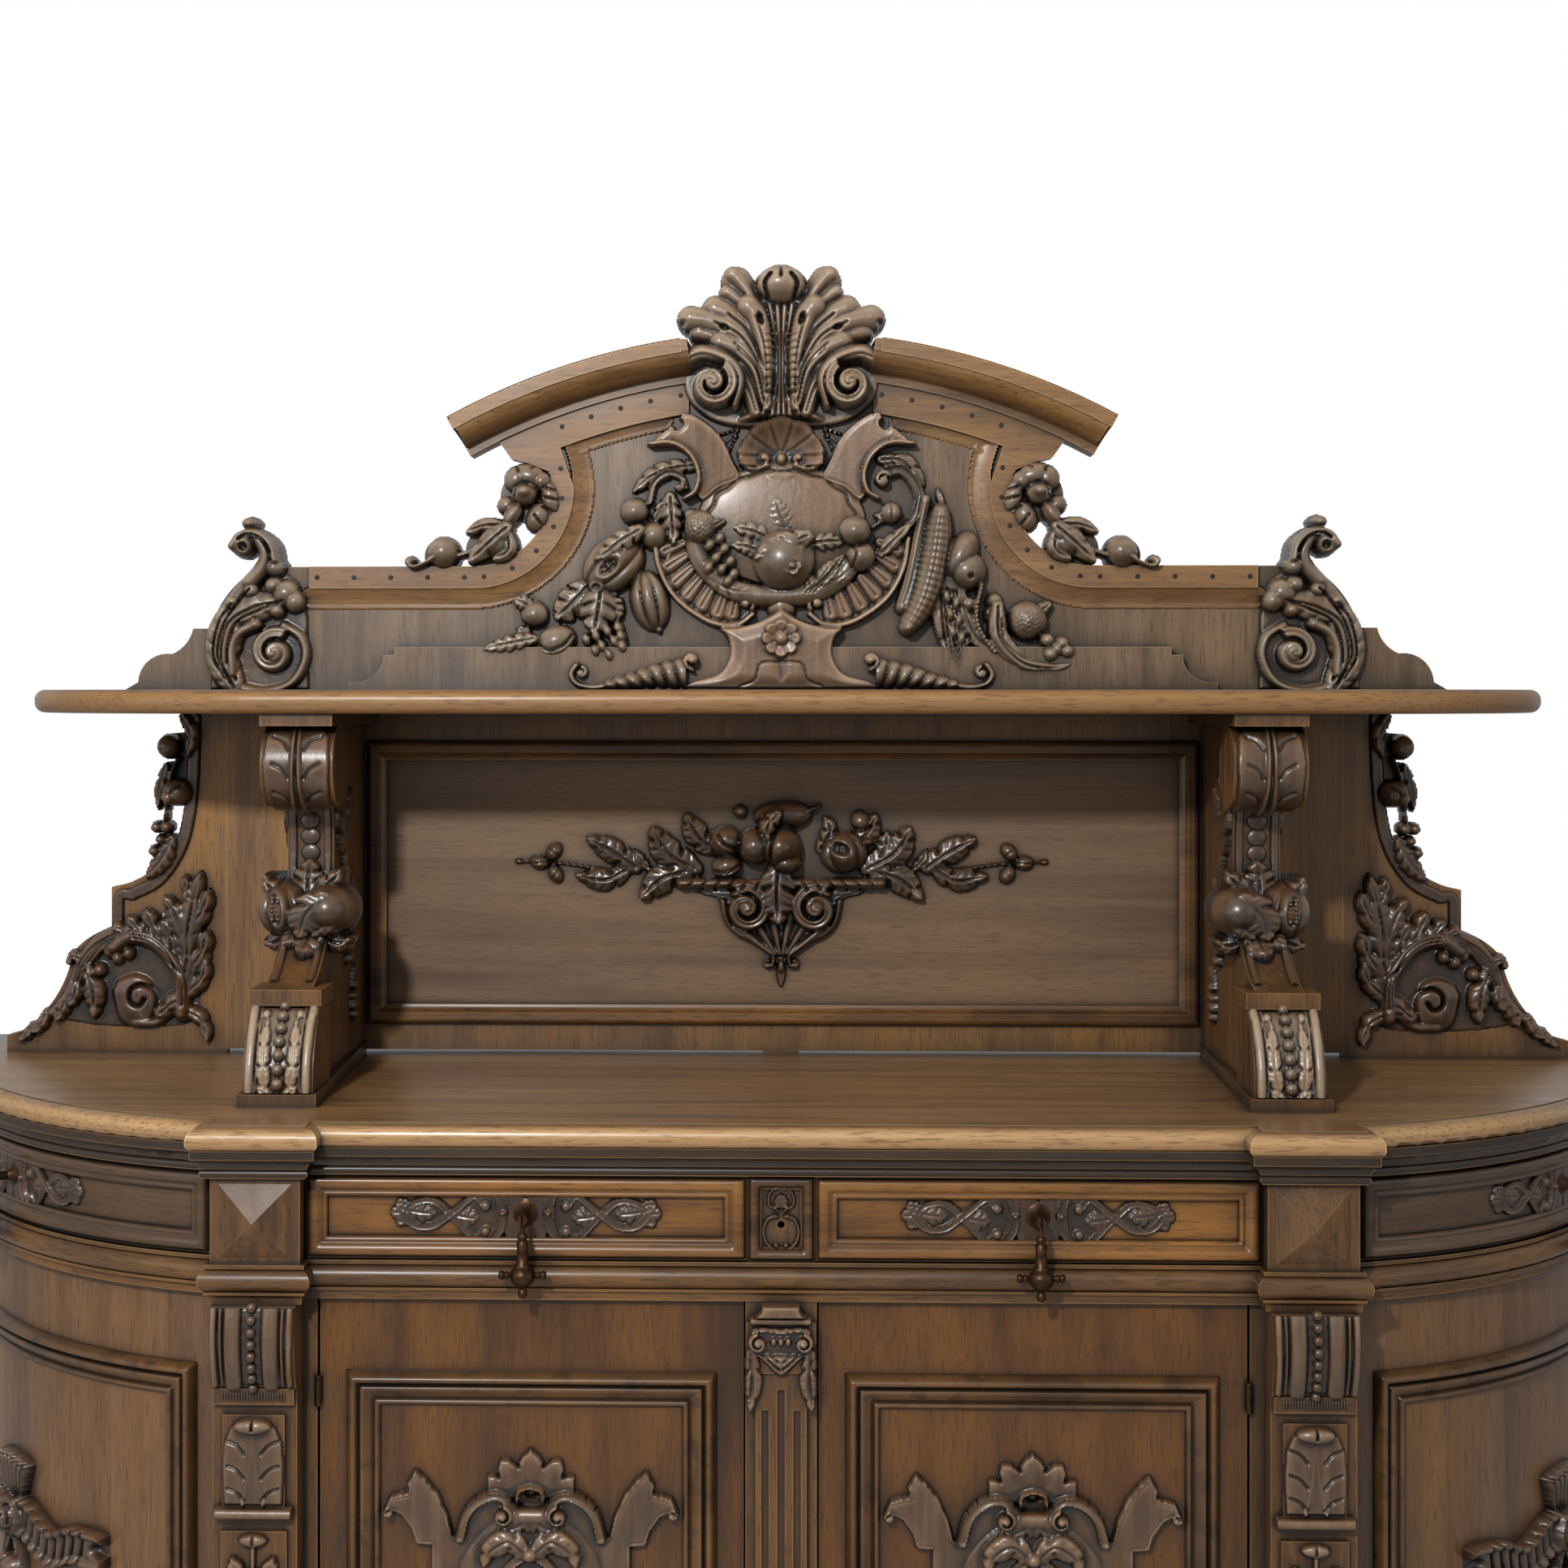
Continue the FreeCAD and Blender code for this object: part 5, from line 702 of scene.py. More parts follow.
def right_swag_relief():
    """Corn, pear, wheat and knobbly fruit that fall from the shield's right ear."""
    work = Relief((98, 1446), (372, 1722), 1.35)
    work.leaf([(126.5, 1713.5), (151.5, 1711.5), (169.5, 1691), (178, 1666)], 14, 12, lobes=3, lift=3,
        notch=0.2)
    work.strap([(133, 1697), (151.5, 1699), (167.5, 1682.5), (174, 1660), (163.5, 1635.5), (145, 1613),
        (126.5, 1594.5)], 16, 17, end_width=12, lift=5, form="hollow")
    work.volute((128.5, 1686.5), 15, 20, 8, start=40, hand=1, lift=4)
    work.dome((139, 1645.5), 14, 15, rise=22, lift=8)
    work.leaf([(139, 1656), (128.5, 1641.5), (116.5, 1643.5)], 9, 10, lobes=2, lift=8)
    work.groove([(139, 1660), (139, 1633.5)], 2.2, 4)
    work.strap([(114.5, 1627), (128.5, 1635.5), (143, 1637.5)], 7, 12, lift=3)
    work.leaf([(126.5, 1594.5), (145, 1613), (163.5, 1631.5)], 11, 16, lobes=1, lift=7, notch=0)
    work.strap([(182, 1662), (174, 1617), (163.5, 1563.5), (153.5, 1526.5)], 17, 20, end_width=22, lift=3)
    for shift in (-4, 2):
        work.groove([(182 + shift, 1656), (173 + shift, 1615), (161.5 + shift, 1559.5),
            (152.5 + shift, 1531)], 1.8, 2.5)
    work.corn([(200.5, 1645.5), (193.5, 1586), (180, 1537), (159.5, 1500)], 46, 34, 8, lift=4)
    work.leaf([(198.5, 1674.5), (202.5, 1656), (206.5, 1639.5)], 6, 12, lobes=1, lift=4, notch=0)
    work.dome((151.5, 1500), 4, 5, rise=10, lift=4)
    work.dome((233.5, 1572), 26, 27, rise=36, lift=3)
    work.dome((225, 1589.5), 21, 37, rise=34, lift=3, turn=-28)
    work.strap([(213, 1613), (206.5, 1625), (200.5, 1631.5)], 5, 9, lift=2)
    work.pit((237.5, 1564.5), 4, 4, 8)
    work.leaf([(208.5, 1549.5), (215, 1504), (225, 1440.5)], 25, 15, lobes=1, lift=14, notch=0, base=0.8)
    for shift in (-13, -8, -3, 2, 7, 12):
        work.groove([(210.5 + shift * 0.8, 1547), (217 + shift, 1498), (227 + shift * 0.9, 1444.5)], 2.2, 5)
    for side, drop in ((-6, 0), (5, 8), (-4, 22), (6, 30), (-3, 44), (7, 52)):
        work.dome((214 + side + drop * 0.1, 1539 - drop), 5, 9, rise=9, lift=22,
            turn=12 * (1 if side < 0 else -1))
    work.leaf([(227, 1533), (241.5, 1494), (266, 1467)], 13, 12, lobes=3, lift=14, notch=0.2)
    work.leaf([(270, 1504), (264, 1514.5), (260, 1526.5)], 9, 9, lobes=1, lift=10, notch=0)
    work.leaf([(272.5, 1526.5), (274.5, 1488), (301, 1457), (336, 1449), (366.5, 1455)], 15, 17, lobes=1,
        lift=14, notch=0)
    work.rough_fruit((236.5, 1530), 11, 17, lift=10, bumps=2.8)
    work.rough_fruit((269, 1533), 12, 15, lift=4, bumps=2.8)
    work.strap([(252, 1553.5), (245.5, 1522.5), (249.5, 1498), (268, 1469.5)], 8, 13, lift=18, ribs=16)
    work.groove([(276.5, 1510.5), (282.5, 1479.5), (309, 1461), (344, 1457)], 2.2, 4)
    work.rough_fruit((310, 1508.5), 26, 30, lift=6)
    work.leaf([(323.5, 1518.5), (333, 1526.5), (341, 1533)], 9, 15, lobes=1, lift=6, notch=0)
    work.domes([(334, 1484.5), (352.5, 1480.5), (358.5, 1470.5), (338, 1467), (346, 1473.5)], 10, rise=15,
        lift=20)
    return work


def console_relief():
    """The end scroll of the crest: a spiral under leaves, with a curled finial above."""
    work = Relief((-752, 1420), (-598, 1652), 1.3)
    work.plate(smooth_line([(-728.5, 1422), (-724.5, 1473.5), (-710, 1526.5), (-673, 1563.5), (-655, 1586),
        (-632, 1572), (-611.5, 1553.5), (-603.5, 1514.5), (-601.5, 1422)], 48), 6, edge=3)
    work.strap([(-702, 1426), (-722.5, 1461), (-714.5, 1504), (-689.5, 1543), (-667, 1567.5), (-654, 1586)],
        22, 15, end_width=24, lift=4)
    work.leaf([(-694, 1424), (-710, 1461), (-702, 1504), (-673, 1524.5), (-640.5, 1533), (-609.5, 1539)], 24,
        18, lobes=3, lift=7, notch=0.25)
    for spot, radius in (
        ((-630, 1544), 18), ((-618, 1534), 14), ((-644.5, 1554.5), 12), ((-672, 1548.5), 11),
        ((-696, 1533), 10), ((-639.5, 1522.5), 10),
    ):
        work.dome(spot, radius, rise=16, lift=12)
    work.grooves([[(-698, 1430.5), (-714.5, 1465), (-706, 1506), (-685.5, 1537), (-673, 1549.5)],
        [(-691.5, 1434.5), (-702, 1467), (-691.5, 1506), (-663, 1522.5), (-632, 1535)],
        [(-706, 1436.5), (-720.5, 1467), (-712, 1510.5),
        (-696, 1531)]], 2.6, 6)
    work.strap([(-696, 1442.5), (-697, 1473.5), (-687.5, 1494), (-667, 1505)], 12, 18, end_width=16, lift=8)
    work.strap([(-685.5, 1424), (-655, 1420), (-622, 1430.5), (-604.5, 1461), (-609.5, 1488), (-632, 1504)],
        13, 15, end_width=11, lift=4)
    work.strap([(-673, 1559.5), (-657, 1578), (-654, 1596.5), (-663, 1613)], 24, 22, end_width=20, lift=6)
    work.strap([(-640.5, 1586), (-646.5, 1606.5), (-665, 1620), (-683.5, 1618), (-695, 1604.5)], 12, 26,
        end_width=16, lift=8)
    work.dome((-667, 1505), 9, rise=19, lift=8)
    work.volute((-642.5, 1469.5), 36, 22, 18.5, start=60, hand=1, lift=6, eye=3)
    work.dome((-643.5, 1577), 14, 13, rise=20, lift=8)
    work.dome((-683.5, 1607.5), 17, 18, rise=28, lift=6)
    work.pit((-681.5, 1603.5), 6, 6, 12)
    work.groove([(-686.5, 1613), (-675.5, 1619), (-657, 1613), (-646.5, 1596.5)], 3, 8)
    work.dome((-675.5, 1633.5), 11, 9, rise=20, lift=6)
    return work


def spray_relief():
    """A rose, a seed pod and two buds on a curled stalk, in the hollow of the crest."""
    work = Relief((-488, 1566), (-278, 1716), 1.2)
    for spot, rx, ry, turn in (((-320.5, 1693), 25, 17, -10), ((-336, 1689), 16, 18, 0),
                               ((-293, 1666), 13, 23, 12), ((-309, 1641.5), 15, 21, -25),
                               ((-348, 1656), 13, 13, 0), ((-304, 1686.5), 14, 14, 0)):
        work.dome(spot, rx, ry, rise=16, lift=4, turn=turn)
    work.grooves([[(-300, 1678.5), (-285.5, 1674.5)], [(-300, 1666), (-281.5, 1662)],
        [(-302, 1654), (-285.5, 1645.5)], [(-316.5, 1703), (-308, 1709.5)], [(-333, 1699), (-335, 1707)],
        [(-312.5, 1643.5), (-302, 1629.5)]], 3, 5)
    work.dome((-324.5, 1670.5), 17, 16, rise=24, lift=8)
    work.dome((-324.5, 1672.5), 9, 8, rise=12, lift=26)
    work.groove([(-337, 1666), (-335, 1678.5), (-322.5, 1683.5), (-311, 1676.5)], 3, 7)
    work.ribbed_fruit((-340, 1643.5), 11, 19, 20, 5, lift=8, turn=-32)
    work.dome((-358.5, 1606.5), 23, 20, rise=22, lift=3, turn=20)
    work.leaf([(-347, 1627), (-366.5, 1610), (-396.5, 1582)], 15, 14, lobes=1, lift=14, notch=0)
    work.leaf([(-353.5, 1631.5), (-378, 1629.5), (-401.5, 1620)], 11, 14, lobes=1, lift=8, notch=0)
    work.leaf([(-346, 1623), (-345, 1598.5), (-365.5, 1586)], 11, 12, lobes=1, lift=12, notch=0)
    work.leaf([(-355.5, 1590.5), (-363.5, 1580), (-369.5, 1570)], 8, 8, lobes=1, lift=2, notch=0)
    work.strap([(-386, 1600.5), (-402.5, 1594.5), (-417, 1590.5)], 9, 12, lift=4)
    work.dome((-429, 1596.5), 21, 21, rise=26, lift=3)
    work.strap([(-431, 1600.5), (-436.5, 1592.5), (-451.5, 1583), (-467, 1578), (-474.5, 1585)], 8, 14,
        end_width=7, lift=12)
    work.dome((-471, 1585), 7.5, rise=17, lift=8)
    return work


# Carved pieces of the gallery

WING_FACE = 50
BRACKET_HALF = 27.5
BRACKET_FRUIT_FACE = 280


def wing_outline():
    """The left wing's edge in X and Z, from the toe up to the shelf and down the back frame."""
    edge = [(-708, 960), (-991, 960), (-991, 980), (-972, 985)]
    edge += arc((-972, 985), (-906, 1086), 151, -1) + arc((-906, 1086), (-856, 1118), 94.5, 1)
    edge += [(-856, 1170)] + arc((-856, 1170), (-757, 1284), 115, -1) + [(-757, 1394), (-708, 1394)]
    return edge


def arc(start, end, radius, side):
    """Points after the start along an arc to the end; side +1 bulges left of the way, -1 right."""
    (ax, ay), (bx, by) = start, end
    span = math.hypot(bx - ax, by - ay)
    rise = math.sqrt(max(radius ** 2 - span ** 2 / 4, 0))
    cx = (ax + bx) / 2 + side * rise * (by - ay) / span
    cy = (ay + by) / 2 - side * rise * (bx - ax) / span
    first, last = math.atan2(ay - cy, ax - cx), math.atan2(by - cy, bx - cx)
    sweep = (last - first + math.pi) % (2 * math.pi) - math.pi
    return [(cx + radius * math.cos(first + sweep * i / 12), cy + radius * math.sin(first + sweep * i / 12))
            for i in range(1, 13)]


def board_mesh(name, outline, back, place):
    """A sawn board: the outline as a flat face, with square edges down to the back."""
    count = len(outline)
    u, v = np.array(outline, float).T
    spots = np.vstack([np.stack(place(u, v, np.full(count, level)), 1) for level in (0.0, back)]) * MM
    faces = [list(range(count)), list(range(2 * count - 1, count - 1, -1))]
    faces += [[i, i + count, (i + 1) % count + count, (i + 1) % count] for i in range(count)]
    mesh = bpy.data.meshes.new(name)
    mesh.from_pydata(spots, [], faces)
    turn_outward(mesh, lambda work: bmesh.ops.triangulate(
        work, faces=[side for side in work.faces if len(side.verts) > 4]))
    return mesh


def wing_relief():
    """The wing's carving: a border, a fruit drop on it and an acanthus scroll in the toe."""
    work = Relief((-1004, 960), (-700, 1396), 1.5)
    work.strap([(-749, 1387), (-750, 1329.5), (-755, 1267.5), (-767.5, 1219), (-794, 1180), (-829, 1160.5)],
        17, 4.5, form="flat")
    work.strap([(-829, 1160.5), (-845.5, 1157.5), (-846.5, 1118.5)], 15, 4.5, form="flat")
    work.leaf([(-763, 1388), (-751, 1365.5), (-757, 1335.5)], 10, 9, lobes=3, lift=5)
    work.leaf([(-784, 1324.5), (-791, 1298.5), (-795, 1268.5)], 9, 8, lobes=2, lift=5)
    work.leaf([(-777.5, 1231.5), (-789, 1206), (-810.5, 1181)], 13, 8, lobes=5, lift=5)
    work.strap([(-769.5, 1334.5), (-777.5, 1314), (-782, 1283), (-786, 1252)], 7, 9, lift=4)
    work.dome((-780.5, 1350), 15, 16, rise=17, lift=8)
    work.dome((-770.5, 1291.5), 19, 18, rise=18, lift=7)
    work.groove([(-762, 1300.5), (-773.5, 1293.5), (-775.5, 1275)], 3, 5)
    work.dome((-778.5, 1285), 10, 11, rise=14, lift=13)
    for spot, radius in (((-796, 1247), 8), ((-783, 1247), 8.5), ((-791, 1231.5), 7), ((-799.5, 1217), 7.5)):
        work.dome(spot, radius, rise=10, lift=8)

    work.plate(smooth_line([(-932, 1002), (-901, 1055.5), (-885, 1082), (-845.5, 1113), (-779.5, 1138),
        (-749, 1113), (-744.5, 1010), (-794, 991.5), (-876.5, 993.5)], 60), 0.9, edge=1.2)
    work.strap([(-909.5, 1031), (-927, 1013), (-945.5, 998), (-972.5, 977)], 17, 10, end_width=8)
    work.strap([(-839.5, 1111), (-869.5, 1098.5), (-888, 1077), (-898, 1053.5), (-911.5, 1026.5)], 27, 12,
        end_width=18, lift=2)
    lobes = (
        ([(-891, 1072), (-876.5, 1039), (-875.5, 1003)], 14, 2, 5),
        ([(-899, 1047), (-900, 1033), (-907.5, 1018.5)], 10, 1, 5),
        ([(-913.5, 1028.5), (-917.5, 1012), (-926, 999)], 10, 1, 4),
        ([(-938.5, 1008), (-944.5, 993.5), (-955, 984.5)], 9, 1, 4),
        ([(-893, 1078), (-903.5, 1082), (-911.5, 1070)], 8, 1, 3),
        ([(-957, 991.5), (-963, 981.5), (-973.5, 975)], 8, 1, 4),
        ([(-788, 1094.5), (-800.5, 1121.5), (-810.5, 1144)], 15, 1, 5),
        ([(-808.5, 1103), (-823, 1121.5), (-833.5, 1134)], 13, 1, 5),
        ([(-771.5, 1082), (-779.5, 1111), (-788, 1129.5)], 13, 1, 5),
        ([(-827, 1105), (-841.5, 1117.5), (-852, 1117.5)], 11, 1, 5),
        ([(-759, 1047), (-755, 1082), (-753, 1123.5), (-738.5, 1191.5)], 18, 2, 6),
        ([(-755, 1086.5), (-769.5, 1134), (-786, 1160.5)], 16, 2, 6),
        ([(-751, 1113), (-734.5, 1144), (-728, 1169)], 13, 1, 6),
        ([(-755, 1061.5), (-736.5, 1088.5), (-730.5, 1117.5)], 14, 1, 5),
        ([(-757, 1035), (-736.5, 1055.5), (-730.5, 1078)], 12, 1, 5),
        ([(-747, 1144), (-757, 1169), (-759, 1187.5)], 11, 1, 6),
        ([(-790, 1010), (-771.5, 1024.5), (-755, 1022.5)], 13, 2, 6),
        ([(-761, 1014.5), (-738.5, 1002), (-729, 972)], 11, 1, 4),
    )
    for line, width, cuts, lift in lobes:
        work.leaf(line, width, 12, lobes=cuts, lift=lift, base=0.4, head=1.3, curl=2)
    work.strap([(-763, 1010), (-763, 1055.5), (-779.5, 1083.5), (-802.5, 1103), (-829, 1108),
        (-850, 1094.5)], 21, 18, end_width=22, lift=3)
    work.domes([(-845.5, 1080), (-832, 1086.5), (-856, 1088.5), (-868.5, 1064.5)], 8, 9, rise=11, lift=6)
    for shift in (-5, 0, 5):
        work.groove([(-761 + shift, 1020.5), (-763 + shift, 1055.5), (-779.5, 1081 - shift),
                     (-802.5, 1101 - shift), (-827, 1107 - shift)], 2.4, 4)
        work.groove([(-850, 1105 - shift), (-869.5 + shift, 1096.5), (-888 + shift, 1074),
            (-897 + shift, 1049.5)], 2.4, 4)
    work.strap([(-823, 998), (-798, 998), (-777.5, 1010)], 16, 10, end_width=10, lift=2)
    work.plate(smooth_line([(-837.5, 1056.5), (-823, 1059.5), (-806.5, 1052.5), (-798, 1035), (-797, 1014.5),
        (-806.5, 995.5), (-827, 991.5), (-841.5, 998), (-848.5, 1010), (-851, 1022.5), (-854, 1037),
        (-848.5, 1050.5)], 60), 9, edge=5, swell=4)
    work.groove([(-788, 1022.5), (-801.5, 1040), (-817, 1046), (-829, 1039), (-829, 1024.5), (-818, 1019.5),
        (-811.5, 1027.5)], 4.2, 10)
    return work


def spray_panel_relief():
    """The fruit spray on the gallery panel: buds, leaves, a gadrooned ledge, piled fruit and a drop."""
    work = Relief((-342, 1040), (342, 1300), 1.2)
    work.strap([(-101, 1193), (-169, 1194), (-231, 1195), (-283, 1201.5), (-334.5, 1203.5)], 6, 7,
        end_width=4)
    for spot, turn in (((-289, 1216), 130), ((-307.5, 1202.5), 5), ((-287, 1188), 60)):
        work.dome(spot, 13, 9.5, rise=12, lift=2, turn=-turn)
    work.grooves([[(-280.5, 1208.5), (-296, 1222)], [(-295, 1203.5), (-319, 1201.5)], [(-280.5, 1195),
        (-293, 1179.5)]], 1.8, 2.5)
    work.dome((-333.5, 1203.5), 6, 4, rise=6, lift=1)
    work.dome((0, 1071.5), 4, 9, rise=6, lift=7)
    work.leaf([(-195, 1194), (-223, 1180.5), (-262, 1187)], 15, 11, lobes=2, lift=2, curl=4, notch=0.28)
    work.leaf([(-184.5, 1197), (-212.5, 1216), (-247.5, 1234.5)], 17, 11, lobes=2, lift=3, curl=4, notch=0.28)
    work.leaf([(-109.5, 1195), (-144.5, 1216), (-165, 1249)], 21, 13, lobes=2, lift=3, curl=5, notch=0.3)
    work.leaf([(-115.5, 1193), (-150.5, 1182.5), (-179.5, 1156)], 20, 13, lobes=2, lift=3, curl=5, notch=0.3)
    work.leaf([(-84.5, 1220), (-105.5, 1236.5), (-122, 1265.5)], 18, 13, lobes=2, lift=4, curl=4, notch=0.28)
    work.leaf([(-169, 1196), (-179.5, 1207.5), (-186, 1220)], 8, 10, lobes=2, lift=3)
    work.leaf([(-128, 1203.5), (-146.5, 1226), (-144.5, 1242.5)], 9, 12, lobes=2, lift=3)
    work.plate(smooth_line([(-109.5, 1170.5), (-101, 1162), (-82.5, 1157), (-72, 1146.5), (-69, 1129),
        (-58, 1113.5), (-39, 1105.5), (-20.5, 1098), (-10.5, 1087), (-7, 1071.5), (-6, 1057), (0, 1043.5),
        (10.5, 1057), (10.5, 1102), (10.5, 1170.5)], 80), 7, edge=3, line=4)
    work.strap([(-73.5, 1154), (-68, 1129), (-53.5, 1112.5), (-25, 1100), (-10.5, 1085.5), (-11.5, 1071.5)],
        10, 15, end_width=6)
    work.volute((-16.5, 1073.5), 9, 10, 5, start=60, hand=1, lift=3)
    for line in ([(-55.5, 1121), (-35, 1105.5), (-12.5, 1088)], [(-33, 1129), (-20.5, 1108.5), (-7, 1088)],
                 [(-12.5, 1137.5), (-7, 1112.5), (-2, 1088)]):
        work.strap(line, 17, 12, end_width=7, lift=4)
    work.volute((-43.5, 1145.5), 38, 24, 17, start=120, hand=-1, lift=8, eye=5)
    work.strap([(-58, 1164), (-39, 1168.5), (-27, 1158)], 12, 24, lift=6)
    work.strap([(-126, 1177.5), (2, 1177.5)], 15, 17, lift=9, form="round")
    for step in range(7):
        work.groove([(-117.5 + 17 * step, 1170.5), (-109.5 + 17 * step, 1186)], 3, 5)
    work.fold()
    work.leaf([(-4, 1195), (-6, 1162), (-3, 1126)], 25, 16, lobes=2, lift=18, curl=6, notch=0.3)
    work.dome((-69, 1199), 20, 16, rise=24, lift=8, turn=15)
    work.groove([(-86.5, 1193), (-68, 1191), (-51.5, 1201.5)], 3, 6)
    work.dome((-70, 1230), 21, 21, rise=26, lift=9)
    work.groove([(-80.5, 1240.5), (-72, 1228), (-55.5, 1220)], 3.5, 6)
    work.dome((-33, 1224), 24, 25, rise=34, lift=8)
    work.dome((-1, 1224), 27, 27, rise=42, lift=10)
    work.groove([(-13.5, 1203.5), (-12.5, 1226), (-6, 1246.5)], 4, 8)
    work.dome((6, 1203.5), 20, 16, rise=36, lift=8)
    work.dome((2, 1263), 38, 19, rise=22, lift=6, turn=4)
    work.dome((-51.5, 1267.5), 9, rise=12, lift=3)
    work.strap([(32, 1267.5), (49.5, 1275.5)], 8, 16, end_width=5, lift=3)
    work.leaf([(-4, 1265.5), (-16.5, 1251), (-16.5, 1232.5)], 11, 14, lobes=2, lift=34)
    work.leaf([(49.5, 1220), (62, 1244.5), (53.5, 1263)], 12, 14, lobes=3, lift=6)
    work.ribbed_fruit((79.5, 1216), 31, 27, rise=28, ribs=5, lift=8, turn=15)
    work.pit((74.5, 1222), 13, 8, 13, turn=-20)
    for i in range(12):
        work.dome((66 + 6 * (i % 4), 1227 - 5 * (i // 4)), 3.4, rise=7, lift=18)
    work.dome((109.5, 1230), 8, 6, rise=18, lift=6)
    work.dome((101, 1255), 13, 15, rise=17, lift=5, turn=20)
    work.groove([(89, 1249), (101, 1244.5), (113.5, 1249)], 3, 5)
    work.strap([(97, 1240.5), (91, 1226)], 6, 12, lift=4)
    work.leaf([(119.5, 1205.5), (132, 1222), (134, 1244.5)], 14, 11, lobes=3, lift=4)
    return work


def on_path(points, side=1, x=0):
    """Ground bent along a side profile of depths and heights: u runs across, v falls from 0 along it."""
    line = np.array(points, float)
    run = np.concatenate([[0], np.cumsum(np.hypot(*np.diff(line, axis=0).T))])
    lean = np.gradient(line, run, axis=0)

    def place(u, v, h):
        depth, height, fall_d, fall_z = (
            np.interp(-v, run, column) for column in (line[:, 0], line[:, 1], lean[:, 0], lean[:, 1]))
        size = np.hypot(fall_d, fall_z)
        return side * (u + x), WALL - (depth - fall_z / size * h), height + fall_d / size * h
    return place


# A bracket's front in depths and heights: the roll under the shelf, the hollow web and the swelling foot
ROLL = round_line((298, 1333), 48, range(80, -86, -3))
WEB = [
    (266, 1286), (263.3, 1274), (261.4, 1264), (260.1, 1254), (259.3, 1244), (258.9, 1229), (259.6, 1214),
    (260.5, 1204), (261.9, 1194), (266.1, 1184), (272, 1172), (280, 1158), (289, 1146), (300.5, 1134),
    (310.9, 1124), (323.3, 1114), (338.1, 1104), (357.6, 1094), (372, 1088),
]
FOOT = [
    (400, 1064.5), (412.5, 1054), (421.8, 1044), (428.9, 1034), (434.5, 1024), (438.8, 1014), (442.1, 1004),
    (444.3, 994), (445.6, 984), (446, 975),
]
COIN_LINE = WEB[:6]
BEAD_LINE = FOOT[:-1]


def roll_relief():
    """The leaf folded over the bracket's roll: a double rib and three cut veins each side."""
    work = Relief((-41, -138), (41, -1), 1.2)
    work.plate([(-34, -138), (-37, -100), (-39, -60), (-36, -30), (-26, -12), (0, -3), (26, -12), (36, -30),
        (39, -60), (37, -100), (34, -138)], 5, edge=3)
    for x in (-3.2, 3.2):
        work.strap([(x * 0.6, -4), (x, -40), (x * 1.3, -90), (x * 2.2, -138)], 5, 10, end_width=7)
    for v in (-38, -70, -102):
        work.groove([(-9, v - 10), (-16, v), (-27, v + 6)], 3, 3.2)
        work.groove([(9, v - 10), (16, v), (27, v + 6)], 3, 3.2)
    return work


def web_relief():
    """The bracket's front between roll and block: a leaf over the fruit and leaves under it."""
    work = Relief((-30, -252), (30, -2), 1.2)
    for x in (-20.5, 20.5):
        work.strap([(x, -4), (x, -100)], 10, 4, form="flat")
        work.strap([(x, -150), (x, -250)], 9, 4, form="flat")
    work.leaf([(0, -118), (-1, -92), (2, -64)], 20, 9, lobes=4, lift=3, curl=4)
    work.leaf([(6, -150), (8, -176), (2, -206)], 18, 9, lobes=4, lift=3, curl=3)
    work.leaf([(10, -118), (15, -96), (22, -86)], 9, 9, lobes=3, lift=3)
    work.leaf([(-8, -150), (-12, -172), (-22, -186)], 14, 9, lobes=3, lift=3)
    return work


def foot_relief():
    """The bracket foot's face: raised side scrolls, torn leaves and the ground of the bead string."""
    work = Relief((-39, -116), (39, -1), 1.1)
    work.plate([(-38, -2), (38, -2), (38, -115), (-38, -115)], 1.2, edge=1)
    for sign in (-1, 1):
        work.strap([(sign * 33, -2), (sign * 31.5, -60), (sign * 32, -115)], 11, 6, form="round", lift=1)
        work.strap([(sign * 25, -4), (sign * 24, -60), (sign * 25, -113)], 3, 3.5, lift=1)
        work.leaf([(sign * 11, -112), (sign * 17, -70), (sign * 16, -20)], 8, 5, lobes=4, lift=1.5, notch=0.5)
        work.leaf([(sign * 4, -110), (sign * 13, -106), (sign * 22, -98)], 7, 6, lobes=3, lift=1.5)
        work.dome((sign * 19, -14), 5, 7, rise=5, lift=1.5)
    work.strap([(0, -4), (0, -112)], 5, 3.5, lift=1.2)
    return work


def bracket_fruit_relief():
    """The fruit on a bracket's waist: a split seed fruit, a clefted apple and the leaves that hold them."""
    work = Relief((-66, 1104), (66, 1222), 1.2)
    work.leaf([(-4, 1170), (-40, 1190), (-48, 1206)], 15, 16, lobes=3, lift=6)
    work.leaf([(10, 1180), (34, 1200), (44, 1212)], 13, 16, lobes=3, lift=6)
    work.leaf([(0, 1150), (-30, 1128), (-52, 1124)], 16, 16, lobes=3, lift=4)
    work.leaf([(2, 1150), (34, 1126), (56, 1130)], 16, 16, lobes=3, lift=4)
    work.leaf([(0, 1146), (2, 1124), (-2, 1106)], 16, 18, lobes=3, lift=4)
    work.ribbed_fruit((-26, 1163), 30, 33, rise=40, ribs=6, lift=4, turn=8)
    work.pit((-31, 1166), 8, 20, 15, turn=8)
    for i in range(12):
        work.dome((-34 + 5.5 * (i % 2), 1154 + 5 * (i // 2)), 3.4, rise=8, lift=30)
    work.dome((28, 1164), 33, 32, rise=44, lift=4)
    work.leaf([(24, 1176), (6, 1160), (-2, 1132)], 22, 9, lobes=2, lift=36)
    work.leaf([(40, 1172), (26, 1148), (12, 1134)], 13, 8, lobes=2, lift=34)
    return work


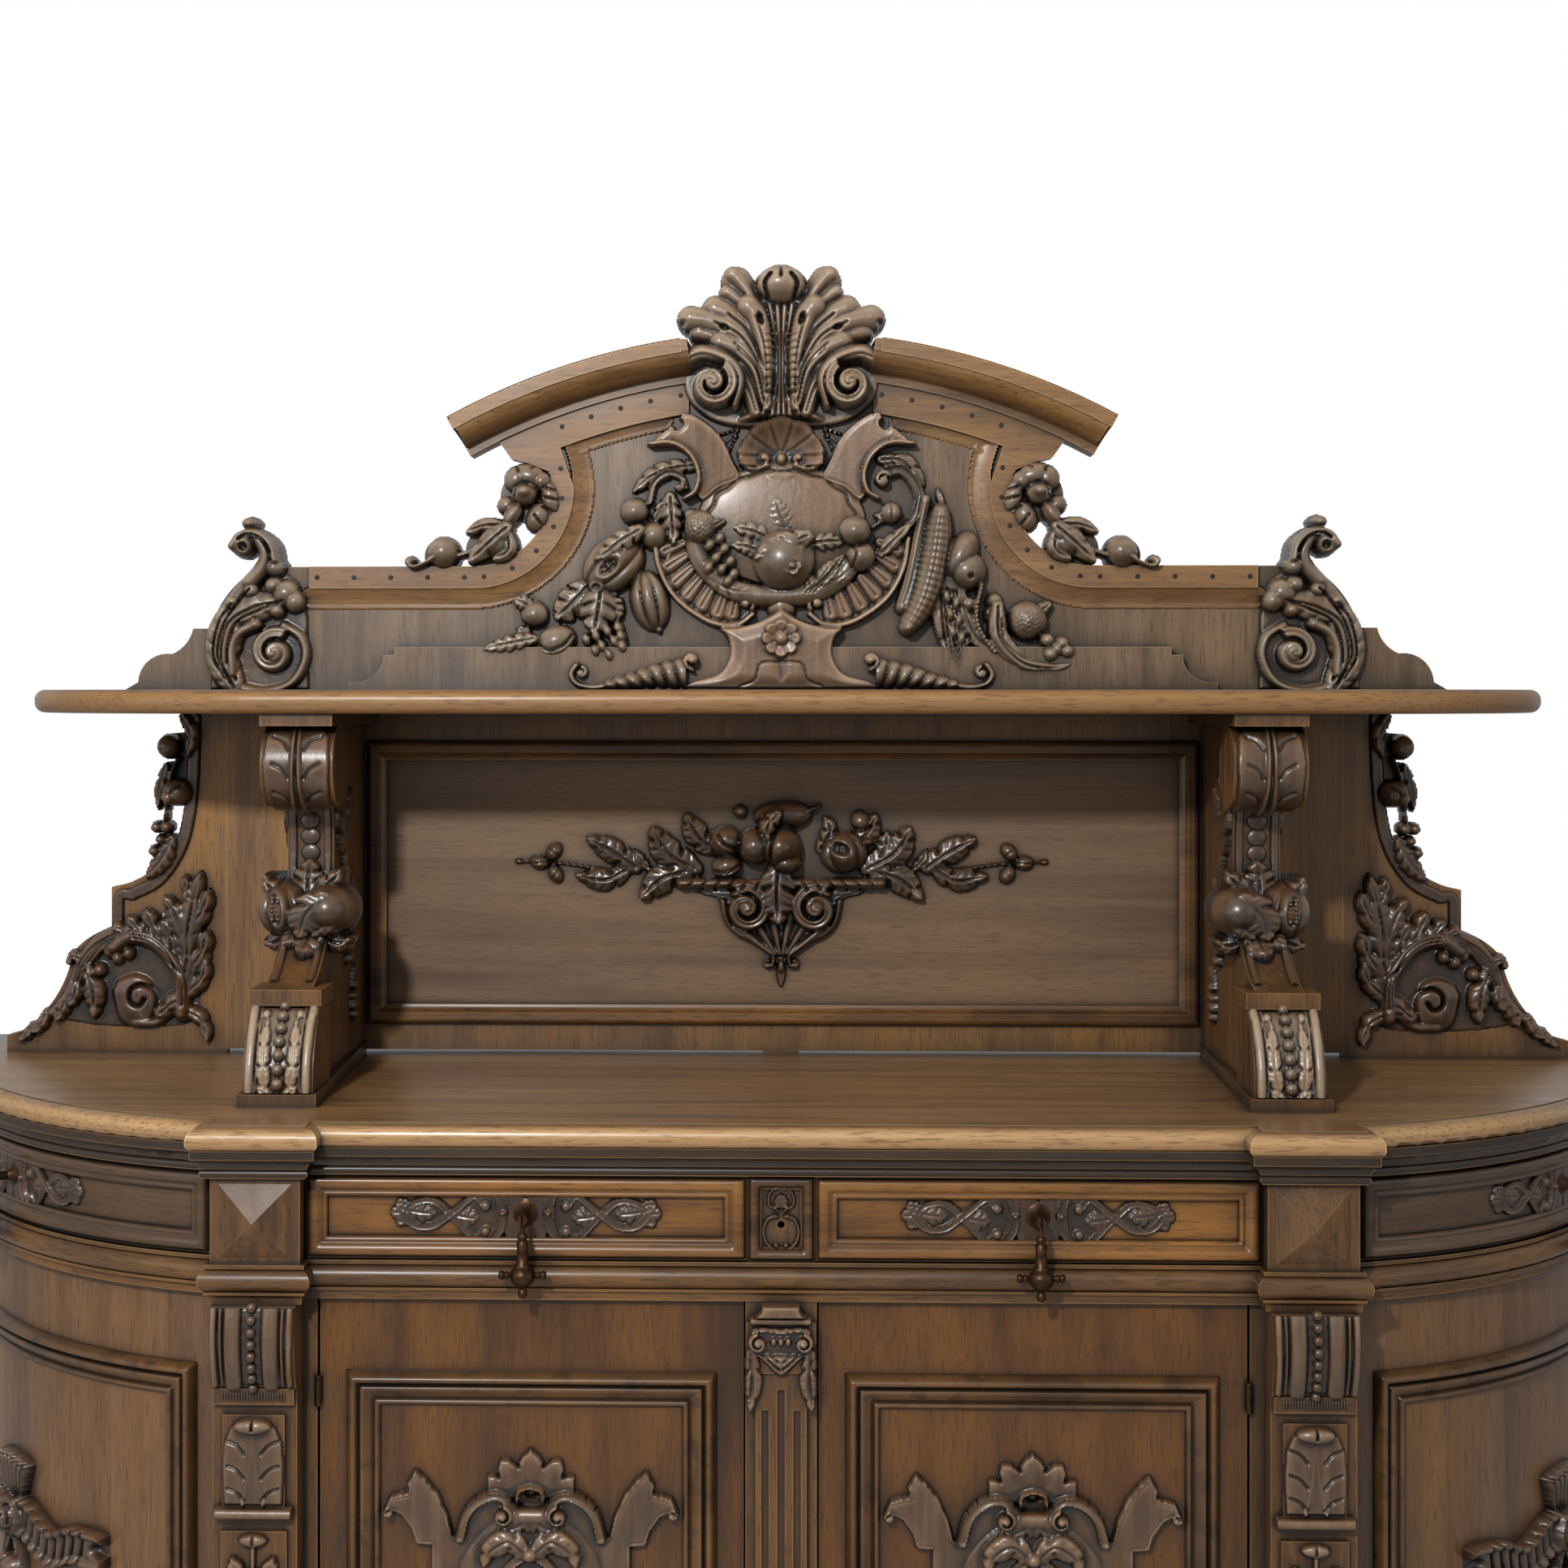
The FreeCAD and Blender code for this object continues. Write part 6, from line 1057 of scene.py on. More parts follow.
def bracket_side_relief():
    """The carving on a bracket's cheek: a leaf scroll above and a bunch of grapes below; u is the depth."""
    work = Relief((70, 990), (258, 1330), 1.6)
    work.leaf([(228, 1236), (232, 1276), (216, 1318)], 22, 9, lobes=4, curl=3)
    work.leaf([(226, 1240), (196, 1262), (164, 1304)], 20, 9, lobes=4)
    work.strap([(224, 1244), (214, 1210), (196, 1190), (204, 1168), (222, 1172)], 9, 8, end_width=12)
    for row, count in enumerate((2, 3, 3, 2, 2, 1)):
        for i in range(count):
            work.dome((188 + 14 * (i - (count - 1) / 2), 1160 - 13 * row), 8.5, rise=10, lift=1)
    work.leaf([(186, 1168), (164, 1180), (142, 1164)], 15, 8, lobes=3)
    for row, count in enumerate((1, 2, 2, 1)):
        for i in range(count):
            work.dome((150 + 13 * (i - (count - 1) / 2), 1058 - 12 * row), 7.5, rise=9, lift=1)
    work.leaf([(150, 1062), (136, 1074), (120, 1066)], 11, 7, lobes=3)
    return work


def on_cheek(x, out, side):
    """Ground on a bracket's cheek: u is the depth from the wall, and the carving stands out sideways."""
    return lambda u, v, h: (side * (x + out * h), WALL - u, v)


# Carved pieces of the cupboard

FIELD_FACE = DRAWER_FACE - 4
PULL_FACE = DRAWER_FACE + 30
PULL_Z = middle("drawer_right_pull_eye")[1]
PILASTER_FACE = 565
REED_Z = 673.5


def drawer_plate_relief():
    """The carved plate behind a drop pull: crossed straps, leaf ends and a shaped middle."""
    work = Relief((-147, -32), (147, 32), 0.9)
    work.plate(smooth_line([(-2, 29), (-22, 29), (-24, 12), (-20, 0), (-24, -14), (-20, -30), (-2, -30),
        (2, 0)], 48), 4, edge=3)
    work.plate(smooth_line([(-30, 27), (-54, 23), (-74, 4), (-96, 17), (-126, 12), (-146, 0), (-126, -15),
        (-98, -19), (-76, -7), (-54, -30), (-30, -30)], 60), 1.6, edge=2)
    work.strap([(-37, 28), (-28, 18), (-25, 0), (-28, -18), (-37, -30)], 12, 6.5, form="hollow")
    work.strap([(-45, 8), (-55, 18), (-75, 3), (-98, -14), (-119, -14), (-131, -2)], 9, 6, form="hollow")
    work.strap([(-45, -21), (-55, -28), (-77, -6), (-98, 12), (-118, 11), (-127, 3)], 9, 5, form="hollow")
    work.dome((-43, 7), 6, rise=6, lift=1)
    work.dome((-43, -20), 6, rise=6, lift=1)
    work.dome((-24, 0), 3, rise=3, lift=6)
    work.leaf([(-74, -3), (-62, -5), (-50, -6)], 11, 5, lobes=3)
    work.leaf([(-56, 12), (-44, 20), (-30, 12)], 8, 4, lobes=2)
    work.leaf([(-124, 2), (-112, 0), (-96, -1)], 11, 5, lobes=3)
    work.leaf([(-128, 0), (-136, 0), (-146, 0)], 11, 5, lobes=3)
    work.leaf([(-126, -8), (-134, -10), (-140, -8)], 7, 4.5, lobes=2)
    work.leaf([(-126, 8), (-134, 10), (-140, 8)], 7, 4.5, lobes=2)
    work.fold()
    return work


DRAWER_EDGE = [(0, 1), (2, 4.6), (5, 6.3), (8, 6.6), (11, 6), (14, 4), (15.5, 1.2), (17, 1.2), (18, 2.8),
               (20, 3), (21.5, 1.6), (22, 0.5)]
LOCK_EDGE = [(0, 1), (2, 4.6), (5, 6.3), (8, 6), (11, 3.4), (12.5, 0.6)]
DOOR_EDGE = [
    (0, 3.5), (2.5, 4.5), (3, 6), (5, 11), (8, 13.5), (11, 12.6), (13, 9.5), (14, 5), (15.5, 5), (16.2, 10.4),
    (18, 11), (21, 9.6), (25, 6.2), (28, 4.6), (29, 1.6), (30, 1.6), (31, 5), (33.5, 6.4), (36, 5),
    (37.4, 1.4), (38, 0.4),
]


def edge_relief(width, height, profile):
    """The moulded edge round a drawer front, the lock or a door's panel."""
    work = Relief((-width / 2 - 3, -height / 2 - 3), (width / 2 + 3, height / 2 + 3), 1.5)
    work.border(width, height, profile)
    return work


PULL_DROP = [
    (866, 2.2), (848, 2.4), (846, 5.2), (842, 5.6), (840, 4.4), (838, 6.4), (828, 5.8), (816, 6.6),
    (814, 8.6), (811.5, 8.6), (810.5, 10), (807, 13), (802, 14), (797, 12.4), (792, 8), (790, 4.4),
    (788, 3.6), (786, 4.8), (783, 5.2), (780, 3.8), (778, 0.8),
]
PULL_BAR = [
    (-25.5, 0.8), (-25, 3.6), (-23, 4.9), (-20.5, 4.6), (-19, 3), (-17.5, 4.4), (-16, 4.4), (-14.5, 3),
    (0, 3), (14.5, 3), (16, 4.4), (17.5, 4.4), (19, 3), (20.5, 4.6), (23, 4.9), (25, 3.6), (25.5, 0.8),
]
PULL_BAR_Z = 803


def turned_mesh(name, place, upright, cross, cross_z, sides=28):
    """A turned drop with a turned bar through it: each profile pairs a place along the axis with a radius."""
    spots, faces = [], []
    turns = [2 * math.pi * i / sides for i in range(sides)]
    for profile, stands in ((upright, True), (cross, False)):
        first = len(spots)
        for along, radius in profile:
            for turn in turns:
                a, b = radius * math.cos(turn), radius * math.sin(turn)
                spots.append((a, along, b) if stands else (along, cross_z + a, b))
        rings = [range(first + i * sides, first + (i + 1) * sides) for i in range(len(profile))]
        for low, high in zip(rings, rings[1:]):
            faces += [[low[i - 1], low[i], high[i], high[i - 1]] for i in range(sides)]
        faces += [list(rings[0])[::-1], list(rings[-1])]
    mesh = bpy.data.meshes.new(name)
    mesh.from_pydata(np.stack(place(*np.array(spots, float).T), 1) * MM, [], faces)
    turn_outward(mesh)
    finish_mesh(mesh, TURNED_ANGLE)
    return mesh


def lock_relief():
    """The lock's carved surround: a palmette in a small loop over a wide loop round the keyhole."""
    work = Relief((-21, 820), (21, 894), 0.7)
    for turn in (-62, -32, 0, 32, 62):
        tip = (8.5 * math.sin(math.radians(turn)), 872 + 13 * math.cos(math.radians(turn)))
        work.leaf([(0, 870), tip], 4.2, 4, lobes=1, lift=1, notch=0.1)
    work.strap([(-3, 866), (-12, 871), (-13.5, 880), (-9, 888), (0, 891.5)], 4, 5)
    work.strap([(-4, 860), (-14, 857), (-19, 845), (-16.5, 833), (-9, 825), (-4, 824)], 4.6, 5)
    work.volute((-6, 868.5), 4.8, 5.5, 3, start=0, hand=1, lift=1)
    work.volute((-6.5, 861), 4.8, 5.5, 3, start=0, hand=-1, lift=1)
    work.volute((-6, 829), 5, 5.5, 3, start=-90, hand=1, lift=1)
    work.fold()
    return work


def cartouche_relief():
    """A door's cartouche: eared strapwork, a crown leaf, C scrolls and a ribbon-tied bunch of fruit."""
    work = Relief((-161.2, 284), (161.2, 618), 1.3)
    middle = 447.5
    for turn in (1, -1):
        def both(points):
            return [(u, middle + turn * (v - middle)) for u, v in points]
        work.plate(both([
            (-47.5, 580.5), (-37.5, 581), (-34, 578.5), (-36.5, 588), (-33, 598.5), (-21.5, 597.5),
            (-13, 590), (-14, 595), (-9.5, 602), (-3.5, 606.5), (0, 612.5), (3.5, 606.5), (9.5, 602),
            (14, 595), (13, 590), (21.5, 597.5), (33, 598.5), (36.5, 588), (34, 578.5), (37.5, 581),
            (47.5, 580.5), (47.5, 558), (0, 554.5), (-47.5, 558)]), 9, edge=2.4, lean=(0, 0.03 * turn),
            swell=3)
        work.plate(both([
            (-124, 588), (-112, 577), (-99.5, 561.5), (-88.5, 538), (-83, 518), (-76.5, 513.5), (-72, 535.5),
            (-60, 554.5), (-39, 561.5), (-8, 549), (0, 528.5), (0, 446), (-107.5, 446), (-107.5, 505),
            (-124, 506), (-128.5, 521.5), (-139.5, 537), (-157, 545.5), (-152.5, 558), (-141.5, 561.5),
            (-132, 563), (-133.5, 571.5)]), 9, edge=2.4, line=5, lean=(-0.03, 0))
        work.volute(both([(-151.5, 540.5)])[0], 9, 13, 5, start=90, hand=turn, lift=2)
        work.strap(both([(-75.5, 517), (-68.5, 540.5), (-53, 556), (-34.5, 560.5), (-20, 550),
                   (-16.5, 537)]), 12, 14, end_width=9, lift=5, form="hollow")
        work.strap(both([(-16.5, 538), (0, 538), (16.5, 538)]), 20, 11, lift=6)
        work.volute(both([(-29.5, 539.5)])[0], 14, 15, 6.5, start=90 * turn, hand=-turn, lift=6, eye=2)
        work.strap(both([(-14.5, 554.5), (-11.5, 566.5), (0, 571)]), 5, 16, lift=4)
        work.pit(both([(0, 561.5)])[0], 8, 6, 9)
        work.leaf(both([(0, 538.5), (-14.5, 528.5), (-37.5, 521.5)]), 14, 7, lobes=2, lift=9)
    work.dome((0, middle), 82, 92, rise=4, lift=9, power=0.4)
    for turn in range(0, 180, 15):
        c, s = math.cos(math.radians(turn)), math.sin(math.radians(turn))
        work.groove([(-66 * c, middle - 76 * s), (-80 * c, middle - 90 * s)], 2.2, 3.5)
    work.leaf([(-4, 500), (-22, 514), (-42, 504), (-50, 486)], 13, 10, lobes=2, lift=13, notch=0.2)
    work.strap([(-6, 498), (-22, 486), (-34, 462), (-52, 452), (-60, 432)], 10, 8, end_width=14, lift=13,
        form="hollow")
    work.fold()
    work.dome((0, 500), 9, rise=13, lift=14)
    work.leaf([(0, 470), (-16, 446), (-40, 440)], 15, 10, lobes=4, lift=13)
    work.leaf([(2, 470), (22, 448), (44, 446)], 15, 10, lobes=4, lift=13)
    work.dome((-2, 466), 17, 16, rise=20, lift=13)
    work.groove([(-10, 478), (-4, 466), (-6, 452)], 3, 5)
    work.dome((18, 442), 15, 16, rise=18, lift=13)
    work.ribbed_fruit((-17, 434), 16, 19, rise=18, ribs=5, lift=13, turn=15)
    work.domes([(2, 426), (-4, 414), (8, 414), (2, 403), (12, 424), (-8, 424), (3, 393)], 7.5, rise=13,
        lift=13)
    work.leaf([(0, 396), (-8, 378), (-2, 358)], 13, 9, lobes=4, lift=12)
    return work


def sheaf_relief():
    """A bowed door's carving: a flat-cut sheaf bound by a pleated ribbon, with fruit below the knot."""
    work = Relief((-182, 320), (182, 548), 1.3)
    work.plate([(-15, 466), (-44, 536), (-30, 540), (0, 542), (30, 540), (44, 536), (15, 466)], 14, edge=3,
        lean=(0, 0.12))
    for step in range(-3, 4):
        work.groove([(step * 3.6, 478), (step * 8, 506), (step * 12.4, 540)], 3.4, 8)
    work.groove([(-46, 530), (0, 536), (46, 530)], 2.2, 4)
    for sign in (-1, 1):
        fall = [
            (sign * 8, 468), (sign * 38, 474), (sign * 70, 460), (sign * 98, 454), (sign * 130, 466),
            (sign * 174, 468),
        ]
        work.strap(fall, 44, 15, end_width=40, lift=3, form="hollow")
        for x, z in (
            (26, 472), (40, 472), (54, 467), (68, 460), (84, 455), (100, 455), (116, 460), (132, 466),
            (148, 468),
        ):
            work.groove([(sign * (x - 5), z - 26), (sign * x, z), (sign * (x + 3), z + 26)], 5, 9)
        work.pit((sign * 180, 468), 20, 9, 18)
        work.strap([(sign * 6, 448), (sign * 20, 420), (sign * 16, 392), (sign * 30, 364)], 15, 9,
            end_width=18, lift=3, form="hollow")
        work.strap([(sign * 2, 474), (sign * 18, 486), (sign * 27, 470), (sign * 16, 456), (sign * 2, 464)],
            13, 20, lift=6, form="hollow")
    work.dome((0, 468), 14, 16, rise=16, lift=18)
    work.groove([(-8, 474), (0, 468), (8, 474)], 3, 6)
    work.dome((-11, 412), 15, rise=20, lift=6)
    work.dome((13, 408), 14, 16, rise=18, lift=6)
    work.groove([(7, 420), (12, 408), (10, 394)], 3, 5)
    work.domes([(0, 390), (-9, 380), (8, 378), (-1, 368), (5, 357), (-6, 358)], 7, rise=12, lift=6)
    work.leaf([(-4, 366), (-20, 348), (-24, 326)], 14, 9, lobes=3, lift=3)
    work.leaf([(4, 366), (20, 348), (24, 326)], 14, 9, lobes=3, lift=3)
    return work


# The swelling front of a pilaster's console in depths and heights
CONSOLE = [
    (572.6, 769.5), (574.7, 760), (576.4, 750), (577.3, 740), (577.2, 730), (576.3, 720), (574.5, 710),
    (571.8, 700), (568, 690), (564.6, 683),
]


def console_front_relief():
    """A pilaster console: convex staves beside the bead channel, with fillets outside."""
    work = Relief((-45, -86), (45, 0), 1.0)
    work.plate([(-44, -1), (44, -1), (44, -85), (-44, -85)], 0.8, edge=0.8)
    for sign in (-1, 1):
        work.strap([(sign * 20, -2), (sign * 20, -84)], 19, 7, lift=0.8)
        work.strap([(sign * 33, -2), (sign * 32, -84)], 4.5, 3.5, lift=0.8)
        work.strap([(sign * 40.5, -2), (sign * 39.5, -84)], 8, 5, lift=0.8)
    return work


def pilaster_leaf_relief():
    """The broad leaf under a pilaster console: arched, veined and turned over at its tip."""
    work = Relief((-41, 530), (41, 656), 1.0)
    work.plate([(-31, 559), (-33, 600), (-31, 625), (-24, 642), (-10, 650), (10, 650), (24, 642), (31, 625),
        (33, 600), (31, 559)], 5, edge=3, swell=2)
    work.dome((0, 643), 21, 9, rise=11, lift=3)
    work.groove([(0, 652), (0, 640)], 2.5, 5)
    work.strap([(-1, 632), (-3, 600), (-11, 560)], 4, 8, end_width=5)
    work.strap([(1, 632), (3, 600), (11, 560)], 4, 8, end_width=5)
    for sign in (-1, 1):
        for v in (622, 596, 572):
            work.groove([(sign * 9, v - 8), (sign * 17, v + 1), (sign * 27, v + 5)], 2.8, 3.4)
    work.strap([(-39, 550), (39, 550)], 14, 9)
    return work


def pilaster_drop_relief():
    """The pilaster foot's carving: leaf scrolls, a bud and a long fall of husks."""
    work = Relief((-36, 156), (36, 532), 1.2)
    work.dome((0, 522), 16, 8, rise=9, lift=1)
    work.groove([(0, 530), (0, 518)], 2.5, 4)
    work.leaf([(-4, 440), (-14, 478), (-22, 506)], 15, 8, lobes=5, lift=1, curl=2)
    work.volute((-20, 486), 11, 9, 5, start=-90, hand=1, lift=1)
    work.leaf([(-3, 446), (-24, 452), (-32, 470)], 11, 7, lobes=4, lift=1)
    work.leaf([(-3, 444), (-24, 436), (-32, 420)], 11, 7, lobes=4, lift=1)
    work.strap([(0, 440), (0, 512)], 6, 7)
    for step in range(5):
        top = 432 - 52 * step
        work.leaf([(-1, top), (-11, top - 22), (-7, top - 48)], 8 - 0.6 * step, 7, lobes=2, lift=1, notch=0.3)
        work.leaf([(0, top), (0, top - 26), (0, top - 54)], 7, 8, lobes=1, lift=1, notch=0.1)
        work.dome((0, top + 1), 6, 5, rise=7, lift=1)
    work.fold()
    return work


def capital_relief():
    """The middle pilaster's capital: a flared cap, paired scrolls, a folded apron and side drapes."""
    work = Relief((-38, 652), (38, 770), 0.9)
    work.plate([(-20, 769), (20, 769), (21, 763), (25, 758), (32, 755), (-32, 755), (-25, 758), (-21, 763)],
        9, edge=2)
    work.plate([(-33, 755), (33, 755), (33, 748), (-33, 748)], 6, edge=1.5)
    work.plate([(-30, 746), (30, 746), (30, 714), (-30, 714)], 1.2, edge=1.5)
    work.strap([(-30, 741), (-20, 744), (0, 742), (20, 744), (30, 741)], 6, 9, form="hollow")
    work.volute((-24, 729), 13, 10, 6, start=90, hand=1, lift=1, eye=2)
    for x in (-8, 0):
        work.dome((x, 730), 3.6, 5.5, rise=5, lift=1)
    work.plate([(-27, 717), (27, 717), (7, 697), (0, 693), (-7, 697)], 7, edge=5)
    work.groove([(-20, 717), (-8, 706), (0, 700)], 2.6, 4)
    work.groove([(-10, 717), (-3, 709)], 2.2, 3)
    work.leaf([(-32, 718), (-29, 690), (-33, 656)], 9.5, 7, lobes=2, notch=0.3, curl=2)
    work.groove([(-33, 712), (-31, 690), (-34, 664)], 2.2, 3)
    work.fold()
    return work


# Repeated work along paths


def row_tree():
    """Places a bead at even steps along each path and realises the row."""
    tree = bpy.data.node_groups.new("bead_row", "GeometryNodeTree")
    for name, way, kind in (
        ("Path", "INPUT", "Geometry"), ("Count", "INPUT", "Int"), ("Radius", "INPUT", "Float"),
        ("Stretch", "INPUT", "Vector"), ("Finish", "INPUT", "Material"), ("Row", "OUTPUT", "Geometry"),
    ):
        tree.interface.new_socket(name, in_out=way, socket_type="NodeSocket" + kind)
    given = add_node(tree, "NodeGroupInput").outputs
    line = add_node(tree, "GeometryNodeMeshToCurve", {"Mesh": given["Path"]})
    steps = add_node(tree, "GeometryNodeResampleCurve", {"Curve": line.outputs["Curve"],
        "Count": given["Count"]})
    bead = add_node(tree, "GeometryNodeMeshUVSphere", {"Segments": 16, "Rings": 10,
        "Radius": given["Radius"]})
    row = add_node(tree, "GeometryNodeInstanceOnPoints", {
        "Points": steps.outputs["Curve"], "Instance": bead.outputs["Mesh"], "Scale": given["Stretch"],
    })
    solid = add_node(tree, "GeometryNodeRealizeInstances", {"Geometry": row.outputs["Instances"]})
    smooth = add_node(tree, "GeometryNodeSetShadeSmooth", {"Geometry": solid.outputs["Geometry"]})
    finished = add_node(tree, "GeometryNodeSetMaterial", {
        "Geometry": smooth.outputs["Geometry"], "Material": given["Finish"],
    })
    add_node(tree, "NodeGroupOutput", {"Row": finished.outputs["Geometry"]})
    return tree


def bead_rows(name, paths, count, radius, stretch, wood):
    """Rows of beads along paths of X, depth and Z points, made plain and fixed to the carcass."""
    spots = [(x, WALL - depth, z) for path in paths for x, depth, z in path]
    edges, start = [], 0
    for path in paths:
        edges += [(start + i, start + i + 1) for i in range(len(path) - 1)]
        start += len(path)
    guide = bpy.data.meshes.new(name + "_path")
    guide.from_pydata(np.array(spots) * MM, edges, [])
    piece = bpy.data.objects.new(name, guide)
    bpy.context.scene.collection.objects.link(piece)
    tree = bpy.data.node_groups.get("bead_row") or row_tree()
    rows = piece.modifiers.new("rows", "NODES")
    rows.node_group = tree
    values = {"Count": count, "Radius": radius * MM, "Stretch": stretch, "Finish": WOODS[wood]}
    for item in tree.interface.items_tree:
        if item.name in values:
            rows[item.identifier] = values[item.name]
    solid = bpy.data.meshes.new_from_object(piece.evaluated_get(bpy.context.evaluated_depsgraph_get()))
    piece.modifiers.remove(rows)
    piece.data = solid
    bpy.data.meshes.remove(guide)
    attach(piece, "carcass")


# Finishes


def linear(colour):
    """An sRGB hex colour as linear RGBA; a picked colour or a node's socket is linear already and passes."""
    if not isinstance(colour, str):
        return colour
    parts = [int(colour[i:i + 2], 16) / 255 for i in (1, 3, 5)]
    return tuple(p / 12.92 if p <= 0.04045 else ((p + 0.055) / 1.055) ** 2.4 for p in parts) + (1.0,)


def add_node(tree, kind, inputs=(), stops=(), **settings):
    """A node with its settings; inputs pairs a socket with a value or a link, stops are a ramp's colours."""
    made = tree.nodes.new(kind)
    for name, value in settings.items():
        setattr(made, name, value)
    for key, value in dict(inputs).items():
        if isinstance(value, bpy.types.NodeSocket):
            tree.links.new(value, made.inputs[key])
        else:
            made.inputs[key].default_value = value
    if stops:
        ramp = made.color_ramp.elements
        while len(ramp) < len(stops):
            ramp.new(0.5)
        for element, (spot, colour) in zip(ramp, stops):
            element.position = spot
            element.color = linear(colour)
    return made


def start_material(name):
    """An empty material and its node tree."""
    material = bpy.data.materials.new(name)
    material.use_nodes = True
    material.node_tree.nodes.clear()
    return material, material.node_tree


def tint(tree, colour, field, low, high, most, tone, blend="LINEAR"):
    """Lay a tone over the colour: none where the field is at low, the most where it is at high."""
    amount = add_node(tree, "ShaderNodeMapRange", {
        "Value": field, "From Min": low, "From Max": high, "To Min": 0.0, "To Max": most,
    }, interpolation_type=blend)
    mixed = add_node(tree, "ShaderNodeMix", {0: amount.outputs["Result"], 6: linear(colour), 7: linear(tone)},
                     data_type="RGBA")
    return mixed.outputs[2]


def grain_fields(tree, grain, figure_width, pore_width):
    """Wood figure, pores and stain as three grey fields, stretched along the grain; widths in millimetres."""
    spot = add_node(tree, "ShaderNodeTexCoord").outputs["Object"]
    figure, pore = 1 / (figure_width * MM), 1 / (pore_width * MM)
    fields = []
    for along, across, detail, twist in ((figure / 24, figure, 5, 0.6), (pore / 10, pore, 2, 0.0),
            (3, 9, 4, 0.3)):
        scale = [along if axis in grain else across for axis in "XYZ"]
        turned = add_node(tree, "ShaderNodeMapping", {"Vector": spot, "Scale": scale})
        noise = add_node(tree, "ShaderNodeTexNoise", {
            "Vector": turned.outputs["Vector"], "Scale": 1, "Detail": detail, "Roughness": 0.6,
            "Distortion": twist,
        })
        fields.append(noise.outputs["Fac"])
    return fields


def close_wood(tree, colour, rough, pores, roughness, coat, bump_height, coat_roughness=0.24):
    """The polished surface shared by every wood: gloss broken by the grain, with a waxed coat."""
    gloss = add_node(tree, "ShaderNodeMapRange", {
        "Value": rough, "From Min": 0.3, "From Max": 0.7, "To Min": roughness - 0.07,
        "To Max": roughness + 0.1,
    })
    bump = add_node(tree, "ShaderNodeBump", {"Height": pores, "Strength": 0.25, "Distance": bump_height * MM})
    shader = add_node(tree, "ShaderNodeBsdfPrincipled", {
        "Base Color": colour, "Roughness": gloss.outputs["Result"], "Normal": bump.outputs["Normal"],
        "IOR": 1.5, "Specular IOR Level": 0.35, "Coat Weight": coat, "Coat Roughness": coat_roughness,
    })
    add_node(tree, "ShaderNodeOutputMaterial", {"Surface": shader.outputs["BSDF"]})


def dirt_and_painted_shade(tree, colour, reach, dark, strength, shut=0.3):
    """Old dusty polish and painted shade darken corners: the colour goes towards dark where little open sky is
    seen.
    """
    open_sky = add_node(tree, "ShaderNodeAmbientOcclusion", {"Distance": reach * MM}, samples=6)
    return tint(tree, colour, open_sky.outputs["AO"], 0.97, shut, strength, dark, "SMOOTHSTEP")


def edge_wear_and_highlight(tree, colour, radius, light, strength):
    """Handling rubs the stain off arrises, and a painted highlight lies along them: the colour goes towards
    light where the surface turns sharply.
    """
    flat = add_node(tree, "ShaderNodeNewGeometry").outputs["Normal"]
    rounded = add_node(tree, "ShaderNodeBevel", {"Radius": radius * MM}, samples=4)
    match = add_node(tree, "ShaderNodeVectorMath", {0: flat, 1: rounded.outputs["Normal"]},
        operation="DOT_PRODUCT")
    return tint(tree, colour, match.outputs["Value"], 0.99, 0.8, strength, light)


def facing_up(tree):
    """How far the surface looks up: 1 on a level top, 0 on an upright, -1 underneath."""
    normal = add_node(tree, "ShaderNodeNewGeometry").outputs["Normal"]
    return add_node(tree, "ShaderNodeSeparateXYZ", {0: normal}).outputs["Z"]


def polished_wood(name, tones, grain, edge_tone, figure=26, roughness=0.4, coat=0.3, fading=0.55, sides=None,
                  edge_strength=0.7, dirt_and_shade_strength=0.85):
    """Walnut or oak, planed, stained and waxed: streaked figure, pores, golden arrises of rubbed stain and
    painted highlight, dark corners of old polish and painted shade.
    """
    corner_dirt_and_shade = "#150e08"
    material, tree = start_material(name)
    figured, pores, stain = grain_fields(tree, grain, figure, 2.6)
    stops = list(zip((0.28, 0.5, 0.72), tones))
    colour = add_node(tree, "ShaderNodeValToRGB", {0: figured}, stops).outputs["Color"]
    colour = tint(tree, colour, stain, 0.4, 0.66, fading, tones[3])
    # painted light and shade by facing: upright faces take the pale sides tone, for rubbed stain and painted
    # highlight, and faces that look down go towards a darker tone as painted shade
    if sides:
        upward = facing_up(tree)
        rubbed = tint(tree, sides, upward, 0.3, -0.1, 0.55, tones[1])
        colour = tint(tree, colour, upward, 0.96, 0.6, 0.85, rubbed)
    colour = tint(tree, colour, pores, 0.52, 0.68, 0.6, tones[0])
    # painted highlight with rubbed stain: arrises go towards the pale edge tone
    colour = edge_wear_and_highlight(tree, colour, 2.2, edge_tone, edge_strength)
    # painted shade with old polish: darker towards corners and close to other parts, in a broad and a close
    # pass
    colour = dirt_and_painted_shade(tree, colour, 48, corner_dirt_and_shade, dirt_and_shade_strength * 0.85, 0.45)
    colour = dirt_and_painted_shade(tree, colour, 8, corner_dirt_and_shade, dirt_and_shade_strength, 0.4)
    close_wood(tree, colour, stain, pores, roughness, coat, 0.25)
    return material


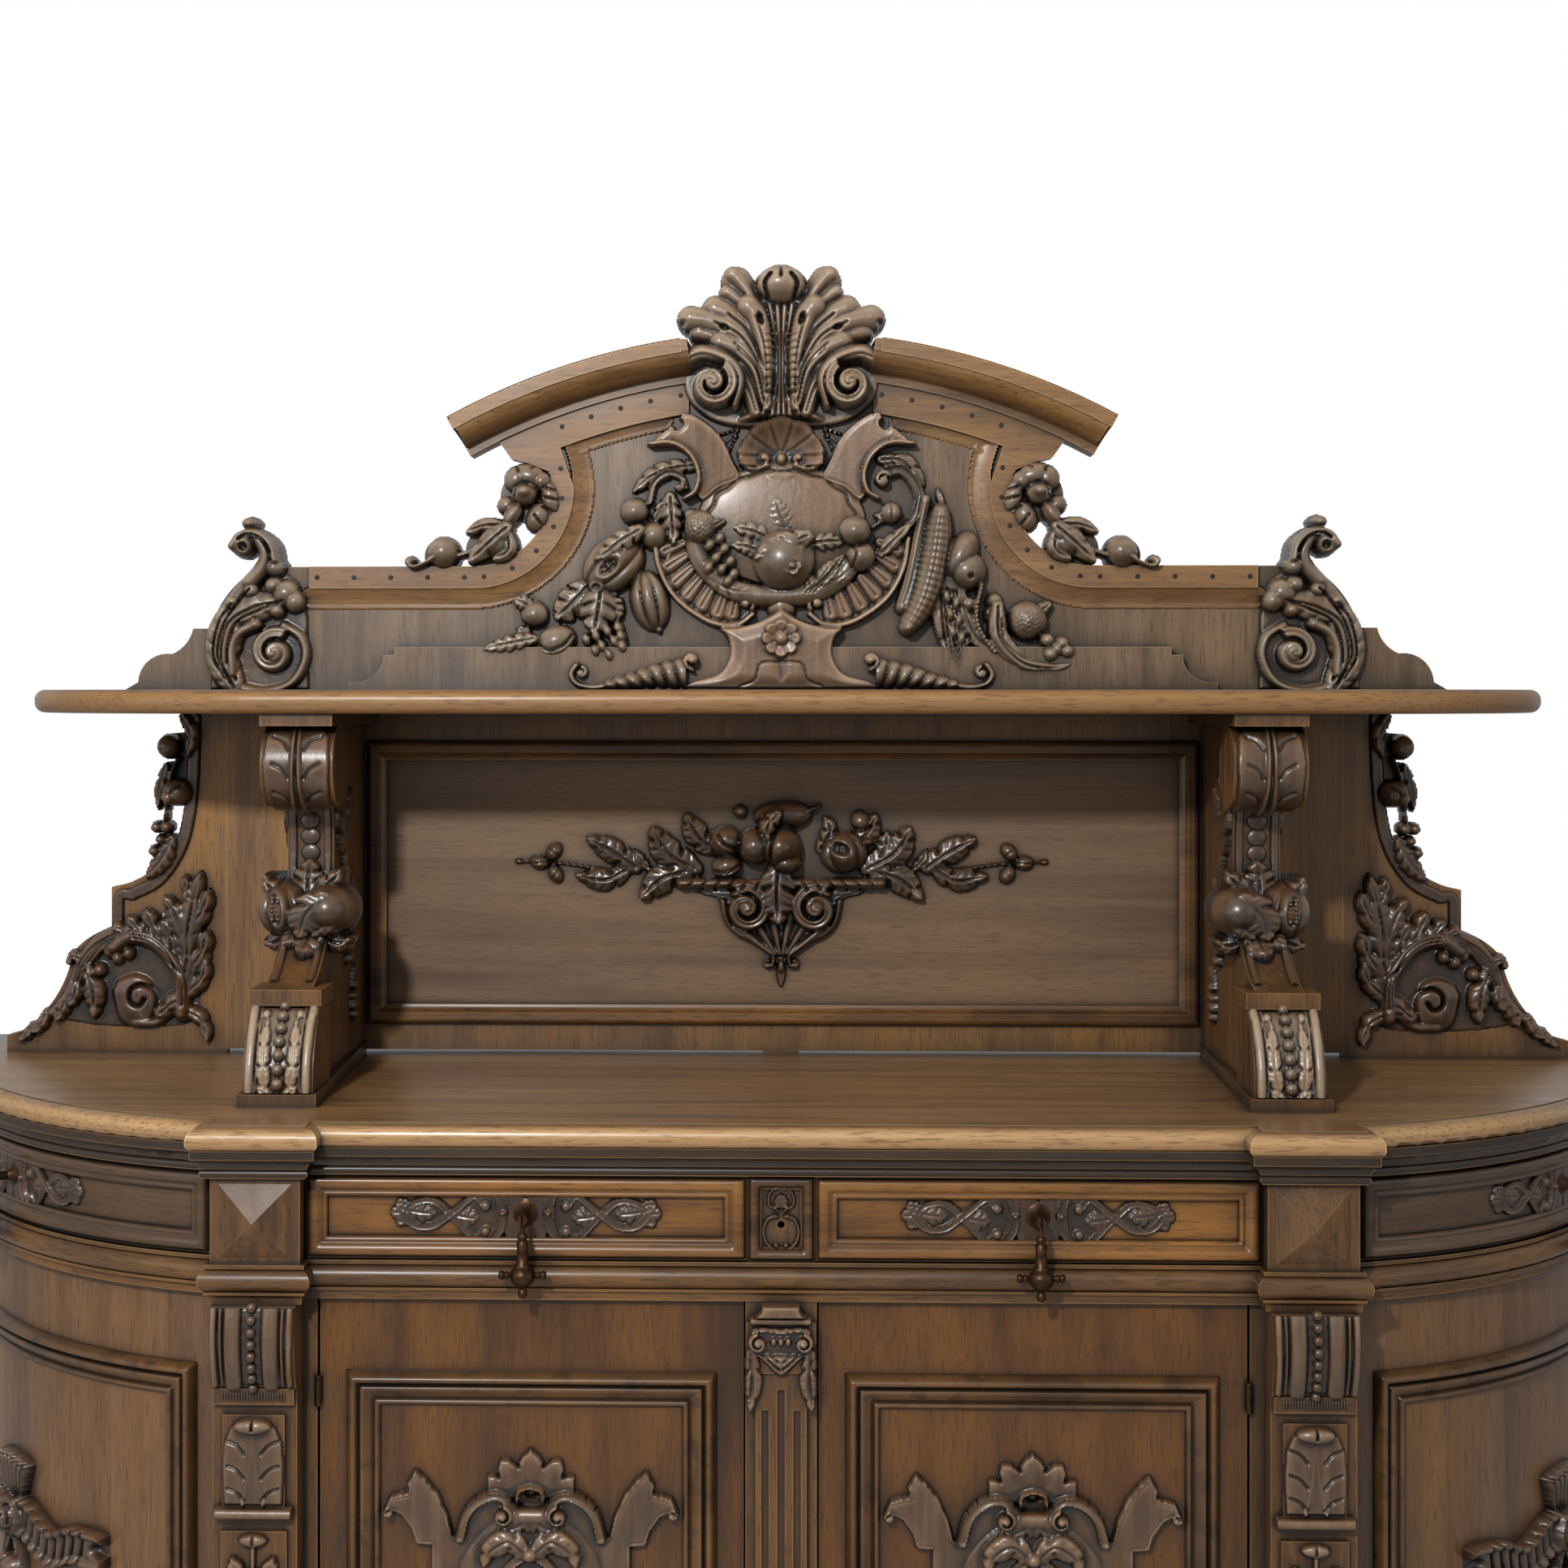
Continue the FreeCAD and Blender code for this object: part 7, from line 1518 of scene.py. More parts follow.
def carved_wood(name, tones, warm="#5a3a20", roughness=0.36, coat=0.5, dust_and_top_light=0.42):
    """Walnut, carved, stained and waxed: near black in the cuts as old polish and painted shade, dark below as
    painted shade, pale above as a dusty surface and painted top light.
    """
    material, tree = start_material(name)
    figured, pores, stain = grain_fields(tree, "Z", 14, 2.4)
    # painted shade and sheen: the point field runs the ramp from near black in cuts, rims and walls to the
    # crest tone on crests
    wear_and_shade = add_node(tree, "ShaderNodeAttribute", attribute_name="wear_and_shade",
        attribute_type="GEOMETRY").outputs["Fac"]
    ragged = add_node(tree, "ShaderNodeMath", {0: figured, 1: -0.5}, operation="ADD").outputs["Value"]
    level = add_node(tree, "ShaderNodeMath", {0: ragged, 1: 0.7, 2: wear_and_shade},
        operation="MULTIPLY_ADD").outputs["Value"]
    place = add_node(tree, "ShaderNodeMapRange", {"Value": level, "From Min": -1,
        "From Max": 1}).outputs["Result"]
    stops = list(zip((0.14, 0.36, 0.5, 0.95), tones))
    colour = add_node(tree, "ShaderNodeValToRGB", {0: place}, stops).outputs["Color"]
    spot = add_node(tree, "ShaderNodeTexCoord").outputs["Object"]
    patches = add_node(tree, "ShaderNodeTexNoise", {"Vector": spot, "Scale": 24, "Detail": 3,
        "Roughness": 0.6})
    colour = tint(tree, colour, patches.outputs["Fac"], 0.5, 0.68, 0.6, warm)
    upward = facing_up(tree)
    # painted shade on undersides; upward slopes paler, dusty and with painted top light; warm brown on level
    # tops
    for low, high, most, tone in ((0.1, -0.65, 0.7, tones[1]), (0.15, 0.6, dust_and_top_light, tones[3]),
            (0.6, 0.95, 0.75, warm)):
        colour = tint(tree, colour, upward, low, high, most, tone)
    # painted shade in the cuts and between pieces, darker where little open sky is seen, with old polish there
    colour = dirt_and_painted_shade(tree, colour, 18, tones[0], 0.9, 0.38)
    facets = add_node(tree, "ShaderNodeTexNoise", {"Vector": spot, "Scale": 130, "Detail": 2,
        "Distortion": 0.4})
    marks = add_node(tree, "ShaderNodeMath", {0: facets.outputs["Fac"], 1: 4.5, 2: pores},
        operation="MULTIPLY_ADD")
    close_wood(tree, colour, stain, marks.outputs["Value"], roughness, coat, 0.5, 0.26)
    return material


def cast_metal(name, tones):
    """Bronze or brass, cast and lacquered, browned by age: brown in hollows, bright where fingers pull."""
    material, tree = start_material(name)
    spot = add_node(tree, "ShaderNodeTexCoord").outputs["Object"]
    tarnish = add_node(tree, "ShaderNodeTexNoise", {"Vector": spot, "Scale": 160, "Detail": 4}).outputs["Fac"]
    stops = list(zip((0.3, 0.7), tones))
    colour = add_node(tree, "ShaderNodeValToRGB", {0: tarnish}, stops).outputs["Color"]
    colour = edge_wear_and_highlight(tree, colour, 1.6, tones[2], 0.8)
    colour = dirt_and_painted_shade(tree, colour, 9, tones[0], 0.9)
    gloss = add_node(tree, "ShaderNodeMapRange", {"Value": tarnish, "To Min": 0.3,
        "To Max": 0.5}).outputs["Result"]
    shader = add_node(tree, "ShaderNodeBsdfPrincipled", {"Base Color": colour, "Roughness": gloss,
        "Metallic": 0.85})
    add_node(tree, "ShaderNodeOutputMaterial", {"Surface": shader.outputs["BSDF"]})
    return material


# Settings a user would change


def colour_setting(name, hex_colour, text):
    """A colour to pick, with its default given as sRGB hex."""
    return bpy.props.FloatVectorProperty(
        name=name, description=text, default=linear(hex_colour), subtype="COLOR", size=4, min=0, max=1)


class SideboardFinish(bpy.types.PropertyGroup):
    """Colours of the woods and the fittings."""
    walnut_dark: colour_setting("Walnut dark", "#281a10", "Dark streaks of the walnut rails")
    walnut_mid: colour_setting("Walnut", "#50361f", "Body colour of the walnut rails")
    walnut_light: colour_setting("Walnut light", "#6a4a29", "Light streaks of the walnut rails")
    walnut_gold: colour_setting("Walnut gold", "#7c5424", "Faded golden patches")
    # the worn arris tone is rubbed stain and also a painted highlight on edges
    worn: colour_setting("Worn arris", "#a87d4b", "Where the stain has rubbed off an edge")
    # the cut tone darkens cuts, rims and walls as old polish and painted shade; the crest tone lightens crests
    # as rubbed wood and painted sheen
    carving_black: colour_setting("Carving cuts", "#140f0b", "Old polish in the deepest cuts")
    carving_crest: colour_setting("Carving crests", "#775a42", "Rubbed high places of the carving")
    bronze_dark: colour_setting("Bronze dark", "#2a1c12", "Browned bronze")
    bronze_bright: colour_setting("Bronze bright", "#7a5635", "Rubbed bronze")


class SideboardStage(bpy.types.PropertyGroup):
    """Camera and light."""
    camera_distance: bpy.props.FloatProperty(
        name="Camera distance", default=3.053, unit="LENGTH", description="From the wall plane to the lens")
    camera_height: bpy.props.FloatProperty(
        name="Camera height", default=1.417, unit="LENGTH", description="Height of the lens over the floor")
    camera_yaw: bpy.props.FloatProperty(
        name="Camera yaw", default=math.radians(1.6), subtype="ANGLE", description="Turn to the left")
    lens: bpy.props.FloatProperty(name="Lens", default=54.3, description="Focal length on a 36 mm sensor")
    shift_x: bpy.props.FloatProperty(name="Shift across", default=0.044,
        description="Framing of the photograph")
    shift_y: bpy.props.FloatProperty(name="Shift up", default=-0.0575,
        description="Framing of the photograph")
    key_power: bpy.props.FloatProperty(
        name="Key light", default=82, unit="POWER", description="Lamp above the camera")
    fill_power: bpy.props.FloatProperty(
        name="Fill light", default=26, unit="POWER", description="Broad soft lamps")
    sky: bpy.props.FloatProperty(name="Sky", default=0.24, description="Strength of the even white light")
    floor: colour_setting("Floor", "#e9e7e4", "Pale floor")


# Steps that dress the frame


# Reliefs drawn on the left half: the right half is their mirror
HALVES = (("left", 1), ("right", -1))
# Reliefs drawn about their own middle: the same on both sides
TWINS = (("left", -1), ("right", 1))
WOODS = {}


def pairs(*kinds, end=""):
    """The names of the left and right pieces of each kind."""
    return [f"{kind}_{side}{end}" for kind in kinds for side in SIDES]


NODE_WOODS = {
    "top": ["worktop"],
    "shelf": ["gallery_shelf"],
    "frieze": ["frieze_frame"],
    "rail": ["waist_frame", "plinth", "upper_back_moulding"] + pairs("door", "bow_door", end="_moulding"),
    "upright": ["pilasters", "pilaster_blocks", "centre_pilaster", "lock_block", "end_posts", "wings",
    "brackets"]
    + pairs("door", "bow_door", end="_carving"),
    "wing": ["upper_back_frame"],
    "veneer": pairs("door"),
    "bow_veneer": pairs("bow_door"),
    "drawer": pairs("drawer", end="_front"),
    "bow_drawer": pairs("bow_drawer", end="_front"),
    "panel": ["upper_back_panel", "upper_back_carving"],
    "crest": ["crest_mouldings", "crest_palmette", "crest_carving", "crest_volutes"],
    "field": ["crest_board", "crest_plinth"],
    "partition": ["partitions"],
    "inner": ["bottom_board", "carcass_back", "dust_boards", "cupboard_shelves"]
    + pairs("drawer", "bow_drawer", end="_box"),
    "bronze": pairs("drawer", "bow_drawer", end="_pull_eye") + pairs("drawer", "bow_drawer",
    end="_pull_drop"),
    "brass": ["hinge_pins"] + pairs("door", "bow_door", end="_hinges"),
}


def carve(name, relief, place, wood, body="carcass", back=BACK, flip=False,
        instead=None):
    """A carved piece: the relief laid on its ground, finished and set to ride on a body."""
    add_piece(name, relief.mesh(name, place, back, flip), body, wood, instead)


class SIDEBOARD_OT_finishes(bpy.types.Operator):
    """Make the woods and metals and put them on the frame's own pieces"""
    bl_idname = "sideboard.finishes"
    bl_label = "Finishes"

    def execute(self, context):
        s = context.scene.sideboard_finish
        rail = (s.walnut_dark, s.walnut_mid, s.walnut_light, s.walnut_gold)
        oak = ("#6d4e30", "#8d6b45", "#a5835b", "#9b7747")
        rough_oak = {"roughness": 0.6, "coat": 0.0, "edge_strength": 0.3, "dirt_and_shade_strength": 0.4}
        for key, name, tones, grain, worn, look in (
            # mid brown rails with wide golden patches
            ("rail", "waxed_walnut_level", rail, "XY", s.worn, {"coat": 0.2, "fading": 0.75}),
            # painted shade: walnut made nearly black brown for the shade under the worktop
            ("frieze", "waxed_walnut_shaded", ("#1c140e", "#2b2017", "#382a1e", "#412f1c"), "XY", s.worn,
             {"coat": 0.2}),
            # fine streaks that run with a moulding whichever way it goes
            ("moulding", "waxed_walnut_moulding", rail, "XYZ", s.worn, {"coat": 0.22, "figure": 9}),
            # duller posts and blocks with upright grain
            ("upright", "waxed_walnut_upright", rail, "Z", s.worn, {"roughness": 0.5, "coat": 0.12}),
            # golden mouldings that catch the light over the crest
            ("crest", "golden_walnut_level", ("#4a3422", "#765638", "#93704a", "#9a703a"), "X", "#d3a871",
             {"roughness": 0.46, "coat": 0.16}),
            # dry grey brown field behind the crest's carving
            ("field", "faded_walnut_upright", ("#413226", "#66523f", "#7d6751", "#826443"), "Z", "#b89a78",
             {"roughness": 0.47}),
            # smooth light top; its pale edge band is rubbed stain and painted highlight, darker below as
            # painted shade
            ("top", "worn_walnut_top", ("#4c3320", "#805d3f", "#9a7753", "#9b7742"), "X", "#e2bf8a",
             {"roughness": 0.34, "edge_strength": 0.9, "sides": "#b58f60"}),
            # darker shelf, its edge golden with rubbed stain and painted highlight, darker below as painted
            # shade
            ("shelf", "worn_walnut_shelf", ("#4f3520", "#74553a", "#876748", "#8f6b3a"), "X", "#c9a05f",
             {"coat": 0.14, "edge_strength": 0.9, "sides": "#946b3b"}),
            # red brown door faces with broad upright figure
            ("veneer", "walnut_veneer_upright", ("#36200f", "#4d2e12", "#5c3915", "#7c4e12"), "Z", s.worn,
             {"figure": 30, "roughness": 0.38, "coat": 0.2}),
            # paler bowed doors
            ("bow_veneer", "walnut_veneer_bowed", ("#432f1f", "#63462e", "#74543b", "#835a28"), "Z", s.worn,
             {"figure": 30}),
            # warm orange brown drawer fronts with level figure
            ("drawer", "walnut_veneer_level", ("#442b15", "#6b4723", "#82582a", "#9c6722"), "XY", s.worn,
             {"figure": 34, "roughness": 0.38, "coat": 0.2}),
            # darker bowed drawer fronts
            ("bow_drawer", "walnut_veneer_dark", ("#32241a", "#4c3827", "#5f4834", "#674a2d"), "XY", s.worn,
             {"figure": 34, "coat": 0.2}),
            # even grey brown panel at the gallery's back
            ("panel", "walnut_panel_level", ("#523f30", "#6b5440", "#775f48", "#7c5e3c"), "X", s.worn,
             {"figure": 30, "roughness": 0.45, "coat": 0.2}),
            # dry bare boards inside, and the partitions with their grain to the back
            ("inner", "planed_oak_inside", oak, "X", "#c3a173", rough_oak),
            ("partition", "planed_oak_partition", oak, "Y", "#c3a173", rough_oak),
            # golden upright boards of the gallery
            ("wing", "golden_walnut_upright", ("#4a3320", "#694b2f", "#80603c", "#a06f2a"), "Z", s.worn,
             {"figure": 30, "roughness": 0.42, "coat": 0.2, "dirt_and_shade_strength": 0.75}),
            # painted shade: near black flat discs stand for the punched holes, for old polish and the shade
            # inside them
            ("hole", "dark_polish_and_painted_shade_in_holes", ("#120d09", "#19120c", "#201810", "#1c150e"), "Z", "#20170f",
             {"roughness": 0.6, "coat": 0.0}),
        ):
            WOODS[key] = polished_wood(name, tones, grain, worn, **look)
        for key, name, tones, look in (
            # brown black carving of the gallery and the drawers
            ("carved", "carved_walnut", (s.carving_black, "#21170f", "#38271a", s.carving_crest),
            {"dust_and_top_light": 0.32}),
            # palest work, dusty and dry, at the very top and the brackets' feet; its upward faces also take
            # painted top light
            ("carved_top", "carved_walnut_pale", ("#1f1813", "#40342a", "#7a6550", "#b9a288"),
            {"warm": "#84603f"}),
            # faded fruit and scrolls of the crest
            ("carved_pale", "carved_walnut_faded", ("#15100b", "#281e16", "#544434", "#a8937c"),
            {"warm": "#6b4829"}),
            # clean brown carving of the doors and pilasters
            ("carved_door", "carved_walnut_brown", (s.carving_black, "#281a10", "#4d3725", "#9c7f62"),
            {"dust_and_top_light": 0.15}),
            # darkest and glossiest, under the shelf
            ("carved_dark", "carved_walnut_dark", (s.carving_black, "#140d08", "#2c1e13", "#7d6249"),
             {"warm": "#482a14", "roughness": 0.3, "dust_and_top_light": 0.2}),
            # golden shield with less wax
            ("carved_shield", "carved_walnut_golden", ("#1a140f", "#3b2a1b", "#725841", "#bb9f83"),
             {"warm": "#805a38", "roughness": 0.42, "coat": 0.35}),
        ):
            WOODS[key] = carved_wood(name, tones, **look)
        # brown pulls, rubbed at the swell, and duller hinges
        WOODS["bronze"] = cast_metal("aged_bronze", (s.bronze_dark, "#4b3320", s.bronze_bright))
        WOODS["brass"] = cast_metal("hinge_brass_dull", ("#2c2113", "#45341d", "#6b5230"))
        for wood, nodes in NODE_WOODS.items():
            for name in nodes:
                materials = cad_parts[name].data.materials
                materials.clear()
                materials.append(WOODS[wood])
        return {"FINISHED"}


class SIDEBOARD_OT_crest(bpy.types.Operator):
    """Carve the palmette, the shield with its fruit, the horns, the end scrolls and the flower sprays"""
    bl_idname = "sideboard.crest"
    bl_label = "Crest carving"

    def execute(self, context):
        carve("crest_palmette_leaves", palmette_relief(), on_plane(CREST_FACE + 10), "carved_top", back=-36,
              instead="crest_palmette")
        carve("crest_shield", shield_relief(), on_plane(CREST_FACE), "carved_shield", instead="crest_carving")
        for name, relief in (
            ("left", left_swag_relief()), ("middle", middle_swag_relief()), ("right", right_swag_relief()),
        ):
            carve(f"crest_swag_{name}", relief, on_plane(CREST_FACE), "carved_pale")
        mirrored = (
            ("cornice_roll", cornice_roll_relief(), CREST_FACE, BACK, "crest", "walnut"),
            ("cove", cove_relief(), CREST_FACE, BACK, "crest", "walnut"),
            ("horn", horn_relief(), CREST_PLINTH_FACE, BACK, "carved_pale", "carved_walnut"),
            ("scroll", console_relief(), CREST_FACE, -26, "carved_pale", "carved_walnut"),
            ("spray", spray_relief(), CREST_FACE, -24, "carved_pale", "carved_walnut"),
        )
        for side, sign in HALVES:
            for name, relief, depth, back, wood, slot in mirrored:
                stands_for = "crest_volutes" if (name, side) == ("scroll", "left") else None
                carve(f"crest_{name}_{side}", relief, on_plane(depth, sign), wood, back=back,
                      flip=sign < 0, instead=stands_for)
        return {"FINISHED"}


class SIDEBOARD_OT_gallery(bpy.types.Operator):
    """Carve the wings, the panel's fruit spray and the brackets of the gallery"""
    bl_idname = "sideboard.gallery"
    bl_label = "Gallery carving"

    def execute(self, context):
        carve("gallery_spray", spray_panel_relief(), on_plane(PANEL_FACE), "carved_dark",
              instead="upper_back_carving")
        wing, fruit, cheek = wing_relief(), bracket_fruit_relief(), bracket_side_relief()
        bent = (
            ("roll_leaf", roll_relief(), ROLL, "carved_door"),
            ("web_leaves", web_relief(), WEB, "carved"),
            ("foot_leaves", foot_relief(), FOOT, "carved_top"),
        )
        for side, sign in HALVES:
            turned = sign < 0
            name = f"wing_board_{side}"
            board = board_mesh(name, wing_outline(), -20, on_plane(WING_FACE, sign))
            add_piece(name, board, "carcass", "wing", "wings" if side == "left" else None)
            carve(f"wing_carving_{side}", wing, on_plane(WING_FACE, sign), "carved", back=-12, flip=turned)
            for name, relief, path, wood in bent:
                carve(f"bracket_{name}_{side}", relief, on_path(path, sign, -PILASTER_X), wood, flip=turned)
            carve(f"bracket_fruit_{side}", fruit, on_plane(BRACKET_FRUIT_FACE, sign, -PILASTER_X),
                  "carved_dark", back=-24, flip=turned)
            for name, out in (("inner", 1), ("outer", -1)):
                place = on_cheek(out * BRACKET_HALF - PILASTER_X, out, sign)
                carve(f"bracket_cheek_{name}_{side}", cheek, place, "carved", flip=turned == (out > 0))
        ends = (-PILASTER_X, PILASTER_X)
        bead_rows("bracket_coins", [[(x, d + 1.5, z) for d, z in COIN_LINE] for x in ends], 4, 11.5,
            (1, 0.25, 0.9),
                  "carved")
        bead_rows("bracket_beads", [[(x, d + 4, z) for d, z in BEAD_LINE] for x in ends], 7, 7.2,
            (0.95, 1, 1.05),
                  "carved_pale")
        return {"FINISHED"}


class SIDEBOARD_OT_dots(bpy.types.Operator):
    """Set the row of near black flat discs that stand for punched dots round the crest's border, dark for old
    polish and painted shade
    """
    bl_idname = "sideboard.dots"
    bl_label = "Punched dots"

    def execute(self, context):
        for name, count, line in (
            ("arch", 5, round_line(ARCH_MIDDLE, ARCH_RADIUS + DOT_INSET, range(81, 69, -1))),
            ("sweep", 6, round_line(SWEEP_MIDDLE, SWEEP_RADIUS - DOT_INSET, range(168, 268, 5))),
            ("level", 5, [(402, LEVEL_Z + DOT_INSET), (590, LEVEL_Z + DOT_INSET)]),
        ):
            paths = [[(sign * x, CREST_FACE + 9, z) for x, z in line] for sign in (-1, 1)]
            bead_rows(f"crest_dots_{name}", paths, count, 3.2, (1, 0.12, 1), "hole")
        return {"FINISHED"}


class SIDEBOARD_OT_doors(bpy.types.Operator):
    """Carve the cartouches of the doors and the bound sheaves of the bowed doors"""
    bl_idname = "sideboard.doors"
    bl_label = "Door carving"

    def execute(self, context):
        cartouche, sheaf = cartouche_relief(), sheaf_relief()
        edge, bow_edge = edge_relief(399, 489, DOOR_EDGE), edge_relief(592, 489, DOOR_EDGE)
        for side, sign in TWINS:
            turned = sign > 0
            for kind, name, relief, place, wood, slot, flip, stands_for in (
                ("door", "edge", edge, on_plane(DOOR_FACE, 1, sign * DOOR_X, DOOR_Z), "moulding", "walnut",
                 False, "moulding"),
                ("bow_door", "edge", bow_edge, on_bow(DOOR_FACE, BOW_ANGLE + 0.6, sign, DOOR_Z), "moulding",
                "walnut",
                 turned, "moulding"),
                ("door", "cartouche", cartouche, on_plane(DOOR_FACE, 1, sign * DOOR_X), "carved_door",
                 "carved_walnut", False, "carving"),
                ("bow_door", "sheaf", sheaf, on_bow(DOOR_FACE, BOW_ANGLE, sign), "carved", "carved_walnut",
                 turned, "carving"),
            ):
                carve(f"{kind}_{name}_{side}", relief, place, wood, f"{kind}_{side}", flip=flip,
                      instead=f"{kind}_{side}_{stands_for}")
        return {"FINISHED"}


class SIDEBOARD_OT_drawers(bpy.types.Operator):
    """Carve the plates behind the pulls and the lock's surround, and turn the drops of the pulls"""
    bl_idname = "sideboard.drawers"
    bl_label = "Drawer carving"

    def execute(self, context):
        plate = drawer_plate_relief()
        edge, bow_edge = edge_relief(470, 87, DRAWER_EDGE), edge_relief(646, 87, DRAWER_EDGE)
        carve("lock_edge", edge_relief(70, 90, LOCK_EDGE), on_plane(DRAWER_FACE, 1, 0, DRAWER_Z), "rail")
        for side, sign in TWINS:
            turned, straight, bowed = sign > 0, f"drawer_{side}", f"bow_drawer_{side}"
            carve(f"drawer_plate_{side}", plate, on_plane(FIELD_FACE, 1, sign * DRAWER_X, PULL_Z), "carved",
                straight)
            carve(f"bow_drawer_plate_{side}", plate, on_bow(FIELD_FACE, BOW_ANGLE, sign, PULL_Z), "carved",
                  bowed, flip=turned)
            carve(f"drawer_edge_{side}", edge, on_plane(DRAWER_FACE, 1, sign * DRAWER_X, DRAWER_Z), "drawer",
                  straight)
            carve(f"bow_drawer_edge_{side}", bow_edge, on_bow(DRAWER_FACE, BOW_ANGLE + 0.3, sign, DRAWER_Z),
                  "bow_drawer", bowed, flip=turned)
        for kind, ground in (
            ("drawer", lambda sign: on_plane(PULL_FACE, 1, sign * DRAWER_X)),
            ("bow_drawer", lambda sign: on_bow(PULL_FACE, BOW_ANGLE, sign)),
        ):
            for side, sign in TWINS:
                name, pull = f"{kind}_drop_{side}", f"{kind}_{side}_pull"
                mesh = turned_mesh(name, ground(sign), PULL_DROP, PULL_BAR, PULL_BAR_Z)
                add_piece(name, mesh, pull, "bronze", f"{pull}_drop")
        carve("lock_surround", lock_relief(), on_plane(FIELD_FACE), "carved")
        return {"FINISHED"}


class SIDEBOARD_OT_pilasters(bpy.types.Operator):
    """Carve the pilasters' consoles, leaves and falls and the middle capital"""
    bl_idname = "sideboard.pilasters"
    bl_label = "Pilaster carving"

    def execute(self, context):
        front, leaf, drop = console_front_relief(), pilaster_leaf_relief(), pilaster_drop_relief()
        for side, sign in HALVES:
            ground = on_plane(PILASTER_FACE, sign, -PILASTER_X)
            for name, relief, place in (
                ("console", front, on_path(CONSOLE, sign, -PILASTER_X)), ("leaf", leaf, ground),
                ("fall", drop, ground),
            ):
                carve(f"pilaster_{name}_{side}", relief, place, "carved_door", flip=sign < 0)
        carve("centre_capital", capital_relief(), on_plane(face("centre_pilaster")), "carved_door")
        ends = (-PILASTER_X, PILASTER_X)
        bead_rows("pilaster_beads", [[(x, d + 3, z) for d, z in CONSOLE] for x in ends], 8, 5.9, (0.95, 1, 1),
                  "carved_door")
        reeds = [[(x + half, PILASTER_FACE + 1, REED_Z) for half in (-33, 33)] for x in ends]
        bead_rows("pilaster_reeds", reeds, 23, 2, (0.6, 0.9, 2.6), "carved_door")
        return {"FINISHED"}


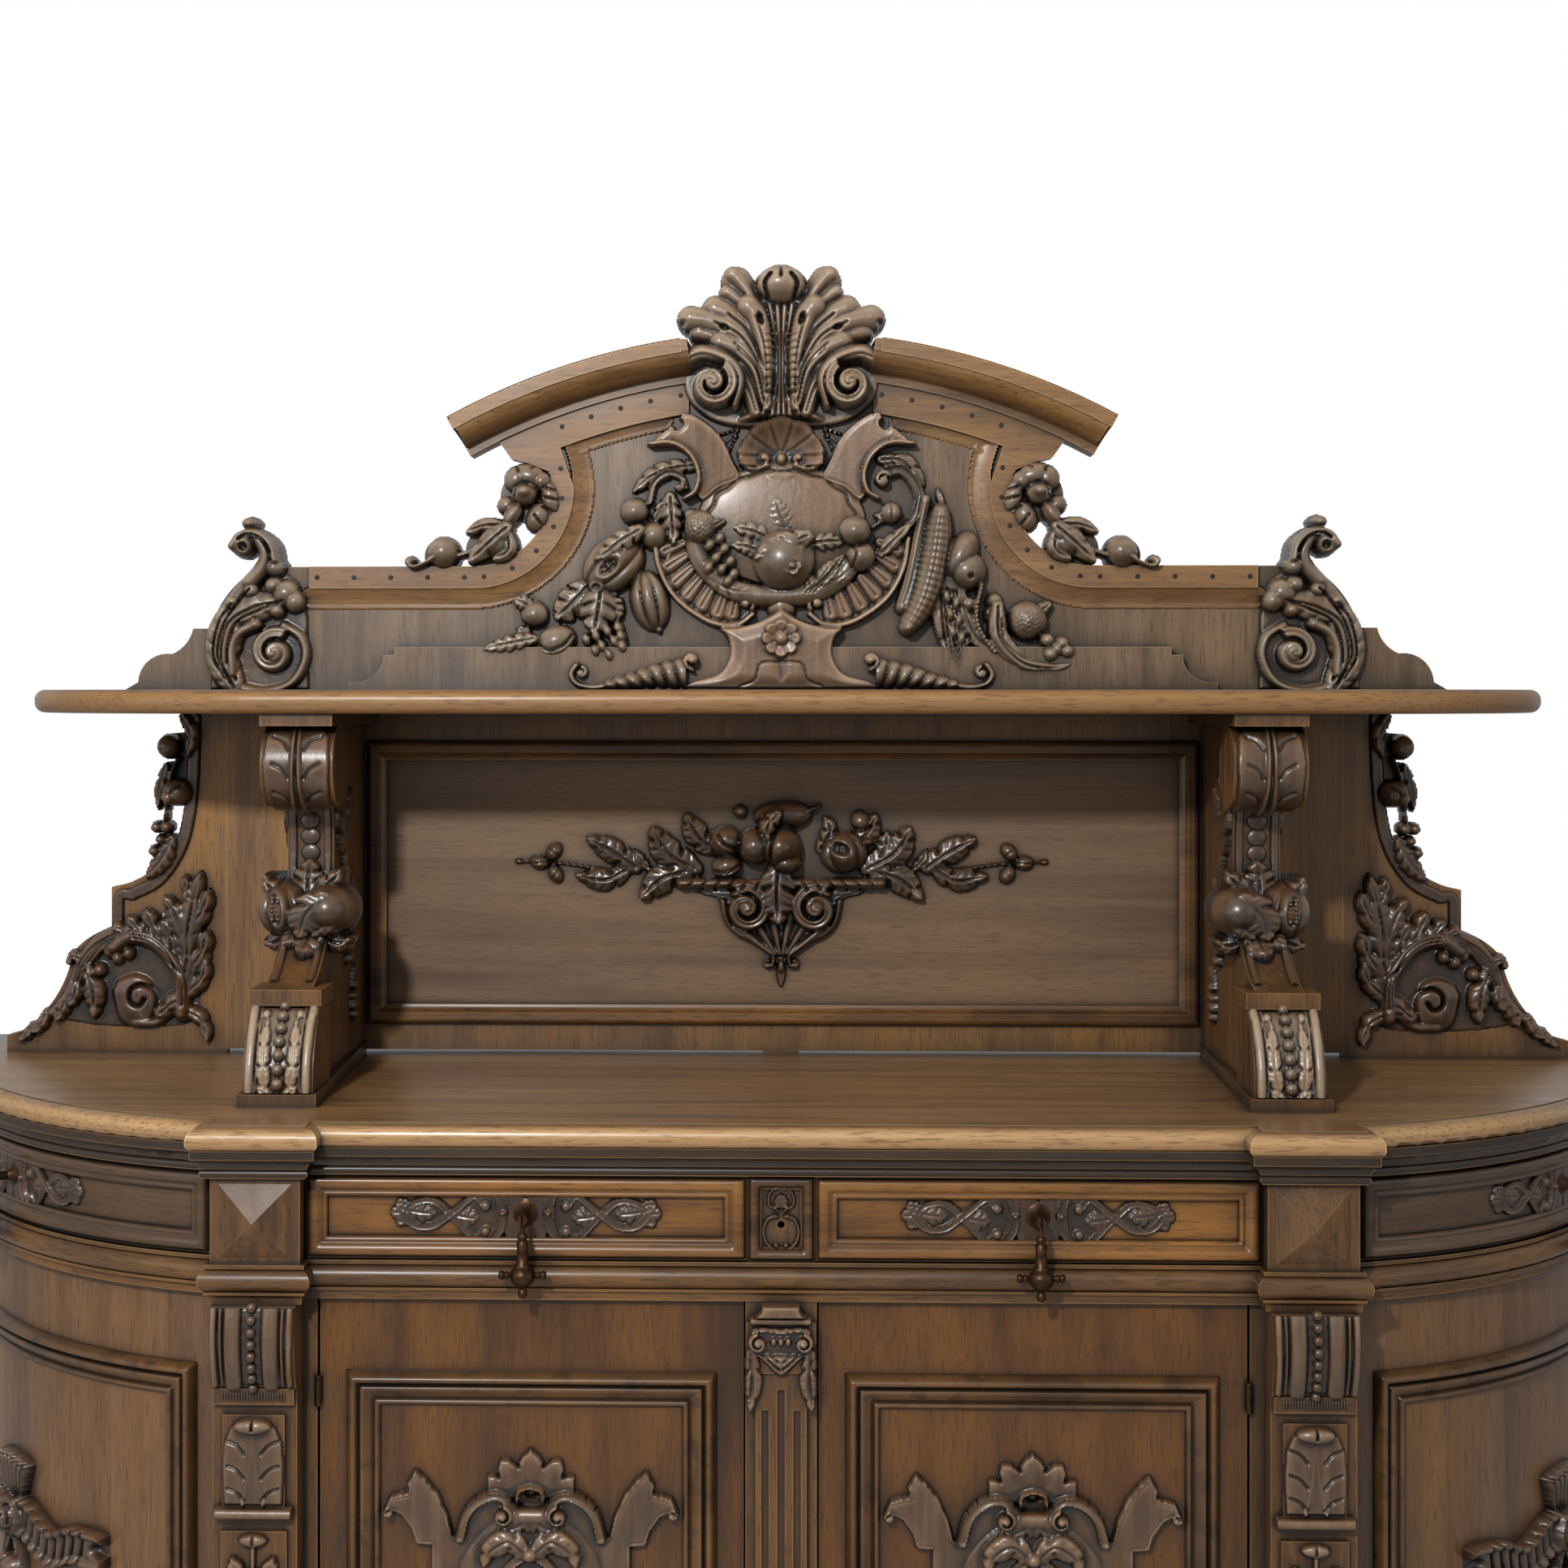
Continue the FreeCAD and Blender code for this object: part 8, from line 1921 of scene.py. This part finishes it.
class SIDEBOARD_OT_stage(bpy.types.Operator):
    """Set the floor, the lamps, the white surround and the camera"""
    bl_idname = "sideboard.stage"
    bl_label = "Stage"

    def execute(self, context):
        scene = context.scene
        s = scene.sideboard_stage
        scene.view_settings.view_transform = "Standard"
        half_width, half_depth = 9, 7
        corners = [(x * half_width, y * half_depth, 0) for x, y in ((-1, -1), (1, -1), (1, 1), (-1, 1))]
        mesh = bpy.data.meshes.new("floor")
        mesh.from_pydata(corners, [], [(0, 1, 2, 3)])
        floor = bpy.data.objects.new("floor", mesh)
        scene.collection.objects.link(floor)
        # matt pale paint, faintly mottled, so the shadow at the foot reads
        material, tree = start_material("painted_floor")
        spot = add_node(tree, "ShaderNodeTexCoord").outputs["Object"]
        mottle = add_node(tree, "ShaderNodeTexNoise", {"Vector": spot, "Scale": 6,
            "Detail": 4}).outputs["Fac"]
        rough = add_node(tree, "ShaderNodeMapRange", {"Value": mottle, "To Min": 0.75, "To Max": 0.9})
        shader = add_node(tree, "ShaderNodeBsdfPrincipled", {
            "Base Color": linear(s.floor), "Roughness": rough.outputs["Result"],
        })
        add_node(tree, "ShaderNodeOutputMaterial", {"Surface": shader.outputs["BSDF"]})
        mesh.materials.append(material)

        # pure white where the camera sees past the part, dimmer in its polish and on its sides
        world = bpy.data.worlds.new("white_surround")
        scene.world = world
        world.use_nodes = True
        tree = world.node_tree
        tree.nodes.clear()
        path = add_node(tree, "ShaderNodeLightPath").outputs
        seen = add_node(tree, "ShaderNodeMath", {0: path["Is Camera Ray"], 1: path["Is Transmission Ray"]},
                        operation="MAXIMUM")
        glossy = add_node(tree, "ShaderNodeMath", {0: path["Is Glossy Ray"], 1: 0.4}, operation="MULTIPLY")
        white = add_node(tree, "ShaderNodeMath", {0: seen.outputs[0], 1: glossy.outputs[0]},
            operation="MAXIMUM")
        strength = add_node(tree, "ShaderNodeMix", {0: white.outputs[0], 2: s.sky, 3: 1.0})
        surround = add_node(tree, "ShaderNodeBackground", {"Color": (1, 1, 1, 1),
            "Strength": strength.outputs[0]})
        add_node(tree, "ShaderNodeOutputWorld", {"Surface": surround.outputs["Background"]})

        aim = (0, 0.1, 1.15)
        for name, place, size, power in (
            ("key_lamp", (-0.8, -2.75, 2.56), 0.16, s.key_power),
            ("left_fill", (-3.4, -2.6, 1.9), 2.4, s.fill_power),
            ("right_fill", (3.4, -2.6, 1.9), 2.4, s.fill_power * 0.45),
            ("top_fill", (0, -1.8, 4.0), 4.0, s.fill_power * 0.4),
        ):
            lamp = bpy.data.lights.new(name, "AREA")
            lamp.size = size
            lamp.energy = power
            stand = bpy.data.objects.new(name, lamp)
            stand.location = place
            x, y, z = (a - p for a, p in zip(aim, place))
            stand.rotation_euler = (math.atan2(math.hypot(x, y), -z), 0, math.atan2(y, x) - math.pi / 2)
            scene.collection.objects.link(stand)

        lens = bpy.data.cameras.new("camera")
        lens.lens = s.lens
        lens.sensor_width = 36
        lens.shift_x = s.shift_x
        lens.shift_y = s.shift_y
        lens.dof.use_dof = False
        camera = bpy.data.objects.new("camera", lens)
        camera.location = (0, WALL * MM - s.camera_distance, s.camera_height)
        camera.rotation_euler = (math.pi / 2, 0, s.camera_yaw)
        scene.collection.objects.link(camera)
        scene.camera = camera
        return {"FINISHED"}


class SIDEBOARD_PT_panel(bpy.types.Panel):
    """Lists the steps that dress the sideboard"""
    bl_idname = "SIDEBOARD_PT_panel"
    bl_label = "Harvest sideboard"
    bl_space_type = "VIEW_3D"
    bl_region_type = "UI"
    bl_category = "Sideboard"

    def draw(self, context):
        for step in STEPS:
            self.layout.operator(step.bl_idname)


STEPS = (
    SIDEBOARD_OT_finishes,
    SIDEBOARD_OT_crest,
    SIDEBOARD_OT_gallery,
    SIDEBOARD_OT_dots,
    SIDEBOARD_OT_doors,
    SIDEBOARD_OT_drawers,
    SIDEBOARD_OT_pilasters,
    SIDEBOARD_OT_stage,
)
GROUPS = (("sideboard_finish", SideboardFinish), ("sideboard_stage", SideboardStage))


def register():
    for name, group in GROUPS:
        bpy.utils.register_class(group)
        setattr(bpy.types.Scene, name, bpy.props.PointerProperty(type=group))
    for kind in STEPS + (SIDEBOARD_PT_panel,):
        bpy.utils.register_class(kind)


def unregister():
    for kind in (SIDEBOARD_PT_panel,) + STEPS[::-1]:
        bpy.utils.unregister_class(kind)
    for name, group in GROUPS:
        delattr(bpy.types.Scene, name)
        bpy.utils.unregister_class(group)


def main():
    """Run every step in order."""
    register()
    for step in STEPS:
        family, action = step.bl_idname.split(".")
        getattr(getattr(bpy.ops, family), action)()


if __name__ == "__main__":
    main()
